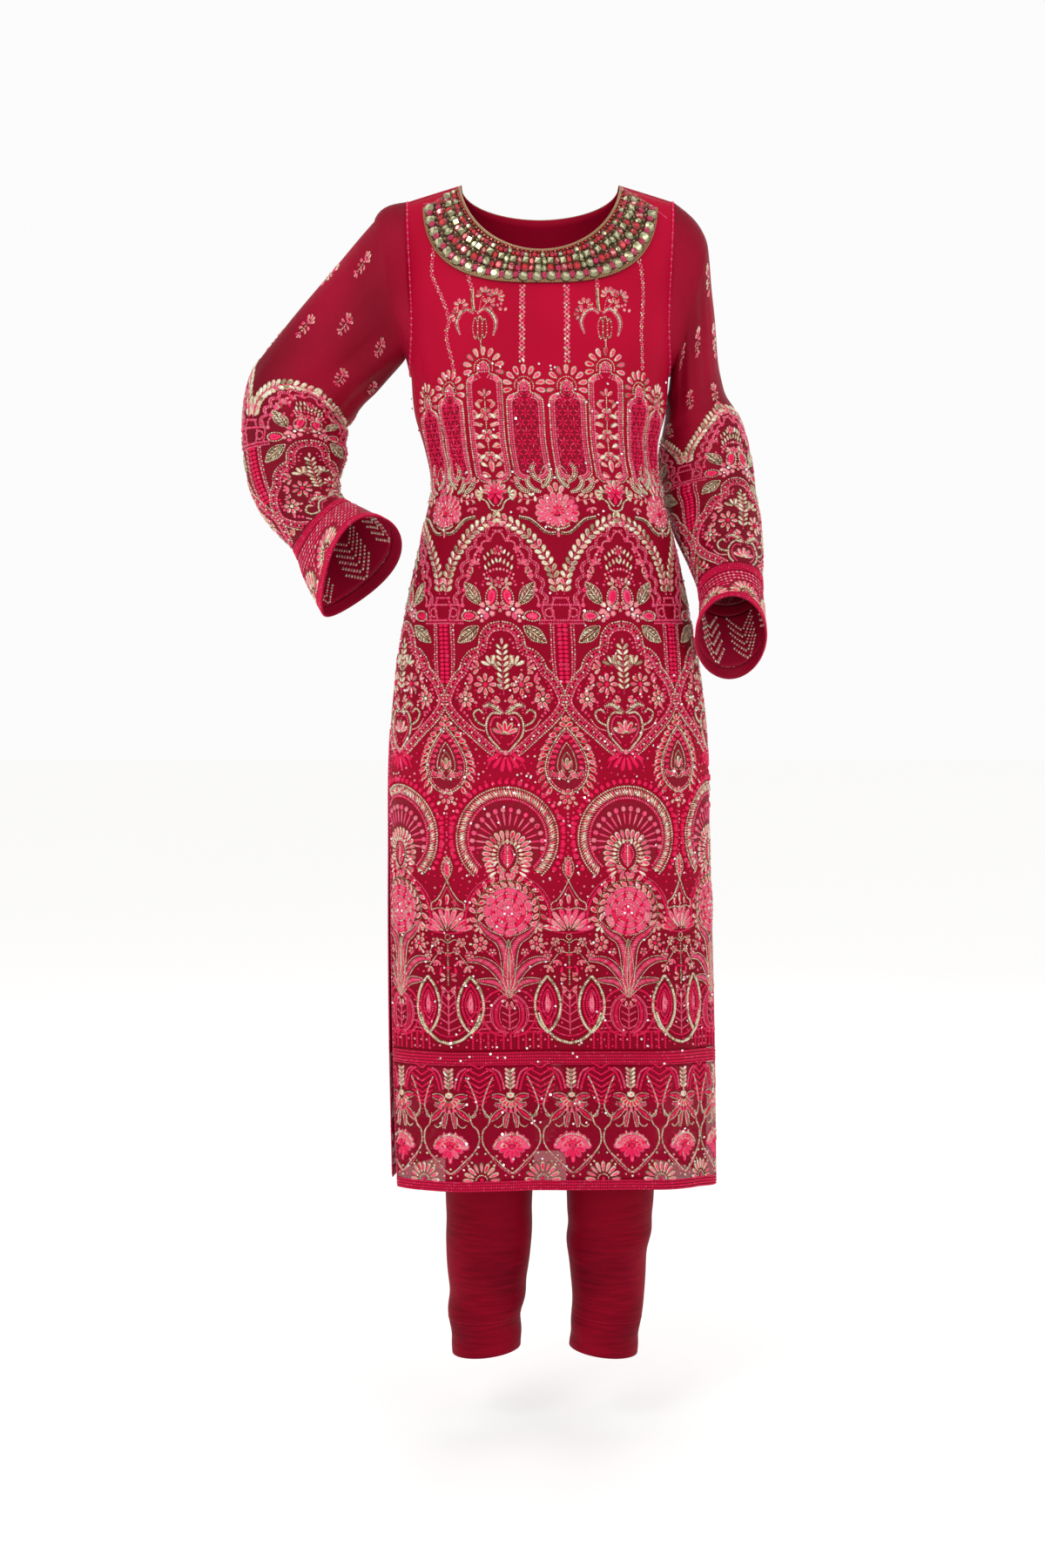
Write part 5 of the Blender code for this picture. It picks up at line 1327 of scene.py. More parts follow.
# ---------------------------------------------------------------- embroidery of the waist
# Under the niches runs a scrolling band with a lotus in the middle and half lotuses under the gold
# sprays; leafy garlands fall from it in valleys.
lotus = motif(
    fan(0, 5, 13, 27, -205, 25, 12, 9.6, PALE, high=1.2, flat=0.88),
    fan(0, 5, 9, 22, 12, 168, 9, 8.0, PALE, flat=0.8),
    fan(0, 5, 8, 19, -200, 20, 10, 8.4, PALE, high=1.5, flat=0.88),
    fan(0, 5, 4, 14, 20, 160, 6, 7.6, PALE, high=1.4),
    fan(0, 5, 1, 11, -190, 10, 7, 6.6, PALE, HOT, high=1.8), stitched(KNOT, HOT, 0, 6, 0, 7, 7, 2.2),
    knots(ring(0, 5, 12, 0, 360, 4.4), (SILVER, BLUSH, PALE), 2.3, high=2.2),
    knots(ring(0, 5, 18.5, 0, 360, 5.2, 15.5), (BLUSH, SILVER, ROSE), 2.2, high=2.0),
    stitched(PETAL, GOLD, (-6, 0, 6), (-21, -24, -21), (-2.0, -math.pi / 2, -1.14), 13, 8.0, 1.7, ROSE),
    stitched(KNOT, BRIGHT, 0, 25, 0, 5.5, 5.5, 2.4),
    both(*[cord([(3, 28), (10, 28.5), (17, 25), (25, 17.5), (33, 12), (45, 9.5)], 2.4, thread, wide, 3.4, 0.2,
        aside, high) for thread, wide, aside, high in (((GOLD, BRIGHT), 2.5, 0, 2.1),
        (DULL, 1.2, 2.3, 1.2))]),
    stitched(PETAL, PALE, 0, 30, math.pi / 2, 9, 4.6, 1.2, ROSE),
    both(cord([(2, 24), (8, 23), (14, 20)], 2.4, GOLD, 2.6, 3.2, 0.5)),
)
half_lotus = motif(
    fan(0, 3, 4, 18, -165, -15, 7, 7.0, high=1.3), fan(0, 3, 0, 12, -210, 30, 6, 7.0, HOT, HOT, high=1.8),
    stitched(PETAL, HOT, 0, 10, math.pi / 2, 12, 6.6, 1.9),
    knots(ring(0, 3, 8, -200, 20, 4.2), (BLUSH, SILVER, ROSE), 2.4, high=2.1),
    both(cord([(0, 23), (7, 20), (11, 12), (19, 7)], 2.2, (GOLD, BRIGHT, GOLD), 2.6, 3.2, 0.4, high=1.7)),
    both(cord([(2, 17), (6, 13), (9, 7)], 2.2, (BRIGHT, GOLD), 2.0, 3.0, 0.4, high=1.5)),
    both(fan(15, 3, 0, 11, -70, 50, 4, 5.0, GOLD, GOLD, high=1.4)),
)
scroll = motif(
    leafy(curve([(22, 368), (30, 374), (40, 374), (50, 370)], 7.0), 8.4, 5.2, GOLD, PALE, 0.9),
    cord([(16, 372), (28, 376), (42, 374), (53, 368)], 2.6, ROSE, 2.0, 3.0, 0.3),
    cord([(15, 360), (17, 350), (13, 341), (10, 337)], 2.6, GOLD, 1.6, 3.0, 0.3),
    blade([(9, 336), (4, 345), (8, 355), (16, 362)], 4.6, BRIGHT),
    blade([(15, 356), (23, 349), (25, 340), (20, 333)], 4.8, GOLD, BRIGHT),
    blade([(17, 367), (27, 363), (32, 355), (29, 348)], 5.0, BRIGHT),
    blade([(30, 367), (38, 364), (44, 357), (42, 350)], 4.6, GOLD, BRIGHT),
    fan(46, 356, 0, 8, -150, -30, 3, 4.0), fan(40, 384, 0, 8, 20, 140, 3, 4.2, PALE),
)
EVEN, ODD = (-2 * PITCH, -PITCH, 0, PITCH, 2 * PITCH), (-1.5 * PITCH, -0.5 * PITCH, 0.5 * PITCH, 1.5 * PITCH)
garland = curve([(4, 486), (9, 458), (24, 430), (46, 408), (70, 396)], 7.9)
garland_rows = motif(
    leafy(garland, 11.2, 7.4, GOLD, np.resize((GOLD, PALE, GOLD, DULL, GOLD, BRIGHT), len(garland[0])), 0.72),
    cord([(4, 486), (9, 458), (24, 430), (46, 408), (70, 396)], 3.2, ROSE, 2.0, 3.4, 0.3, high=1.5))
waist = [sown(lotus, EVEN, 385), sown(half_lotus, ODD, 366), sown(both(scroll), EVEN),
         sown(both(garland_rows), EVEN)]
sew("embroidery_waist", waist)

# ---------------------------------------------------------------- embroidery of the arches
# Cusped arches in pink cord stand on capitals and ladder-filled columns. Each frames a bunch of
# flowers with beaded leaves, and spires of short gold and rose stitches.
arch_edge = [(0, 403), (11, 412), (24, 422), (35, 439), (43, 458), (49, 478), (52, 498)]
arch_line = curve(arch_edge, 2.6)
FOIL = 19.0               # length of one small arc of the arch's edge
foil_line = curve(arch_edge, 2.2)
foil_run = (np.arange(len(foil_line[0])) + 0.5) * 2.2 / FOIL * math.pi
foil_lean = np.cos(foil_run) * -np.sign(np.sin(foil_run)) * math.pi / FOIL
foils = [rope(foil_line, thread, wide, 3.2, slant + np.arctan(deep * foil_lean),
             inset - deep * np.abs(np.sin(foil_run)), high)
    for thread, wide, deep, inset, slant, high in (((ROSE, BLUSH, ROSE), 2.9, 6.0, 0.8, 0.45, 1.4),
        ((ROSE, ROSE, PALE), 2.3, 6.0, 3.6, -0.45, 1.3), ((ROSE, BLUSH), 3.0, 4.4, 10.2, 0.35, 1.3))]
cusps = arch_line[0][7::7], arch_line[1][7::7], arch_line[2][7::7]
arch = both(*foils, knots(cusps, ROSE, 5.4, 6.6, 1.6))
capital = both(np.concatenate([cord([(0, v), (half, v)], 2.6, ROSE, wide, 3.2, 0.4, high=1.2)
    for v, half, wide in ((489, 10, 3.2), (497, 19, 3.4), (515, 27, 3.6), (518.5, 27, 2.8))]
    + [cord([(x, 490), (x + 3, 502), (x, 514)], 2.6, ROSE, 3.6, 3.0, 0.3, high=1.3)
    for x in (8, 19)] + [rope(ring(14, 506, 5.0, 0, 360, 2.4), (ROSE, BLUSH), 3.0, 2.8, 0.4)]))
column = motif(
    both(cord([(10.2, 519), (10.2, 560), (8, 590)], 2.8, (ROSE, PALE), 2.6, 3.4, 0.5, high=1.2)),
    both(cord([(13.4, 519), (13.4, 556), (11, 584)], 2.8, (GOLD, ROSE), 2.2, 3.4, -0.5)),
    both(stitched(KNOT, HOT, 3.2, np.arange(521, 590, 5.0), 0.1, 7.4, 5.6, 1.7)),
)
vein_at = np.linspace(-12.5, 12.5, 11)
vein_long = 8.2 * (1 - (vein_at / 16.5) ** 2)
big_leaf = np.concatenate([stitched(GRAIN, GOLD, 0, 0, 0, 29, 2.2, 1.9)]
    + [motif(cord([(-16, 0), (-8, side * 5.6), (1, side * 7.6), (9, side * 4.8), (16.5, 0)], 2.4, GOLD, 1.9,
               2.9, 0.3 * side, high=1.3),
           stitched(GRAIN, np.resize((DULL, GOLD, DULL, BRIGHT), 11), vein_at + 1.2, side * vein_long * 0.46,
               0.95 * side, vein_long * 1.15, 3.0, 1.2)) for side in (-1, 1)])


def turned(rows, angle, u=0.0, v=0.0):
    """The motif turned about its own middle, then placed."""
    rows, turn = rows.copy(), math.radians(angle)
    x, y = rows[:, 3].copy(), rows[:, 4].copy()
    rows[:, 3] = u + x * math.cos(turn) - y * math.sin(turn)
    rows[:, 4] = v + x * math.sin(turn) + y * math.cos(turn)
    rows[:, 5] += turn
    return rows


def pink_oval(long, wide):
    """A hot pink petal of satin inside a gold cord."""
    return motif(stitched(PETAL, HOT, 0, 0, 0, long * 0.96, wide * 1.02, 1.1, ROSE),
            stitched(PETAL, HOT, 0, 0, 0, long * 0.7, wide * 0.6, 1.5),
            rope(ring(0, 0, long / 2 - 1, 0, 360, 2.6, wide / 2 - 1), (GOLD, BRIGHT, GOLD), 1.9, 3.2, 0.4,
                high=1.7))


bunch = motif(
    bloom(0, -66, 6.6, 6, PALE), bloom(0, -29, 7.0, 6, PALE),
    both(stitched(PETAL, GOLD, (7.5, 12, 16.2), (-64.5, -61.5, -57.5), 2.0, 7.6, 4.3, 1.7,
        (GOLD, BRIGHT, PALE))),
    both(stitched(PETAL, GOLD, (2.3, 6.8, 11.2, 15.4), (-54.8, -53, -50, -46.4), 1.9, 7.8, 4.3, 1.7,
        (GOLD, PALE, GOLD, BRIGHT))),
    both(dots([(18, -70), (22, -62), (24, -53), (22, -44)], 4.6, (PALE, ROSE, HOT), 3.4)),
    both(dots([(24, -67), (28, -59), (29, -50)], 4.8, (ROSE, PALE), 3.4)),
    both(dots([(0, -44.5), (8, -43), (19, -37)], 4.2, (PALE, ROSE), 3.3)),
    both(dots([(10, -37), (17, -32), (20, -24)], 4.2, (ROSE, PALE, HOT), 3.3)),
    both(fan(7, -27, 0, 9, -70, 60, 3, 5.4, GOLD, PALE, high=1.5)),
    both(fan(28, -48, 1, 9, -120, -20, 4, 3.8, PALE), fan(31, -38, 1, 10, -80, 20, 3, 4.4),
        dots([(27, -30), (29, -22), (27, -14)], 4.6, ROSE, 3.0)),
    both(turned(pink_oval(25, 15.4), -101, 9.4, -12), turned(pink_oval(20, 13.6), 3, 37, 10),
        bloom(15, 2, 11.5, 6, BLUSH, PALE, SILVER, 9.4), bloom(22, 10, 8.0, 5, BLUSH, PALE, SILVER, 7.2),
        turned(big_leaf, -55, 32, -16), turned(big_leaf, 36, 39, 31)),
    bloom(0, -1, 6.8, 5),
)

# The ogee medallion under each bunch: a beaded band round a candle stem, flowers and volutes.
ogee_edge = [(0, -88), (12, -85), (20, -76), (22, -66), (25, -59), (35, -55), (43, -46), (47, -36), (57, -26),
             (65, -12), (68, 2), (57, 19), (36, 38), (18, 54), (7, 61)]
ogee_line = curve(ogee_edge, 2.8)
ogee = both(
    rope(ogee_line, (GOLD, PALE, GOLD), 2.5, 3.6, 0.45, -5.0, 1.3),
    rope(ogee_line, ROSE, 2.1, 3.6, -0.4, -2.4, 1.0),
    rope(ogee_line, (ROSE, PALE), 2.7, 3.6, -0.45, 4.4, 1.3), rope(ogee_line, ROSE, 2.2, 3.4, 0.4, 2.0, 1.0),
    dots(ogee_edge, 5.4, (GOLD, HOT), 2.9, high=1.5),
)
candle = np.concatenate([fan(0, v, 0, 10.5, -44, -44, 1, 5.6, GOLD, GOLD, high=1.5)
    for v in np.arange(-60, -8, 6.6)])
medallion = motif(
    ogee, both(candle), stitched(PETAL, GOLD, 0, -70, -math.pi / 2, 9, 5.0, 1.3, PALE),
    cord([(0, -64), (0, -8)], 2.6, ROSE, 1.6, 3.0, 0.3),
    both(fan(21, -20, 3, 14, 0, 315, 8, 6.4, high=1.4), stitched(KNOT, HOT, 21, -20, 0, 7.0, 7.0, 2.1),
        fan(13, -41, 1, 15, -105, -25, 3, 6.0, GOLD, GOLD, high=1.4), fan(27, -39, 1, 11, -60, 40, 3, 5.6),
        blade([(6, -38), (10, -46), (12, -54)], 5.0, GOLD, PALE), fan(35, -26, 0, 9, -50, 40, 3, 4.6, PALE),
        bloom(45, -3, 10.5, 7, GOLD, ROSE, BRIGHT, 7.2), fan(44, -3, 8, 14, 60, 160, 3, 4.4, PALE),
        fan(41, -12, 1, 8, -110, -30, 3, 4.4), dots([(52, -20), (55, -12), (56, -2)], 5.0, (HOT, ROSE), 3.6),
        dots([(28, -52), (34, -46), (38, -36)], 5.0, (ROSE, PALE), 3.6),
        dots([(8, -74), (13, -68), (14, -60)], 4.6, ROSE, 3.0),
        dots([(6, 8), (14, -2), (24, -6)], 4.6, (PALE, HOT), 3.2),
        dots([(42, 18), (48, 12), (53, 8)], 4.6, ROSE, 3.6),
        blade([(1, 14), (9, 8), (16, 3), (25, 6)], 8.0, GOLD, ROSE), fan(3, 0, 1, 11, -40, 0, 2, 5.4),
        cord([(4, 14), (14, 13), (21, 23), (20, 38), (9, 52), (3, 58)], 2.4, GOLD, 3.4, 3.2, 0.4, high=1.5),
        cord([(4, 18), (12, 18), (16.5, 26), (15.5, 36), (6, 49)], 2.4, ROSE, 2.6, 3.0, -0.4),
        cord([(23, 28), (32, 23), (36, 14), (30, 9), (25, 13)], 2.4, GOLD, 3.2, 3.0, 0.4, high=1.5),
        cord([(23, 34), (34, 30), (42, 20)], 2.4, PALE, 2.2, 3.0, 0.3),
        knots(ring(24, 11, 3.0, 0, 360, 3.0), ROSE, 2.0)),
    fan(0, 38, 0, 18, -155, -25, 5, 7.4, high=1.4), stitched(KNOT, BLUSH, 0, 59, 0, 8, 8, 1.9),
    both(cord([(4, 60), (12, 56), (19, 58)], 2.4, ROSE, 2.6, 3.2, 0.4)),
    fan(0, 57, 5, 27, 28, 152, 6, 7.4, HOT, HOT, high=1.6),
    both(cord([(5, 60), (16, 66), (23, 78)], 2.4, HOT, 3.4, 3.2, 0.4, high=1.6)),
)
arches = [sown(arch, ODD), sown(capital, EVEN), sown(column, EVEN), sown(bunch, ODD, 500)]
sew("embroidery_arches", arches)
sew("embroidery_medallions", [sown(medallion, ODD, 609)])

# ---------------------------------------------------------------- embroidery of the circles
# Flaming teardrops hang between the medallions. Below stand great circles of twisted gold cord,
# each with rose pins round a sun of petals, and columns of pink beads between them.
tear_edge = [(0, -41), (9, -31), (19, -14), (24, 2), (21, 18), (12, 29), (0, 34)]
tear_line = curve(tear_edge, 2.6)
flames = curve([(0, -48), (12, -38), (25, -16), (30, 4), (26, 22), (18, 34)], 8.8)
lick = curve([(0, -34), (8, -25), (15, -11), (18, 2), (16, 15)], 6.6)
tear = motif(
    # painted shade: dark tiles darken the inside of the teardrop
    filled(lambda u, v: (u / 19) ** 2 + ((v - 5) / 27) ** 2 < 1, 18.2, -24, 30),
    both(rope(tear_line, GOLD, 2.5, 3.6, 0.4, -1.2, 1.3), rope(tear_line, (ROSE, PALE), 2.1, 3.4, -0.4, 1.4),
        stitched(PETAL, GOLD, flames[0], flames[1], flames[2] - 1.1, 11.5, 7.4, 1.4, HOT),
        stitched(PETAL, PALE, flames[0] + 4, flames[1] + 4, flames[2] - 0.7, 6.5, 4.0, 1.0, ROSE),
        stitched(PETAL, ROSE, lick[0] - 0.5, lick[1], lick[2] + 1.9, 8.0, 5.2, 1.2, HOT),
        cord([(0, -25), (6, -16), (10, -5), (11, 5), (7, 12)], 2.4, GOLD, 1.7, 2.8, 0.4),
        blade([(1, 18), (8, 13), (15, 14), (19, 8)], 5.2), fan(3, 14, 1, 9, -60, 10, 3, 4.2),
        cord([(0, -14), (5, -6), (6, 3), (2, 10)], 2.4, DULL, 2.2, 3.0, 0.5)),
    fan(0, 8, 0, 15, -115, -65, 3, 5.4), stitched(PETAL, GOLD, 0, -2, -math.pi / 2, 13, 6.6, 1.5, DULL),
    fan(0, -48, 0, 9, -130, -50, 3, 5.0, GOLD, HOT), bloom(0, 38, 10.0, 7),
    fan(0, 38, 9, 16, 40, 140, 3, 5.4, GOLD, PALE),
)
sun = motif(
    fan(0, 20, 17, 31, -205, 25, 17, 7.6, high=1.4),
    fan(0, 20, 12, 20, -212, 32, 15, 5.4, PALE, GOLD, high=1.6),
    both(fan(4, 33, 9, 24, -20, 35, 4, 6.4, ROSE, GOLD, high=1.3)), both(fan(2, 36, 2, 12, -10, 55, 3, 6.0)),
    rope(ring(0, 21, 11.5, 100, 440, 2.6, 17.0), GOLD, 2.2, 3.0, 0.4, high=1.7),
    stitched(PETAL, HOT, 0, 21, math.pi / 2, 32, 19, 0.7),
    both(cord([(0, 6), (6, 15), (7, 23), (0, 35)], 2.4, ROSE, 2.2, 2.8, 0.4, high=1.2)),
    leafy(curve([(0, 32), (0, 10)], 3.4), 6.0, 2.0, ROSE),
    cord([(0, 34), (0, 9)], 2.4, GOLD, 2.4, 3.2, 0.3, high=1.8),
    rope(ring(0, 44, 8, 10, 170, 2.4, 4), PALE, 2.4, 3.0, 0.3, high=1.5),
    stitched(KNOT, ROSE, 0, 43, 0, 8, 6, 1.8),
)
OPEN = 131.0              # degrees at which a circle's cord begins, clockwise from the right
circle = motif(
    # painted shade: dark tiles darken the inside of the circle
    filled(lambda u, v: (np.hypot(u, v) < 43) & (v < 32), 44.2, -44, 34),
    rope(ring(0, 0, 59, OPEN, 540 - OPEN, 3.0), GOLD, 2.4, 3.6, 0.4, 0.0, 1.3),
    rope(ring(0, 0, 45.6, OPEN, 540 - OPEN, 3.0), ROSE, 3.4, 3.6, -0.4, 0.0, 1.3),
    *[stitched(GRAIN, thread, u, v, turn + 1.15, long, wide, high)
        for (u, v, turn), thread, long, wide, high in (
            (ring(0, 0, 52.8, OPEN, 540 - OPEN, 2.9), PALE, 15.0, 3.3, 1.0),
            (ring(0, 0, 52.8, OPEN + 1.5, 541.5 - OPEN, 5.8), GOLD, 12.0, 4.2, 1.6))],
    knots(ring(0, 0, 52.8, OPEN + 3, 543 - OPEN, 5.8), (HOT, BRIGHT), 2.8, high=2.2),
    knots(ring(0, 0, 65.5, OPEN + 12, 528 - OPEN, 7.8), HOT, 6.0, high=2.6),
    fan(0, 8, 20, 40, -186, 6, 16, 3.4, ROSE),
    knots(ring(0, 8, 41.0, -192.4, 12.4, 9.16), (ROSE, BLUSH), 6.4, high=2.2), sun,
)
bead_column = motif(
    both(dots([(6.4, 742), (5.6, 764), (8.5, 790)], 5.4, HOT, 5.4, high=2.0)),
    dots([(0, 737), (0, 745)], 4.0, ROSE, 3.0),
    stitched(KNOT, ROSE, 0, np.arange(752, 790, 9.0), 0, 3.0, 3.0, 1.3),
    leafy(curve([(0, 815), (0, 793)], 4.4), 7.4, 3.8, open=0.7),
    stitched(PETAL, ROSE, 0, 803, math.pi / 2, 25, 11, 0.9, HOT),
    both(cord([(0, 789), (5.5, 797), (6, 806), (0, 817)], 2.4, GOLD, 1.9, 2.8, 0.4, high=1.3)),
)
sew("embroidery_teardrops", [sown(tear, EVEN, 681)])
sew("embroidery_circles", [sown(circle, ODD, 767), sown(bead_column, EVEN)])

# ---------------------------------------------------------------- embroidery of the roses
# Full roses in rings of petals sit under the circles, wreathed in gold leaves, over tall leafy
# plants; between them hang tents, lotus fans and a trailing vine.
rose = [knots(ring(0, 0, 5, 0, 360, 5.0), (SILVER, BLUSH), 4.0, high=2.6),
    stitched(KNOT, ROSE, 0, 0, 0, 8, 8, 2.2)]
for count, across, deep, high, thread in ((11, 28.5, 9.0, 0.9, ROSE), (9, 21.5, 9.0, 1.3, HOT),
        (7, 14.5, 8.5, 1.8, ROSE), (5, 8.5, 7.0, 2.2, HOT)):
    for k in range(count):
        turn = (k + 0.37 * across) * 2 * math.pi / count
        u, v = (across - deep / 2) * math.cos(turn), (across - deep / 2) * math.sin(turn)
        broad = 2.5 * math.pi * across / count
        rose.append(stitched(PETAL, thread, u, v, turn, deep * 1.3, broad, high, ROSE))
        rim = ring(0, 0, across, math.degrees(turn) - 150 / count, math.degrees(turn) + 150 / count, 2.6)
        rose.append(rope(rim, (PALE, GOLD), 1.9, 3.0, 0.2, high=high + 0.9))
rose = np.concatenate(rose)
wreath_line = ring(0, 2, 37.0, -205, 25, 9.6)
wreath = motif(
    leafy(wreath_line, 11.5, 7.4, open=0.85), rope(ring(0, 2, 37.0, -205, 25, 2.8), DULL, 1.5, 3.2, 0.3),
    both(fan(33, 19, 0, 9, -20, 100, 3, 4.8, GOLD, PALE)), fan(0, -35, 2, 9, -150, -30, 3, 5.2),
    both(rope(ring(0, 10, 49.5, -68, 14, 2.8), HOT, 4.0, 3.8, 0.55, high=1.8)),
    both(rope(ring(0, 10, 53.0, -66, 10, 2.8), ROSE, 1.6, 3.2, 0.3)),
)
tent = motif(
    both(
        cord([(0, -18), (6, -6), (13, 4), (20, 9), (21, 16)], 2.4, GOLD, 1.9, 3.0, 0.4, high=1.3),
        cord([(0, -11), (5, -1), (10, 7), (14, 12)], 2.4, ROSE, 1.6, 2.8, -0.3),
        cord([(0, 17), (8, 14), (15, 15), (21, 17)], 2.4, GOLD, 1.9, 3.0, 0.4, high=1.3),
        stitched(PETAL, GOLD, 9, 8, -math.pi / 2, 10, 5.6, 1.2, HOT)),
    stitched(PETAL, GOLD, 0, 4, -math.pi / 2, 14, 7.0, 1.3, HOT),
)
fan_lotus = motif(
    fan(0, 18, 8, 33, -166, -14, 9, 8.4, PALE, high=1.2, flat=0.98),
    fan(0, 18, 4, 23, -154, -26, 6, 6.4, high=1.7, flat=1.0),
    *[cord([(0, 16), (26 * math.cos(a), 16 + 22 * math.sin(a))], 2.8, PALE, 1.4, 3.0, 0.1, high=2.0)
        for a in np.radians((-110, -70))],
    both(cord([(1, 19), (9, 18), (18, 17)], 2.4, HOT, 2.6, 3.2, 0.4, high=1.8)),
)
vine = motif(
    rope(ring(0, 883, 3.2, 0, 360, 2.2), GOLD, 1.5, 2.4, 0.3),
    cord([(0, 886), (0, 940)], 2.8, DULL, 2.4, 3.4, 0.4),
    both(cord([(1, 890), (9, 886), (18, 892), (24, 902)], 2.6, GOLD, 1.5, 3.0, 0.3),
        cord([(1, 902), (10, 901), (17, 908), (23, 916)], 2.6, GOLD, 1.5, 3.0, 0.3),
        bloom(16, 889, 6.0, 5, GOLD, ROSE, PALE), bloom(25, 904, 5.6, 5, PALE, ROSE, GOLD),
        bloom(10, 899, 5.0, 5, GOLD, ROSE, PALE), fan(22, 917, 0, 9, 10, 110, 3, 4.4),
        fan(13, 910, 0, 8, 30, 120, 3, 4.0, PALE), stitched(PETAL, HOT, 9, 922, 1.4, 10, 4.4, 1.3),
        fan(1, 931, 2, 11, -30, 20, 2, 5.0), fan(1, 945, 2, 9, -20, 25, 2, 4.6)),
    stitched(TILE, HOT, 0, 904, 0, 11, 3.6, 0.5), stitched(GRAIN, HOT, 0, 919, 0, 13, 4.2, 1.5),
    stitched(PETAL, GOLD, 0, 953, math.pi / 2, 9, 5, 1.2, ROSE),
)
plants = both(
    blade([(1, 44), (3, 20), (5, -4), (11, -18), (23, -26), (36, -40)], 11.0),
    blade([(1, 46), (9, 26), (20, 12), (34, 5), (49, 5)], 10.0),
    blade([(1, 48), (8, 38), (18, 31), (38, 29)], 8.4),
    blade([(0, 50), (4, 30), (3, 8), (1, -12)], 5.0, HOT),
    cord([(8, 14), (18, 2), (28, -8)], 2.6, HOT, 1.9, 3.2, 0.3),
    bloom(33, -14, 9.5, 6, wide=7.2), fan(33, -14, 8, 14, -60, 60, 3, 4.4, GOLD, PALE),
    bloom(19, -4, 5.2, 5, PALE, ROSE, GOLD), stitched(PETAL, GOLD, 0, -14, math.pi / 2, 14, 7, 1.2, DULL),
    fan(2, 52, 1, 9, 10, 80, 2, 4.6), cord([(0, -28), (2, -22), (6, -26)], 2.4, HOT, 2.2, 3.0, 0.3),
)
sew("embroidery_roses", [sown(rose, ODD, 853), sown(wreath, ODD, 852), sown(tent, EVEN, 835),
                         sown(fan_lotus, EVEN, 860), sown(vine, EVEN), sown(plants, ODD, 905)])

# ---------------------------------------------------------------- embroidery above the join lace
# Pairs of pointed almonds joined by a hanging gold chain stand over a pink lattice, with crescents
# between, and a row of short bars like a fence meets the lace.
almond_edge = [(0, -32), (9, -20), (14.5, -4), (14, 12), (8, 26), (0, 35)]
almond = motif(
    *[cord([(side * u * narrow, v * low) for u, v in almond_edge], 2.8, thread, wide, long, slant * side,
          high=high)
        for narrow, low, thread, wide, long, slant, high in ((1, 1, GOLD, 4.4, 4.2, 0.55, 1.9),
            (0.66, 0.72, HOT, 3.4, 3.6, 0.6, 1.5), (0.42, 0.5, HOT, 2.8, 3.6, 0.6, 1.3)) for side in (-1, 1)],
    stitched(PETAL, ROSE, 0, 0, math.pi / 2, 30, 9.5, 0.6, BLUSH),
    stitched(GRAIN, HOT, 0, np.array((-8.0, 0.0, 8.0)), math.pi / 2, 7.5, 2.0, 1.3),
)
lattice = motif(*[
    cord([(a, va), (b, vb)], 2.6, ROSE, 2.3, 3.4, 0.3) for a, va, b, vb in (
        (0, 950, 0, 998), (0, 948, 9, 940), (0, 957, 8, 949), (0, 966, 9, 958), (0, 975, 11, 967),
        (0, 984, 13, 977), (0, 993, 17, 986), (7, 944, 9, 958), (8, 958, 11, 974), (10, 974, 18, 988))])
crescent = motif(
    cord([(4, 1000), (20, 995), (30, 980), (30, 962), (22, 950), (8, 944)], 2.8, HOT, 3.4, 3.8, 0.5,
        high=1.5),
    cord([(5, 996), (16, 990), (22, 978), (20, 964), (12, 954), (3, 950)], 2.8, ROSE, 2.6, 3.6, -0.4),
    blade([(3, 952), (14, 964), (15, 982), (4, 998)], 7.6, HOT, ROSE),
    cord([(0, 962), (0, 992)], 2.6, ROSE, 2.6, 3.2, 0.3),
    *[cord([(0, v), (9, v - 5)], 2.6, ROSE, 2.3, 3.2, 0.3) for v in (968, 976, 984, 992)],
    cord([(32, 998), (40, 990), (46, 978)], 2.8, HOT, 2.8, 3.6, 0.4),
    *[cord([(22, v), (35, v + 1)], 2.6, ROSE, 2.3, 3.2, 0.3) for v in (958, 966, 974, 982, 990)],
    rope(ring(40, 962, 9, -60, 200, 2.8), ROSE, 2.3, 3.4, 0.4),
    rope(ring(40, 984, 9, -60, 200, 2.8), HOT, 2.3, 3.4, 0.4),
)
chain_u = cord([(37, 972), (32, 985), (25, 995), (14, 1004), (0, 1008)], 2.8, GOLD, 4.4, 4.2, 0.55, high=1.9)
fence_u = np.arange(-70, 71, 8.9)
fence_u = fence_u[np.abs(fence_u) > 24]
fence = np.concatenate([cord([(u, 996), (u, 1015)], 2.8, HOT, 3.4, 3.4, 0.5, high=1.4) for u in fence_u])
rail = cord([(-70.5, 995), (70.5, 995)], 2.8, HOT, 2.6, 3.6, 0.4)
rail = rail[np.abs(rail[:, 3]) > 24]
above_lace = motif(
    sown(almond, (-26, 26), 961), both(lattice, chain_u), fence, rail,
    both(cord([(22, 990), (12, 997), (0, 1000)], 2.8, HOT, 2.6, 3.4, 0.4)),
)
sew("embroidery_above_lace", [sown(above_lace, EVEN), sown(both(crescent), ODD)])

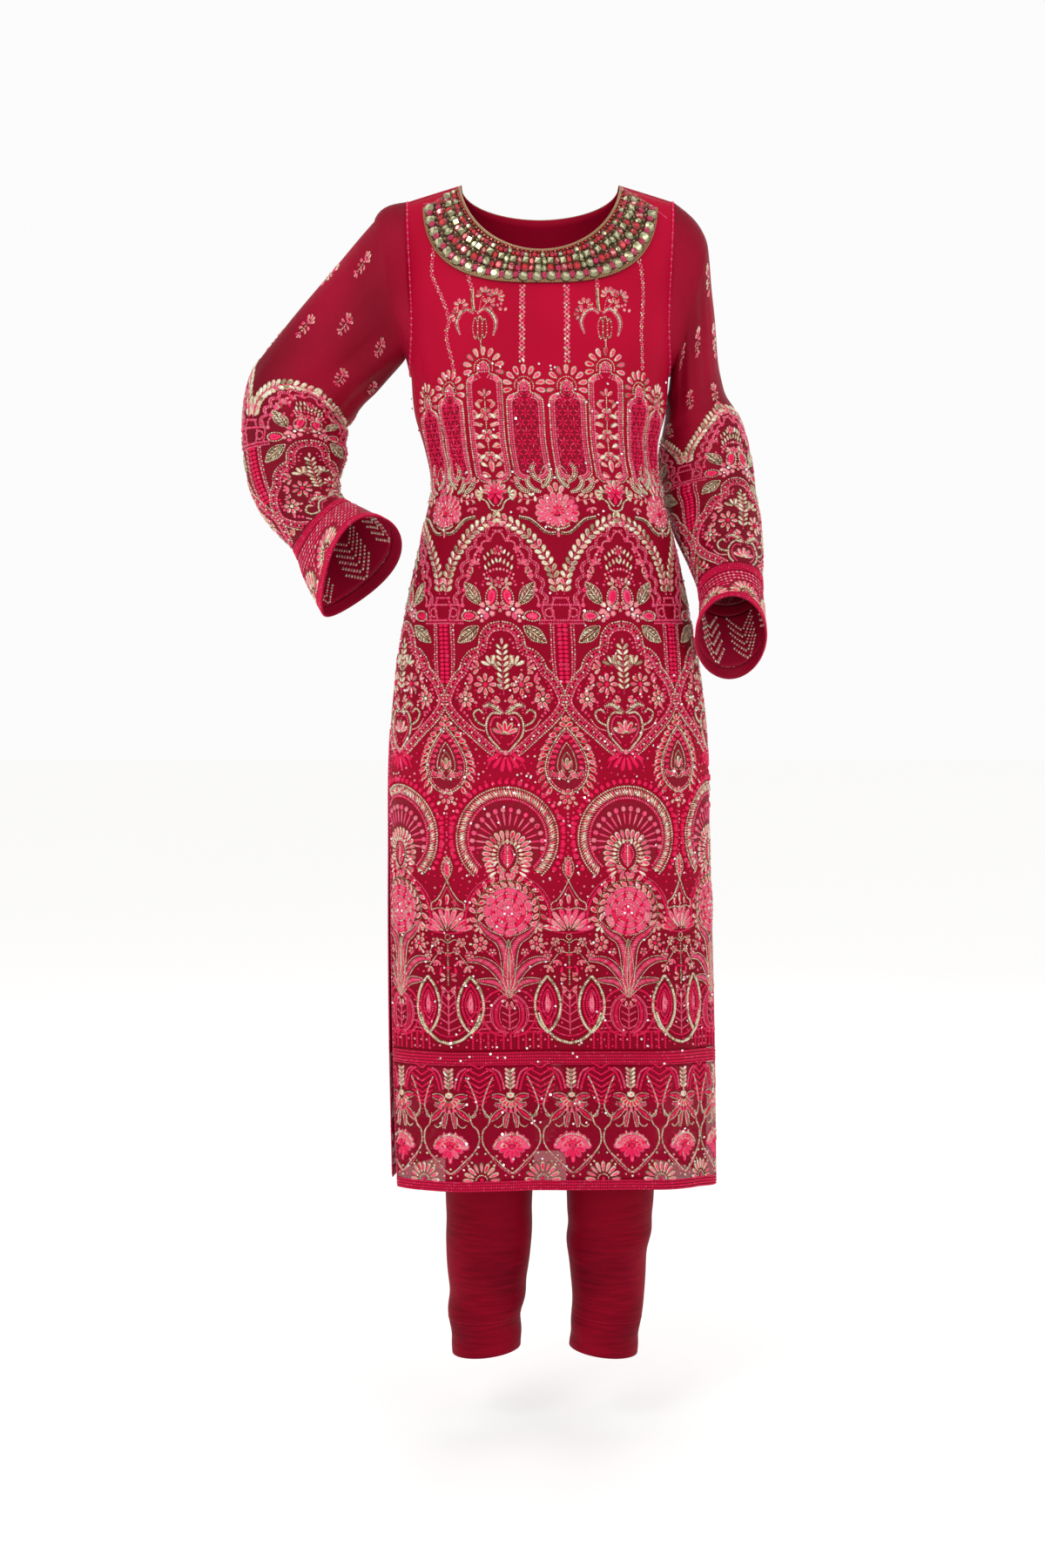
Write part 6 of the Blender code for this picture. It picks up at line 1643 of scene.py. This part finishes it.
# ---------------------------------------------------------------- embroidery of the hem borders
# The sheer border carries a row of drooping roses in gold ogees, each hung from a wheat stem, with
# chevrons between them, and half florets that stand on the hem. Front and back are alike.
REPEAT = 72.0
hem_rose = motif(
    fan(0, 12, 10, 24, -172, -8, 9, 10.5, ROSE, high=1.0, flat=0.8),
    fan(0, 10, 4, 15, -170, -10, 6, 9.0, PALE, HOT, high=1.5, flat=0.8),
    fan(0, 9, 2, 18, 25, 155, 5, 9.0, ROSE, HOT, high=1.3),
    rope(ring(0, 12, 20.5, -172, -8, 2.6, 16.5), GOLD, 3.0, 3.0, 0.3, high=2.4),
    fan(0, 9, 1, 8, -150, -30, 3, 5.0, HOT, HOT, high=2.0), stitched(KNOT, HOT, 0, 10, 0, 7.0, 7.0, 2.0),
    rope(ring(0, 12, 12, -165, -15, 2.6, 10), PALE, 2.4, 2.8, 0.3, high=2.3),
    fan(0, 12, 15, 22, -150, -30, 4, 2.4, PALE, PALE, high=1.8),
    stitched(PETAL, HOT, 0, 25, math.pi / 2, 12, 7.0, 1.2, ROSE),
)
border_cell = motif(
    leafy(curve([(0, 1064), (0, 1040)], 5.0), 8.4, 4.6, GOLD, PALE, 0.85),
    cord([(0, 1065), (0, 1038)], 2.4, GOLD, 1.7, 3.0, 0.3, high=1.4),
    stitched(KNOT, GOLD, 0, 1069, 0, 12, 9, 1.6), stitched(KNOT, PALE, 0, 1069, 0, 6, 5, 2.2),
    fan(0, 1071, 4, 15, 20, 160, 7, 6.0, GOLD, HOT, high=1.4), fan(0, 1074, 10, 17, 40, 140, 5, 5.6, ROSE),
    both(cord([(28, 1037), (19, 1042), (14, 1052), (11, 1064)], 2.6, HOT, 3.4, 3.6, 0.5, high=1.5),
        cord([(21, 1037), (13, 1042), (9, 1052), (7, 1062)], 2.6, ROSE, 3.0, 3.6, -0.4, high=1.2),
        blade([(5, 1073), (12, 1071), (22, 1070)], 6.4, HOT), blade([(6, 1078), (13, 1081), (19, 1079)], 5.0),
        blade([(8, 1085), (14, 1090), (24, 1099)], 6.4, HOT), blade([(3, 1089), (6, 1098), (7, 1108)], 4.8),
        cord([(9, 1094), (10, 1103), (16, 1107), (20, 1104)], 2.4, GOLD, 1.8, 3.0, 0.3),
        cord([(20, 1047), (25, 1057), (30, 1070), (33, 1082), (30, 1090), (25, 1096), (27, 1104), (33, 1111),
                (34, 1124), (28, 1136), (18, 1146), (8, 1156), (0, 1162)], 2.4, (GOLD, PALE, GOLD), 2.6, 3.0,
            0.35, high=1.4),
        cord([(27, 1138), (19, 1149), (9, 1158), (2, 1163)], 2.4, (ROSE, PALE), 1.5, 2.8, -0.3),
        rope(ring(27, 1091, 4.0, -60, 200, 2.2), GOLD, 1.6, 2.6, 0.3),
        dots([(19, 1154), (27, 1146)], 7, GOLD, 3.2), dots([(12, 1150), (20, 1138)], 8, PALE, 3.0),
        stitched(KNOT, GOLD, 31, 1138, 0, 3.6, 3.6, 1.4), stitched(KNOT, PALE, 8, 1164, 0, 3.0, 3.0, 1.3)),
    sown(hem_rose, (0,), 1120), stitched(KNOT, GOLD, 0, 1166, 0, 3.8, 3.8, 1.5),
    stitched(KNOT, GOLD, 0, 1156, 0, 3.2, 3.2, 1.5),
)
chevrons = both(np.concatenate([cord([(0, v + 0.6 * w), (w, v)], 2.4, HOT, 2.8, 3.4, 0.2, high=1.2)
    for v, w in zip(np.arange(1031, 1082, 6.4), (11, 14, 16, 17, 17, 15, 12, 8))]
    + [dots([(0, 1084), (0, 1092)], 4.0, ROSE, 2.6)]))
floret = motif(
    fan(0, 0, 8, 23, -178, -2, 9, 6.6, high=1.5), rope(ring(0, 0, 6.6, -180, 0, 2.4), GOLD, 1.8, 2.8, 0.4),
    stitched(KNOT, HOT, 0, -1, 0, 5, 5, 1.5),
)
border_columns = np.arange(-3, 4) * REPEAT
between = (np.arange(-4, 4) + 0.5) * REPEAT


def corded(v, wide, thread, slant=0.5, high=1.2):
    """A straight cord all along a lace."""
    return cord([(-252, v), (252, v)], 2.9, thread, wide, 3.5, slant, high=high)


def lace_cords(top, rows):
    return np.concatenate([corded(top + at, wide, thread, slant, high)
            for at, wide, thread, slant, high in rows])


join_cords = lace_cords(1018,
    ((1.2, 2.0, HOT, 0.4, 1.4), (5.0, 2.5, HOT, 0.8, 1.5), (8.6, 2.5, HOT, -0.8, 1.5),
        (12.2, 2.5, HOT, 0.8, 1.5), (15.0, 1.6, HOT, -0.4, 1.4)))
hem_cords = lace_cords(1170.5,
    ((1.2, 1.9, HOT, 0.4, 1.4), (4.4, 2.4, HOT, 0.8, 1.4), (7.9, 2.4, HOT, -0.8, 1.4),
        (11.1, 1.9, HOT, 0.4, 1.4)))
for panel, word in ((front, "front"), (back, "back")):
    sew(f"embroidery_{word}_border",
        [sown(border_cell, border_columns), sown(chevrons, between), sown(floret, between, 1170)], panel)
    sew(f"cords_{word}_laces", [join_cords, hem_cords], panel, 0.3)

# ---------------------------------------------------------------- embroidery of the sleeves
# Small sprigs are scattered over the upper sleeves. The forearms repeat the arches, bunches and
# medallions of the front down to the cuff lace, and the cuffs wear a lattice with half florets.
sprig = motif(
    fan(0, 0, 2, 8, -150, -30, 4, 4.4), fan(0, 3, 2, 8, -200, 20, 4, 4.0, PALE),
    stitched(KNOT, ROSE, 0, 0, 0, 4, 4, 1.5), cord([(0, 1), (0.6, 8), (-0.6, 14)], 2.4, GOLD, 1.6, 3.0, 0.4),
    both(stitched(PETAL, GOLD, 4, 9, 0.4, 6.5, 3.6, 1.1, ROSE)), fan(0, 13, 1, 6, 40, 140, 3, 3.4, PALE),
)
FOREARM = {
    # axis of a bunch across, and depths of the sleeve for depths of the front's design
    "right": (110.0, (392, 486, 668), (150, 203, 385)), "left": (52.0, (392, 486, 668), (127, 190, 372)),
}
SPRIGS = {
    "right": ((60, 18), (20, 52), (88, 66), (-40, 30), (140, 40), (48, 100), (0, 128), (120, 112), (-70, 92),
        (-120, 50), (170, 86), (-140, 118), (-30, 160), (-100, 160)),
    "left": ((40, 14), (78, 44), (30, 62), (-30, 30), (124, 24), (95, 96), (48, 108), (-60, 76), (-120, 46),
        (-20, 98), (160, 76), (-100, 104), (140, 122)),
}
sides = PITCH, -PITCH
whole_row = motif(both(garland_rows), capital, column, sown(both(garland_rows), sides), sown(capital, sides),
    sown(column, sides), sown(arch, ODD), sown(bunch, ODD, 500), sown(medallion, ODD, 609),
    sown(tear, (-PITCH, 0, PITCH), 681))
for word in ("right", "left"):
    tube, (join, band, hem, end) = sleeves[word], (at * 1000 for at in CUFFS[word])
    axis, design, sleeve_depths = FOREARM[word]
    rows = sown(whole_row, (axis - 0.5 * PITCH,))
    rows[:, 4] = np.interp(rows[:, 4], (*design, 800), (*sleeve_depths, sleeve_depths[-1] + 132))
    half_round = np.interp(rows[:, 4] * 0.001, tube.alongs, tube.girth) * 500 - 2
    rows = rows[(rows[:, 4] + rows[:, 6] / 2 < join - 1) & (np.abs(rows[:, 3]) < half_round)]
    sew(f"embroidery_forearm_{word}", [rows], tube)
    sew(f"embroidery_sprigs_{word}", [sown(sprig, (u,), v) for u, v in SPRIGS[word]], tube)

    cords, half_cuff = [], float(np.interp(band * 0.001, tube.alongs, tube.girth)) * 500
    for v, wide, thread, slant in (
            (join + 1.4, 2.2, HOT, 0.4), (join + 4.8, 2.7, HOT, 0.8),
            (join + 8.2, 2.7, HOT, -0.8), (join + 11.6, 1.9, HOT, 0.4),
            (hem + 1.4, 2.0, HOT, 0.4), (hem + 4.8, 2.7, HOT, 0.8),
            (hem + 8.2, 2.5, HOT, -0.8), (end - 1.2, 2.0, HOT, 0.4)):
        half = float(np.interp(v * 0.001, tube.alongs, tube.girth)) * 500
        cords.append(cord([(-half, v), (half, v)], 2.9, thread, wide, 3.5, slant, high=1.3))
    sew(f"cords_cuff_{word}", cords, tube, 0.3)
    count = round(2 * half_cuff / 62)
    seats = (np.arange(count) + (0.0 if word == "right" else 0.5)) * 2 * half_cuff / count - half_cuff
    foot = hem - 1
    cells = [sown(motif(fan(0, 0, 9, 29, -178, -2, 11, 8.2, high=1.6),
        rope(ring(0, 0, 7.4, -180, 0, 2.4), GOLD, 2.0, 2.8, 0.4),
        fan(0, 0, 1, 6, -150, -30, 3, 4.0, ROSE, HOT)), seats, foot)]
    grid_u, grid_v = np.meshgrid(np.arange(-half_cuff, half_cuff, 6.2), np.arange(band + 4, foot, 6.2))
    near = np.min([np.hypot(grid_u - seat, grid_v - foot) for seat in seats], axis=0)
    grid_u, grid_v = grid_u[near > 31], grid_v[near > 31]
    cells.append(stitched(TILE, np.resize((BLUSH, ROSE, PALE), grid_u.size), grid_u.ravel(), grid_v.ravel(),
        0.785, 4.6, 4.6, 1.4))
    for way in (-1, 1):
        cells.append(stitched(GRAIN, HOT, grid_u + 3.1, grid_v, way * 0.8, 7.0, 1.2, 0.8))
    sew(f"embroidery_cuff_{word}", cells, tube)
    inside = [both(sown(np.concatenate([
                           cord([(1, v), (11, v - 8), (21, v - 16)], 3.6, (BRIGHT, PALE), 4.4, 3.6, -0.6)
                           for v in np.arange(foot - 1, band + 14, -7.6)]), (seat,)), axis=seat)
        for seat in seats]
    sew(f"embroidery_cuff_inside_{word}", inside, tube, -CLOTH * 1000, inward=True)

# ---------------------------------------------------------------- stones of the neck piece
# Foil-backed crystals, glass beads and small red stones in dark settings, sewn in rows between two
# rolled edges of gold-brown thread.
ROUND, SQUARE, BEAD, CHIP = range(4)
FOIL, FUCHSIA, RED, PINK, SETTING, EDGE_GOLD, FOIL_SHADED, RED_SHADED = range(8)
# Colour of each stone's side facets: darker copies of the crystal and red stone colours as painted shade.
SHADED_SIDES = {FOIL: FOIL_SHADED, FUCHSIA: FUCHSIA, RED: RED_SHADED, PINK: RED_SHADED, EDGE_GOLD: EDGE_GOLD,
    SETTING: SETTING}


stone_finishes = [
    finish_named(name, colour, roughness, Metallic=metal, Coat_Weight=clear, Coat_Roughness=0.04)[0]
    for name, colour, roughness, metal, clear in (("crystal_foil", (0.68, 0.65, 0.42), 0.26, 0.75, 0.3),
        ("fuchsia_bead", (0.42, 0.002, 0.06), 0.2, 0.15, 0.5),
        ("red_stone", (0.66, 0.01, 0.014), 0.16, 0.25, 0.6),
        ("pale_pink_stone", (0.7, 0.3, 0.3), 0.14, 0.65, 0.6),
        ("dark_setting", (0.1, 0.07, 0.042), 0.45, 0.6, 0.0),
        ("rolled_zari_edge", (0.46, 0.29, 0.15), 0.4, 0.5, 0.0),
        # painted shade: darker copies of the crystal and red stone colours for their side facets
        ("crystal_painted_shade", (0.27, 0.255, 0.13), 0.2, 0.85, 0.5),
        ("red_stone_painted_shade", (0.3, 0.004, 0.01), 0.2, 0.3, 0.5))]


def stone_shape(sides, turned, levels):
    """Rings from the cloth up, each a share of the size at a height, closed by a flat top."""
    form = bmesh.new()
    bmesh.ops.create_circle(form, cap_ends=True, radius=0.5, segments=sides)
    bmesh.ops.rotate(form, verts=form.verts, cent=(0, 0, 0), matrix=Matrix.Rotation(turned, 3, "Z"))
    bmesh.ops.translate(form, verts=form.verts, vec=(0, 0, -0.15))
    bmesh.ops.scale(form, verts=form.verts, vec=(levels[0][0], levels[0][0], 1))
    faces, share, height = list(form.faces), levels[0][0], -0.15
    for level, up in levels[1:]:
        raised = bmesh.ops.extrude_face_region(form, geom=faces)["geom"]
        top = [part for part in raised if isinstance(part, bmesh.types.BMVert)]
        faces = [part for part in raised if isinstance(part, bmesh.types.BMFace)]
        bmesh.ops.scale(form, verts=top, vec=(level / share, level / share, 1))
        bmesh.ops.translate(form, verts=top, vec=(0, 0, up - height))
        share, height = level, up
    bmesh.ops.triangulate(form, faces=form.faces)
    corners = np.array([corner.co for corner in form.verts])
    faces = np.array([[corner.index for corner in face.verts] for face in form.faces])
    form.free()
    a, b, c = (corners[faces[:, k]] for k in range(3))
    inward = (np.cross(b - a, c - a) * ((a + b + c) / 3 - (0, 0, 0.2))).sum(1) < 0
    faces[inward] = faces[inward][:, ::-1]
    low, high = corners[faces][:, :, 2].min(1), corners[faces][:, :, 2].max(1)
    setting = np.where(high < 0.58, 0, np.where(low < 0.9, 1, 2))   # the metal claw, the side facets in painted shade, the top
    setting[(setting == 2) & (np.arange(len(faces)) % 3 == 0)] = 1   # some top facets take the painted shade of the side facets too
    return corners, faces, setting


stone_shapes = {
    ROUND: stone_shape(10, 0.0, ((1.14, -0.15), (1.1, 0.4), (1.0, 0.55), (0.56, 1.0))),
    SQUARE: stone_shape(4, math.pi / 4, ((1.56, -0.15), (1.5, 0.4), (1.36, 0.55), (0.96, 1.0))),
    BEAD: stone_shape(8, 0.3, ((0.86, -0.15), (1.0, 0.35), (0.86, 0.75), (0.45, 1.0))),
    CHIP: stone_shape(6, 0.5, ((1.1, -0.15), (1.0, 0.4), (0.5, 1.0))),
}
path_shares = np.linspace(-1, 1, 401)


def along_bib(inward, count, first=0.5, margin=0.0):
    """Even places along the neck piece at one distance in from its outer edge."""
    path = bib.at(path_shares, np.full(401, inward))
    run = run_of(path)
    usable = run[-1] - 2 * margin
    return np.interp(margin + (np.arange(count) + first) / count * usable, run, path_shares)


def stone_row(shape, colour, inward, count, along, across, high, first=0.5):
    turns = along_bib(inward, count, first, 0.004)
    return np.stack(np.broadcast_arrays(shape, np.resize(colour, count), turns, inward, along, across, high,
                                        0.0), -1).astype(float)


shake = np.random.default_rng(11)
PAIRS = 23
rows = np.concatenate((
    stone_row(ROUND, FOIL, 0.165, PAIRS, 12.8, 12.8, 5.4, 0.25),
    stone_row(BEAD, FUCHSIA, 0.185, PAIRS, 8.4, 9.4, 5.0, 0.75),
    stone_row(ROUND, (RED, PINK, RED, FOIL), 0.42, PAIRS, 9.4, 11.6, 4.4, 0.3),
    stone_row(BEAD, (FUCHSIA, RED, FOIL), 0.405, PAIRS, 7.6, 9.0, 4.0, 0.8),
    stone_row(SQUARE, FOIL, 0.645, PAIRS, 8.4, 8.8, 4.6, 0.3),
    stone_row(ROUND, (PINK, RED, FOIL), 0.63, PAIRS, 7.2, 10.4, 4.0, 0.8),
    stone_row(ROUND, (FOIL, RED), 0.82, PAIRS + 9, 6.6, 7.2, 3.6, 0.3),
    stone_row(BEAD, (RED, FUCHSIA), 0.81, PAIRS + 9, 4.8, 6.0, 3.2, 0.8),
    stone_row(CHIP, (RED, RED, PINK), 0.915, 64, 4.2, 4.2, 2.6),
    *[stone_row(CHIP, (SETTING, EDGE_GOLD), inward, 92, 4.0, 3.0, 1.8)
        for inward in (0.085, 0.29, 0.53, 0.74)],
))
rows[:, 2] += shake.normal(0, 0.0016, len(rows))
rows[:, 3] += shake.normal(0, 0.008, len(rows))
rows[:, 7] = shake.normal(0, 0.16, len(rows))
edge_turns = [along_bib(inward, 150) for inward in (0.025, 0.055, 0.965, 0.985)]
rows = np.concatenate([rows] + [
    np.stack(np.broadcast_arrays(CHIP, EDGE_GOLD, turns, inward, 3.6, 1.9, 1.9, slant), -1).astype(float)
    for turns, inward, slant in zip(edge_turns, (0.025, 0.06, 0.962, 0.985), (0.5, -0.5, 0.5, -0.5))])
for end in (-0.985, 0.985):
    inwards = np.linspace(0.03, 0.97, 16)
    rows = np.concatenate((rows,
        np.stack(np.broadcast_arrays(CHIP, EDGE_GOLD, end, inwards, 2.2, 3.4, 1.9, 0.5), -1)))
places, faces, colours, first = [], [], [], 0
for shape, (corners, triangles, setting) in stone_shapes.items():
    row = rows[rows[:, 0] == shape]
    spot = bib.at(row[:, 2], row[:, 3])
    along = bib.at(row[:, 2] + 0.004, row[:, 3]) - bib.at(row[:, 2] - 0.004, row[:, 3])
    up = bib.at(row[:, 2], row[:, 3], np.ones(len(row))) - spot
    along = unit(along)
    lean = shake.normal(0, 0.1, (2, len(row), 1)) * (row[:, 1:2] != EDGE_GOLD)
    up += along * lean[0] + np.cross(up, along) * lean[1]
    up = unit(up)
    along = unit(along - up * (along * up).sum(1, keepdims=True))
    inward = np.cross(up, along)
    cos, sin = np.cos(row[:, 7:8]), np.sin(row[:, 7:8])
    along, inward = along * cos + inward * sin, inward * cos - along * sin
    size = row[:, 4:7] * 0.001
    local = corners[None] * size[:, None, :]
    made = (spot[:, None] + along[:, None] * local[..., :1] + inward[:, None] * local[..., 1:2]
            + up[:, None] * local[..., 2:])
    places.append(made.reshape(-1, 3))
    faces.append((first + np.arange(len(row))[:, None, None] * len(corners) + triangles).reshape(-1, 3))
    # the side facets take their stone's painted shade colour
    sides = np.array([SHADED_SIDES[int(colour)] for colour in row[:, 1]])[:, None]
    claws = np.where(row[:, 1:2] == EDGE_GOLD, EDGE_GOLD, SETTING)
    colours.append(np.choose(setting[None, :], (claws, sides, row[:, 1:2])).ravel())
    first += len(row) * len(corners)
mesh = bpy.data.meshes.new("neck_stones")
mesh.from_pydata(np.concatenate(places), [], np.concatenate(faces))
stones = piece_named("neck_stones", mesh, *stone_finishes)
mesh.polygons.foreach_set("material_index", np.concatenate(colours).astype(np.int32))
mesh.update()
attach(stones, "root")

# ---------------------------------------------------------------- seams, edges and hems
# The armholes and the slit edges are finished with a fine corded edge, the trouser hems are turned
# up and stitched, and the back carries a few scattered sprigs.


class Seam:
    """A run of places with an outward direction, taken as a narrow ribbon."""

    def __init__(self, places, facing):
        self.places, self.run = places, run_of(places) * 1000
        self.side, self.facing = unit(np.cross(facing, np.gradient(places, axis=0))), unit(facing)

    def on(self, u, v, lift=0.0):
        read = lambda table: np.stack([np.interp(v, self.run, table[:, k]) for k in range(3)], -1)
        return (read(self.places) + read(self.side) * np.asarray(u)[..., None] * 0.001
                + read(self.facing) * np.asarray(lift)[..., None] * 0.001)

    def sewn(self, name, thread, wide, long, slant, high, step=2.6, rise=0.0):
        """One cord from end to end."""
        line = curve([(0, 1), (0, self.run[-1] / 2), (0, self.run[-1] - 1)], step)
        sew(name, [rope(line, thread, wide, long, slant, high=high)], self, rise)


for word, side in (("right", -1), ("left", 1)):
    tube = sleeves[word]
    around = np.linspace(0, 1, 200)
    armhole = tube.armhole(around)
    armhole[:, 0] += side * ARMHOLE_GAP * 0.5
    facing = armhole - armhole[:-1].mean(axis=0)
    facing[:, 0] = 0.0
    facing = unit(facing)
    Seam(armhole, facing).sewn(f"seam_armhole_{word}", (HOT, HOT, ROSE), 3.6, 3.4, 0.35, 0.9, rise=-0.2)

for panel, word in ((front, "front"), (back, "back")):
    depths = np.linspace(SLIT_TOP + 0.004, HEM - 0.002, 160)
    for side in (-1, 1):
        across = side * (panel.run_at(depths / CAP) * 1000 - 1.2)
        low, up = (panel.on(across, depths * 1000, np.full(160, lift)) for lift in (0.0, 1.0))
        Seam(low, up - low).sewn(f"edge_{word}_slit_{'right' if side < 0 else 'left'}", (HOT, ROSE), 2.0, 3.2,
            0.4, 1.1)
back_sprigs = [sown(sprig, (u + 38 * (row % 2),), 70 + 82 * row) for row in range(11)
               for u in np.arange(-228, 229, 76)]
sew("embroidery_back", back_sprigs, back)
# Small knots fill the bare ground of the skirt between the motifs.
grid_u, grid_v = np.meshgrid(np.arange(-240, 241, 2.0), np.arange(560, 1014, 2.0))
taken = np.zeros(grid_u.shape, bool)
for rows in laid_on_front:
    at_u, at_v = np.rint((rows[:, 3] + 240) / 2).astype(int), np.rint((rows[:, 4] - 560) / 2).astype(int)
    seen = (at_u >= 0) & (at_u < 241) & (at_v >= 0) & (at_v < grid_v.shape[0])
    taken[at_v[seen], at_u[seen]] = True
clear, room = np.zeros(taken.shape), taken.copy()
for step in range(1, 9):
    clear += ~room
    room = (room | np.roll(room, 1, 0) | np.roll(room, -1, 0) | np.roll(room, 1, 1) | np.roll(room, -1, 1))
spots = []
for choice in np.random.default_rng(8).permutation(clear.size):
    row, column = divmod(int(choice), clear.shape[1])
    if clear[row, column] >= 3:
        spots.append((grid_u[row, column], grid_v[row, column]))
        clear[max(row - 3, 0):row + 4, max(column - 3, 0):column + 4] = 0
spots = np.array(spots)
sew("knots_skirt_ground",
    [stitched(KNOT, np.resize((HOT, ROSE, HOT, PALE), len(spots)), spots[:, 0] - 1.5, spots[:, 1], 0, 3.4,
        3.4, 1.4)])
SPARKLES = 420
spread = np.random.default_rng(5)
sparkle_u, sparkle_v = spread.uniform(-235, 235, SPARKLES), 205 + 955 * spread.uniform(0, 1, SPARKLES) ** 0.85
sew("sequins_front",
    [stitched(SEQUIN, SILVER, sparkle_u, sparkle_v, spread.uniform(0, 6.28, SPARKLES), 2.7, 2.7, 3.0)], front,
    1.2)

TROUSER_HEM = 0.045
for word, side, rings in (("right", -1, LEG_RIGHT), ("left", 1, LEG_LEFT)):
    turn = np.linspace(0, 1, 160)
    ring_places = leg_ring(rings, -(LEG_HEM - TROUSER_HEM), turn, side)
    ring_places[-1] = ring_places[0]
    facing = ring_places - ring_places[:-1].mean(axis=0)
    facing[:, 2] = 0.0
    Seam(ring_places, facing).sewn(f"stitches_trouser_hem_{word}", HOT, 0.7, 2.2, 0.0, 0.5,
        3.4)

# ---------------------------------------------------------------- the cloth of the cut
# Every flat piece that a maker cuts has its flat UV map read back. The binding and the side seams close the
# kameez; the waistband is drawn in over both legs.
for word, beside in (("front", "kameez_back_cloth"), ("back", "trousers_left")):
    declare_sheet(panel_pieces[word])
    for name, above in ((f"{word}_border", f"{word}_join_lace_cloth"),
            (f"{word}_join_lace", f"kameez_{word}_cloth"), (f"{word}_hem_lace", f"{word}_border_cloth")):
        declare_sheet(panel_pieces[name])
for word in ("right", "left"):
    for name in (f"sleeve_{word}_cloth", f"cuff_join_lace_{word}_cloth", f"cuff_{word}_cloth",
                 f"cuff_hem_lace_{word}_cloth"):
        declare_sheet(sleeve_cloths[name])
    declare_sheet(trouser_pieces[word])
declare_sheet(waistband)
declare_sheet(bib_piece)
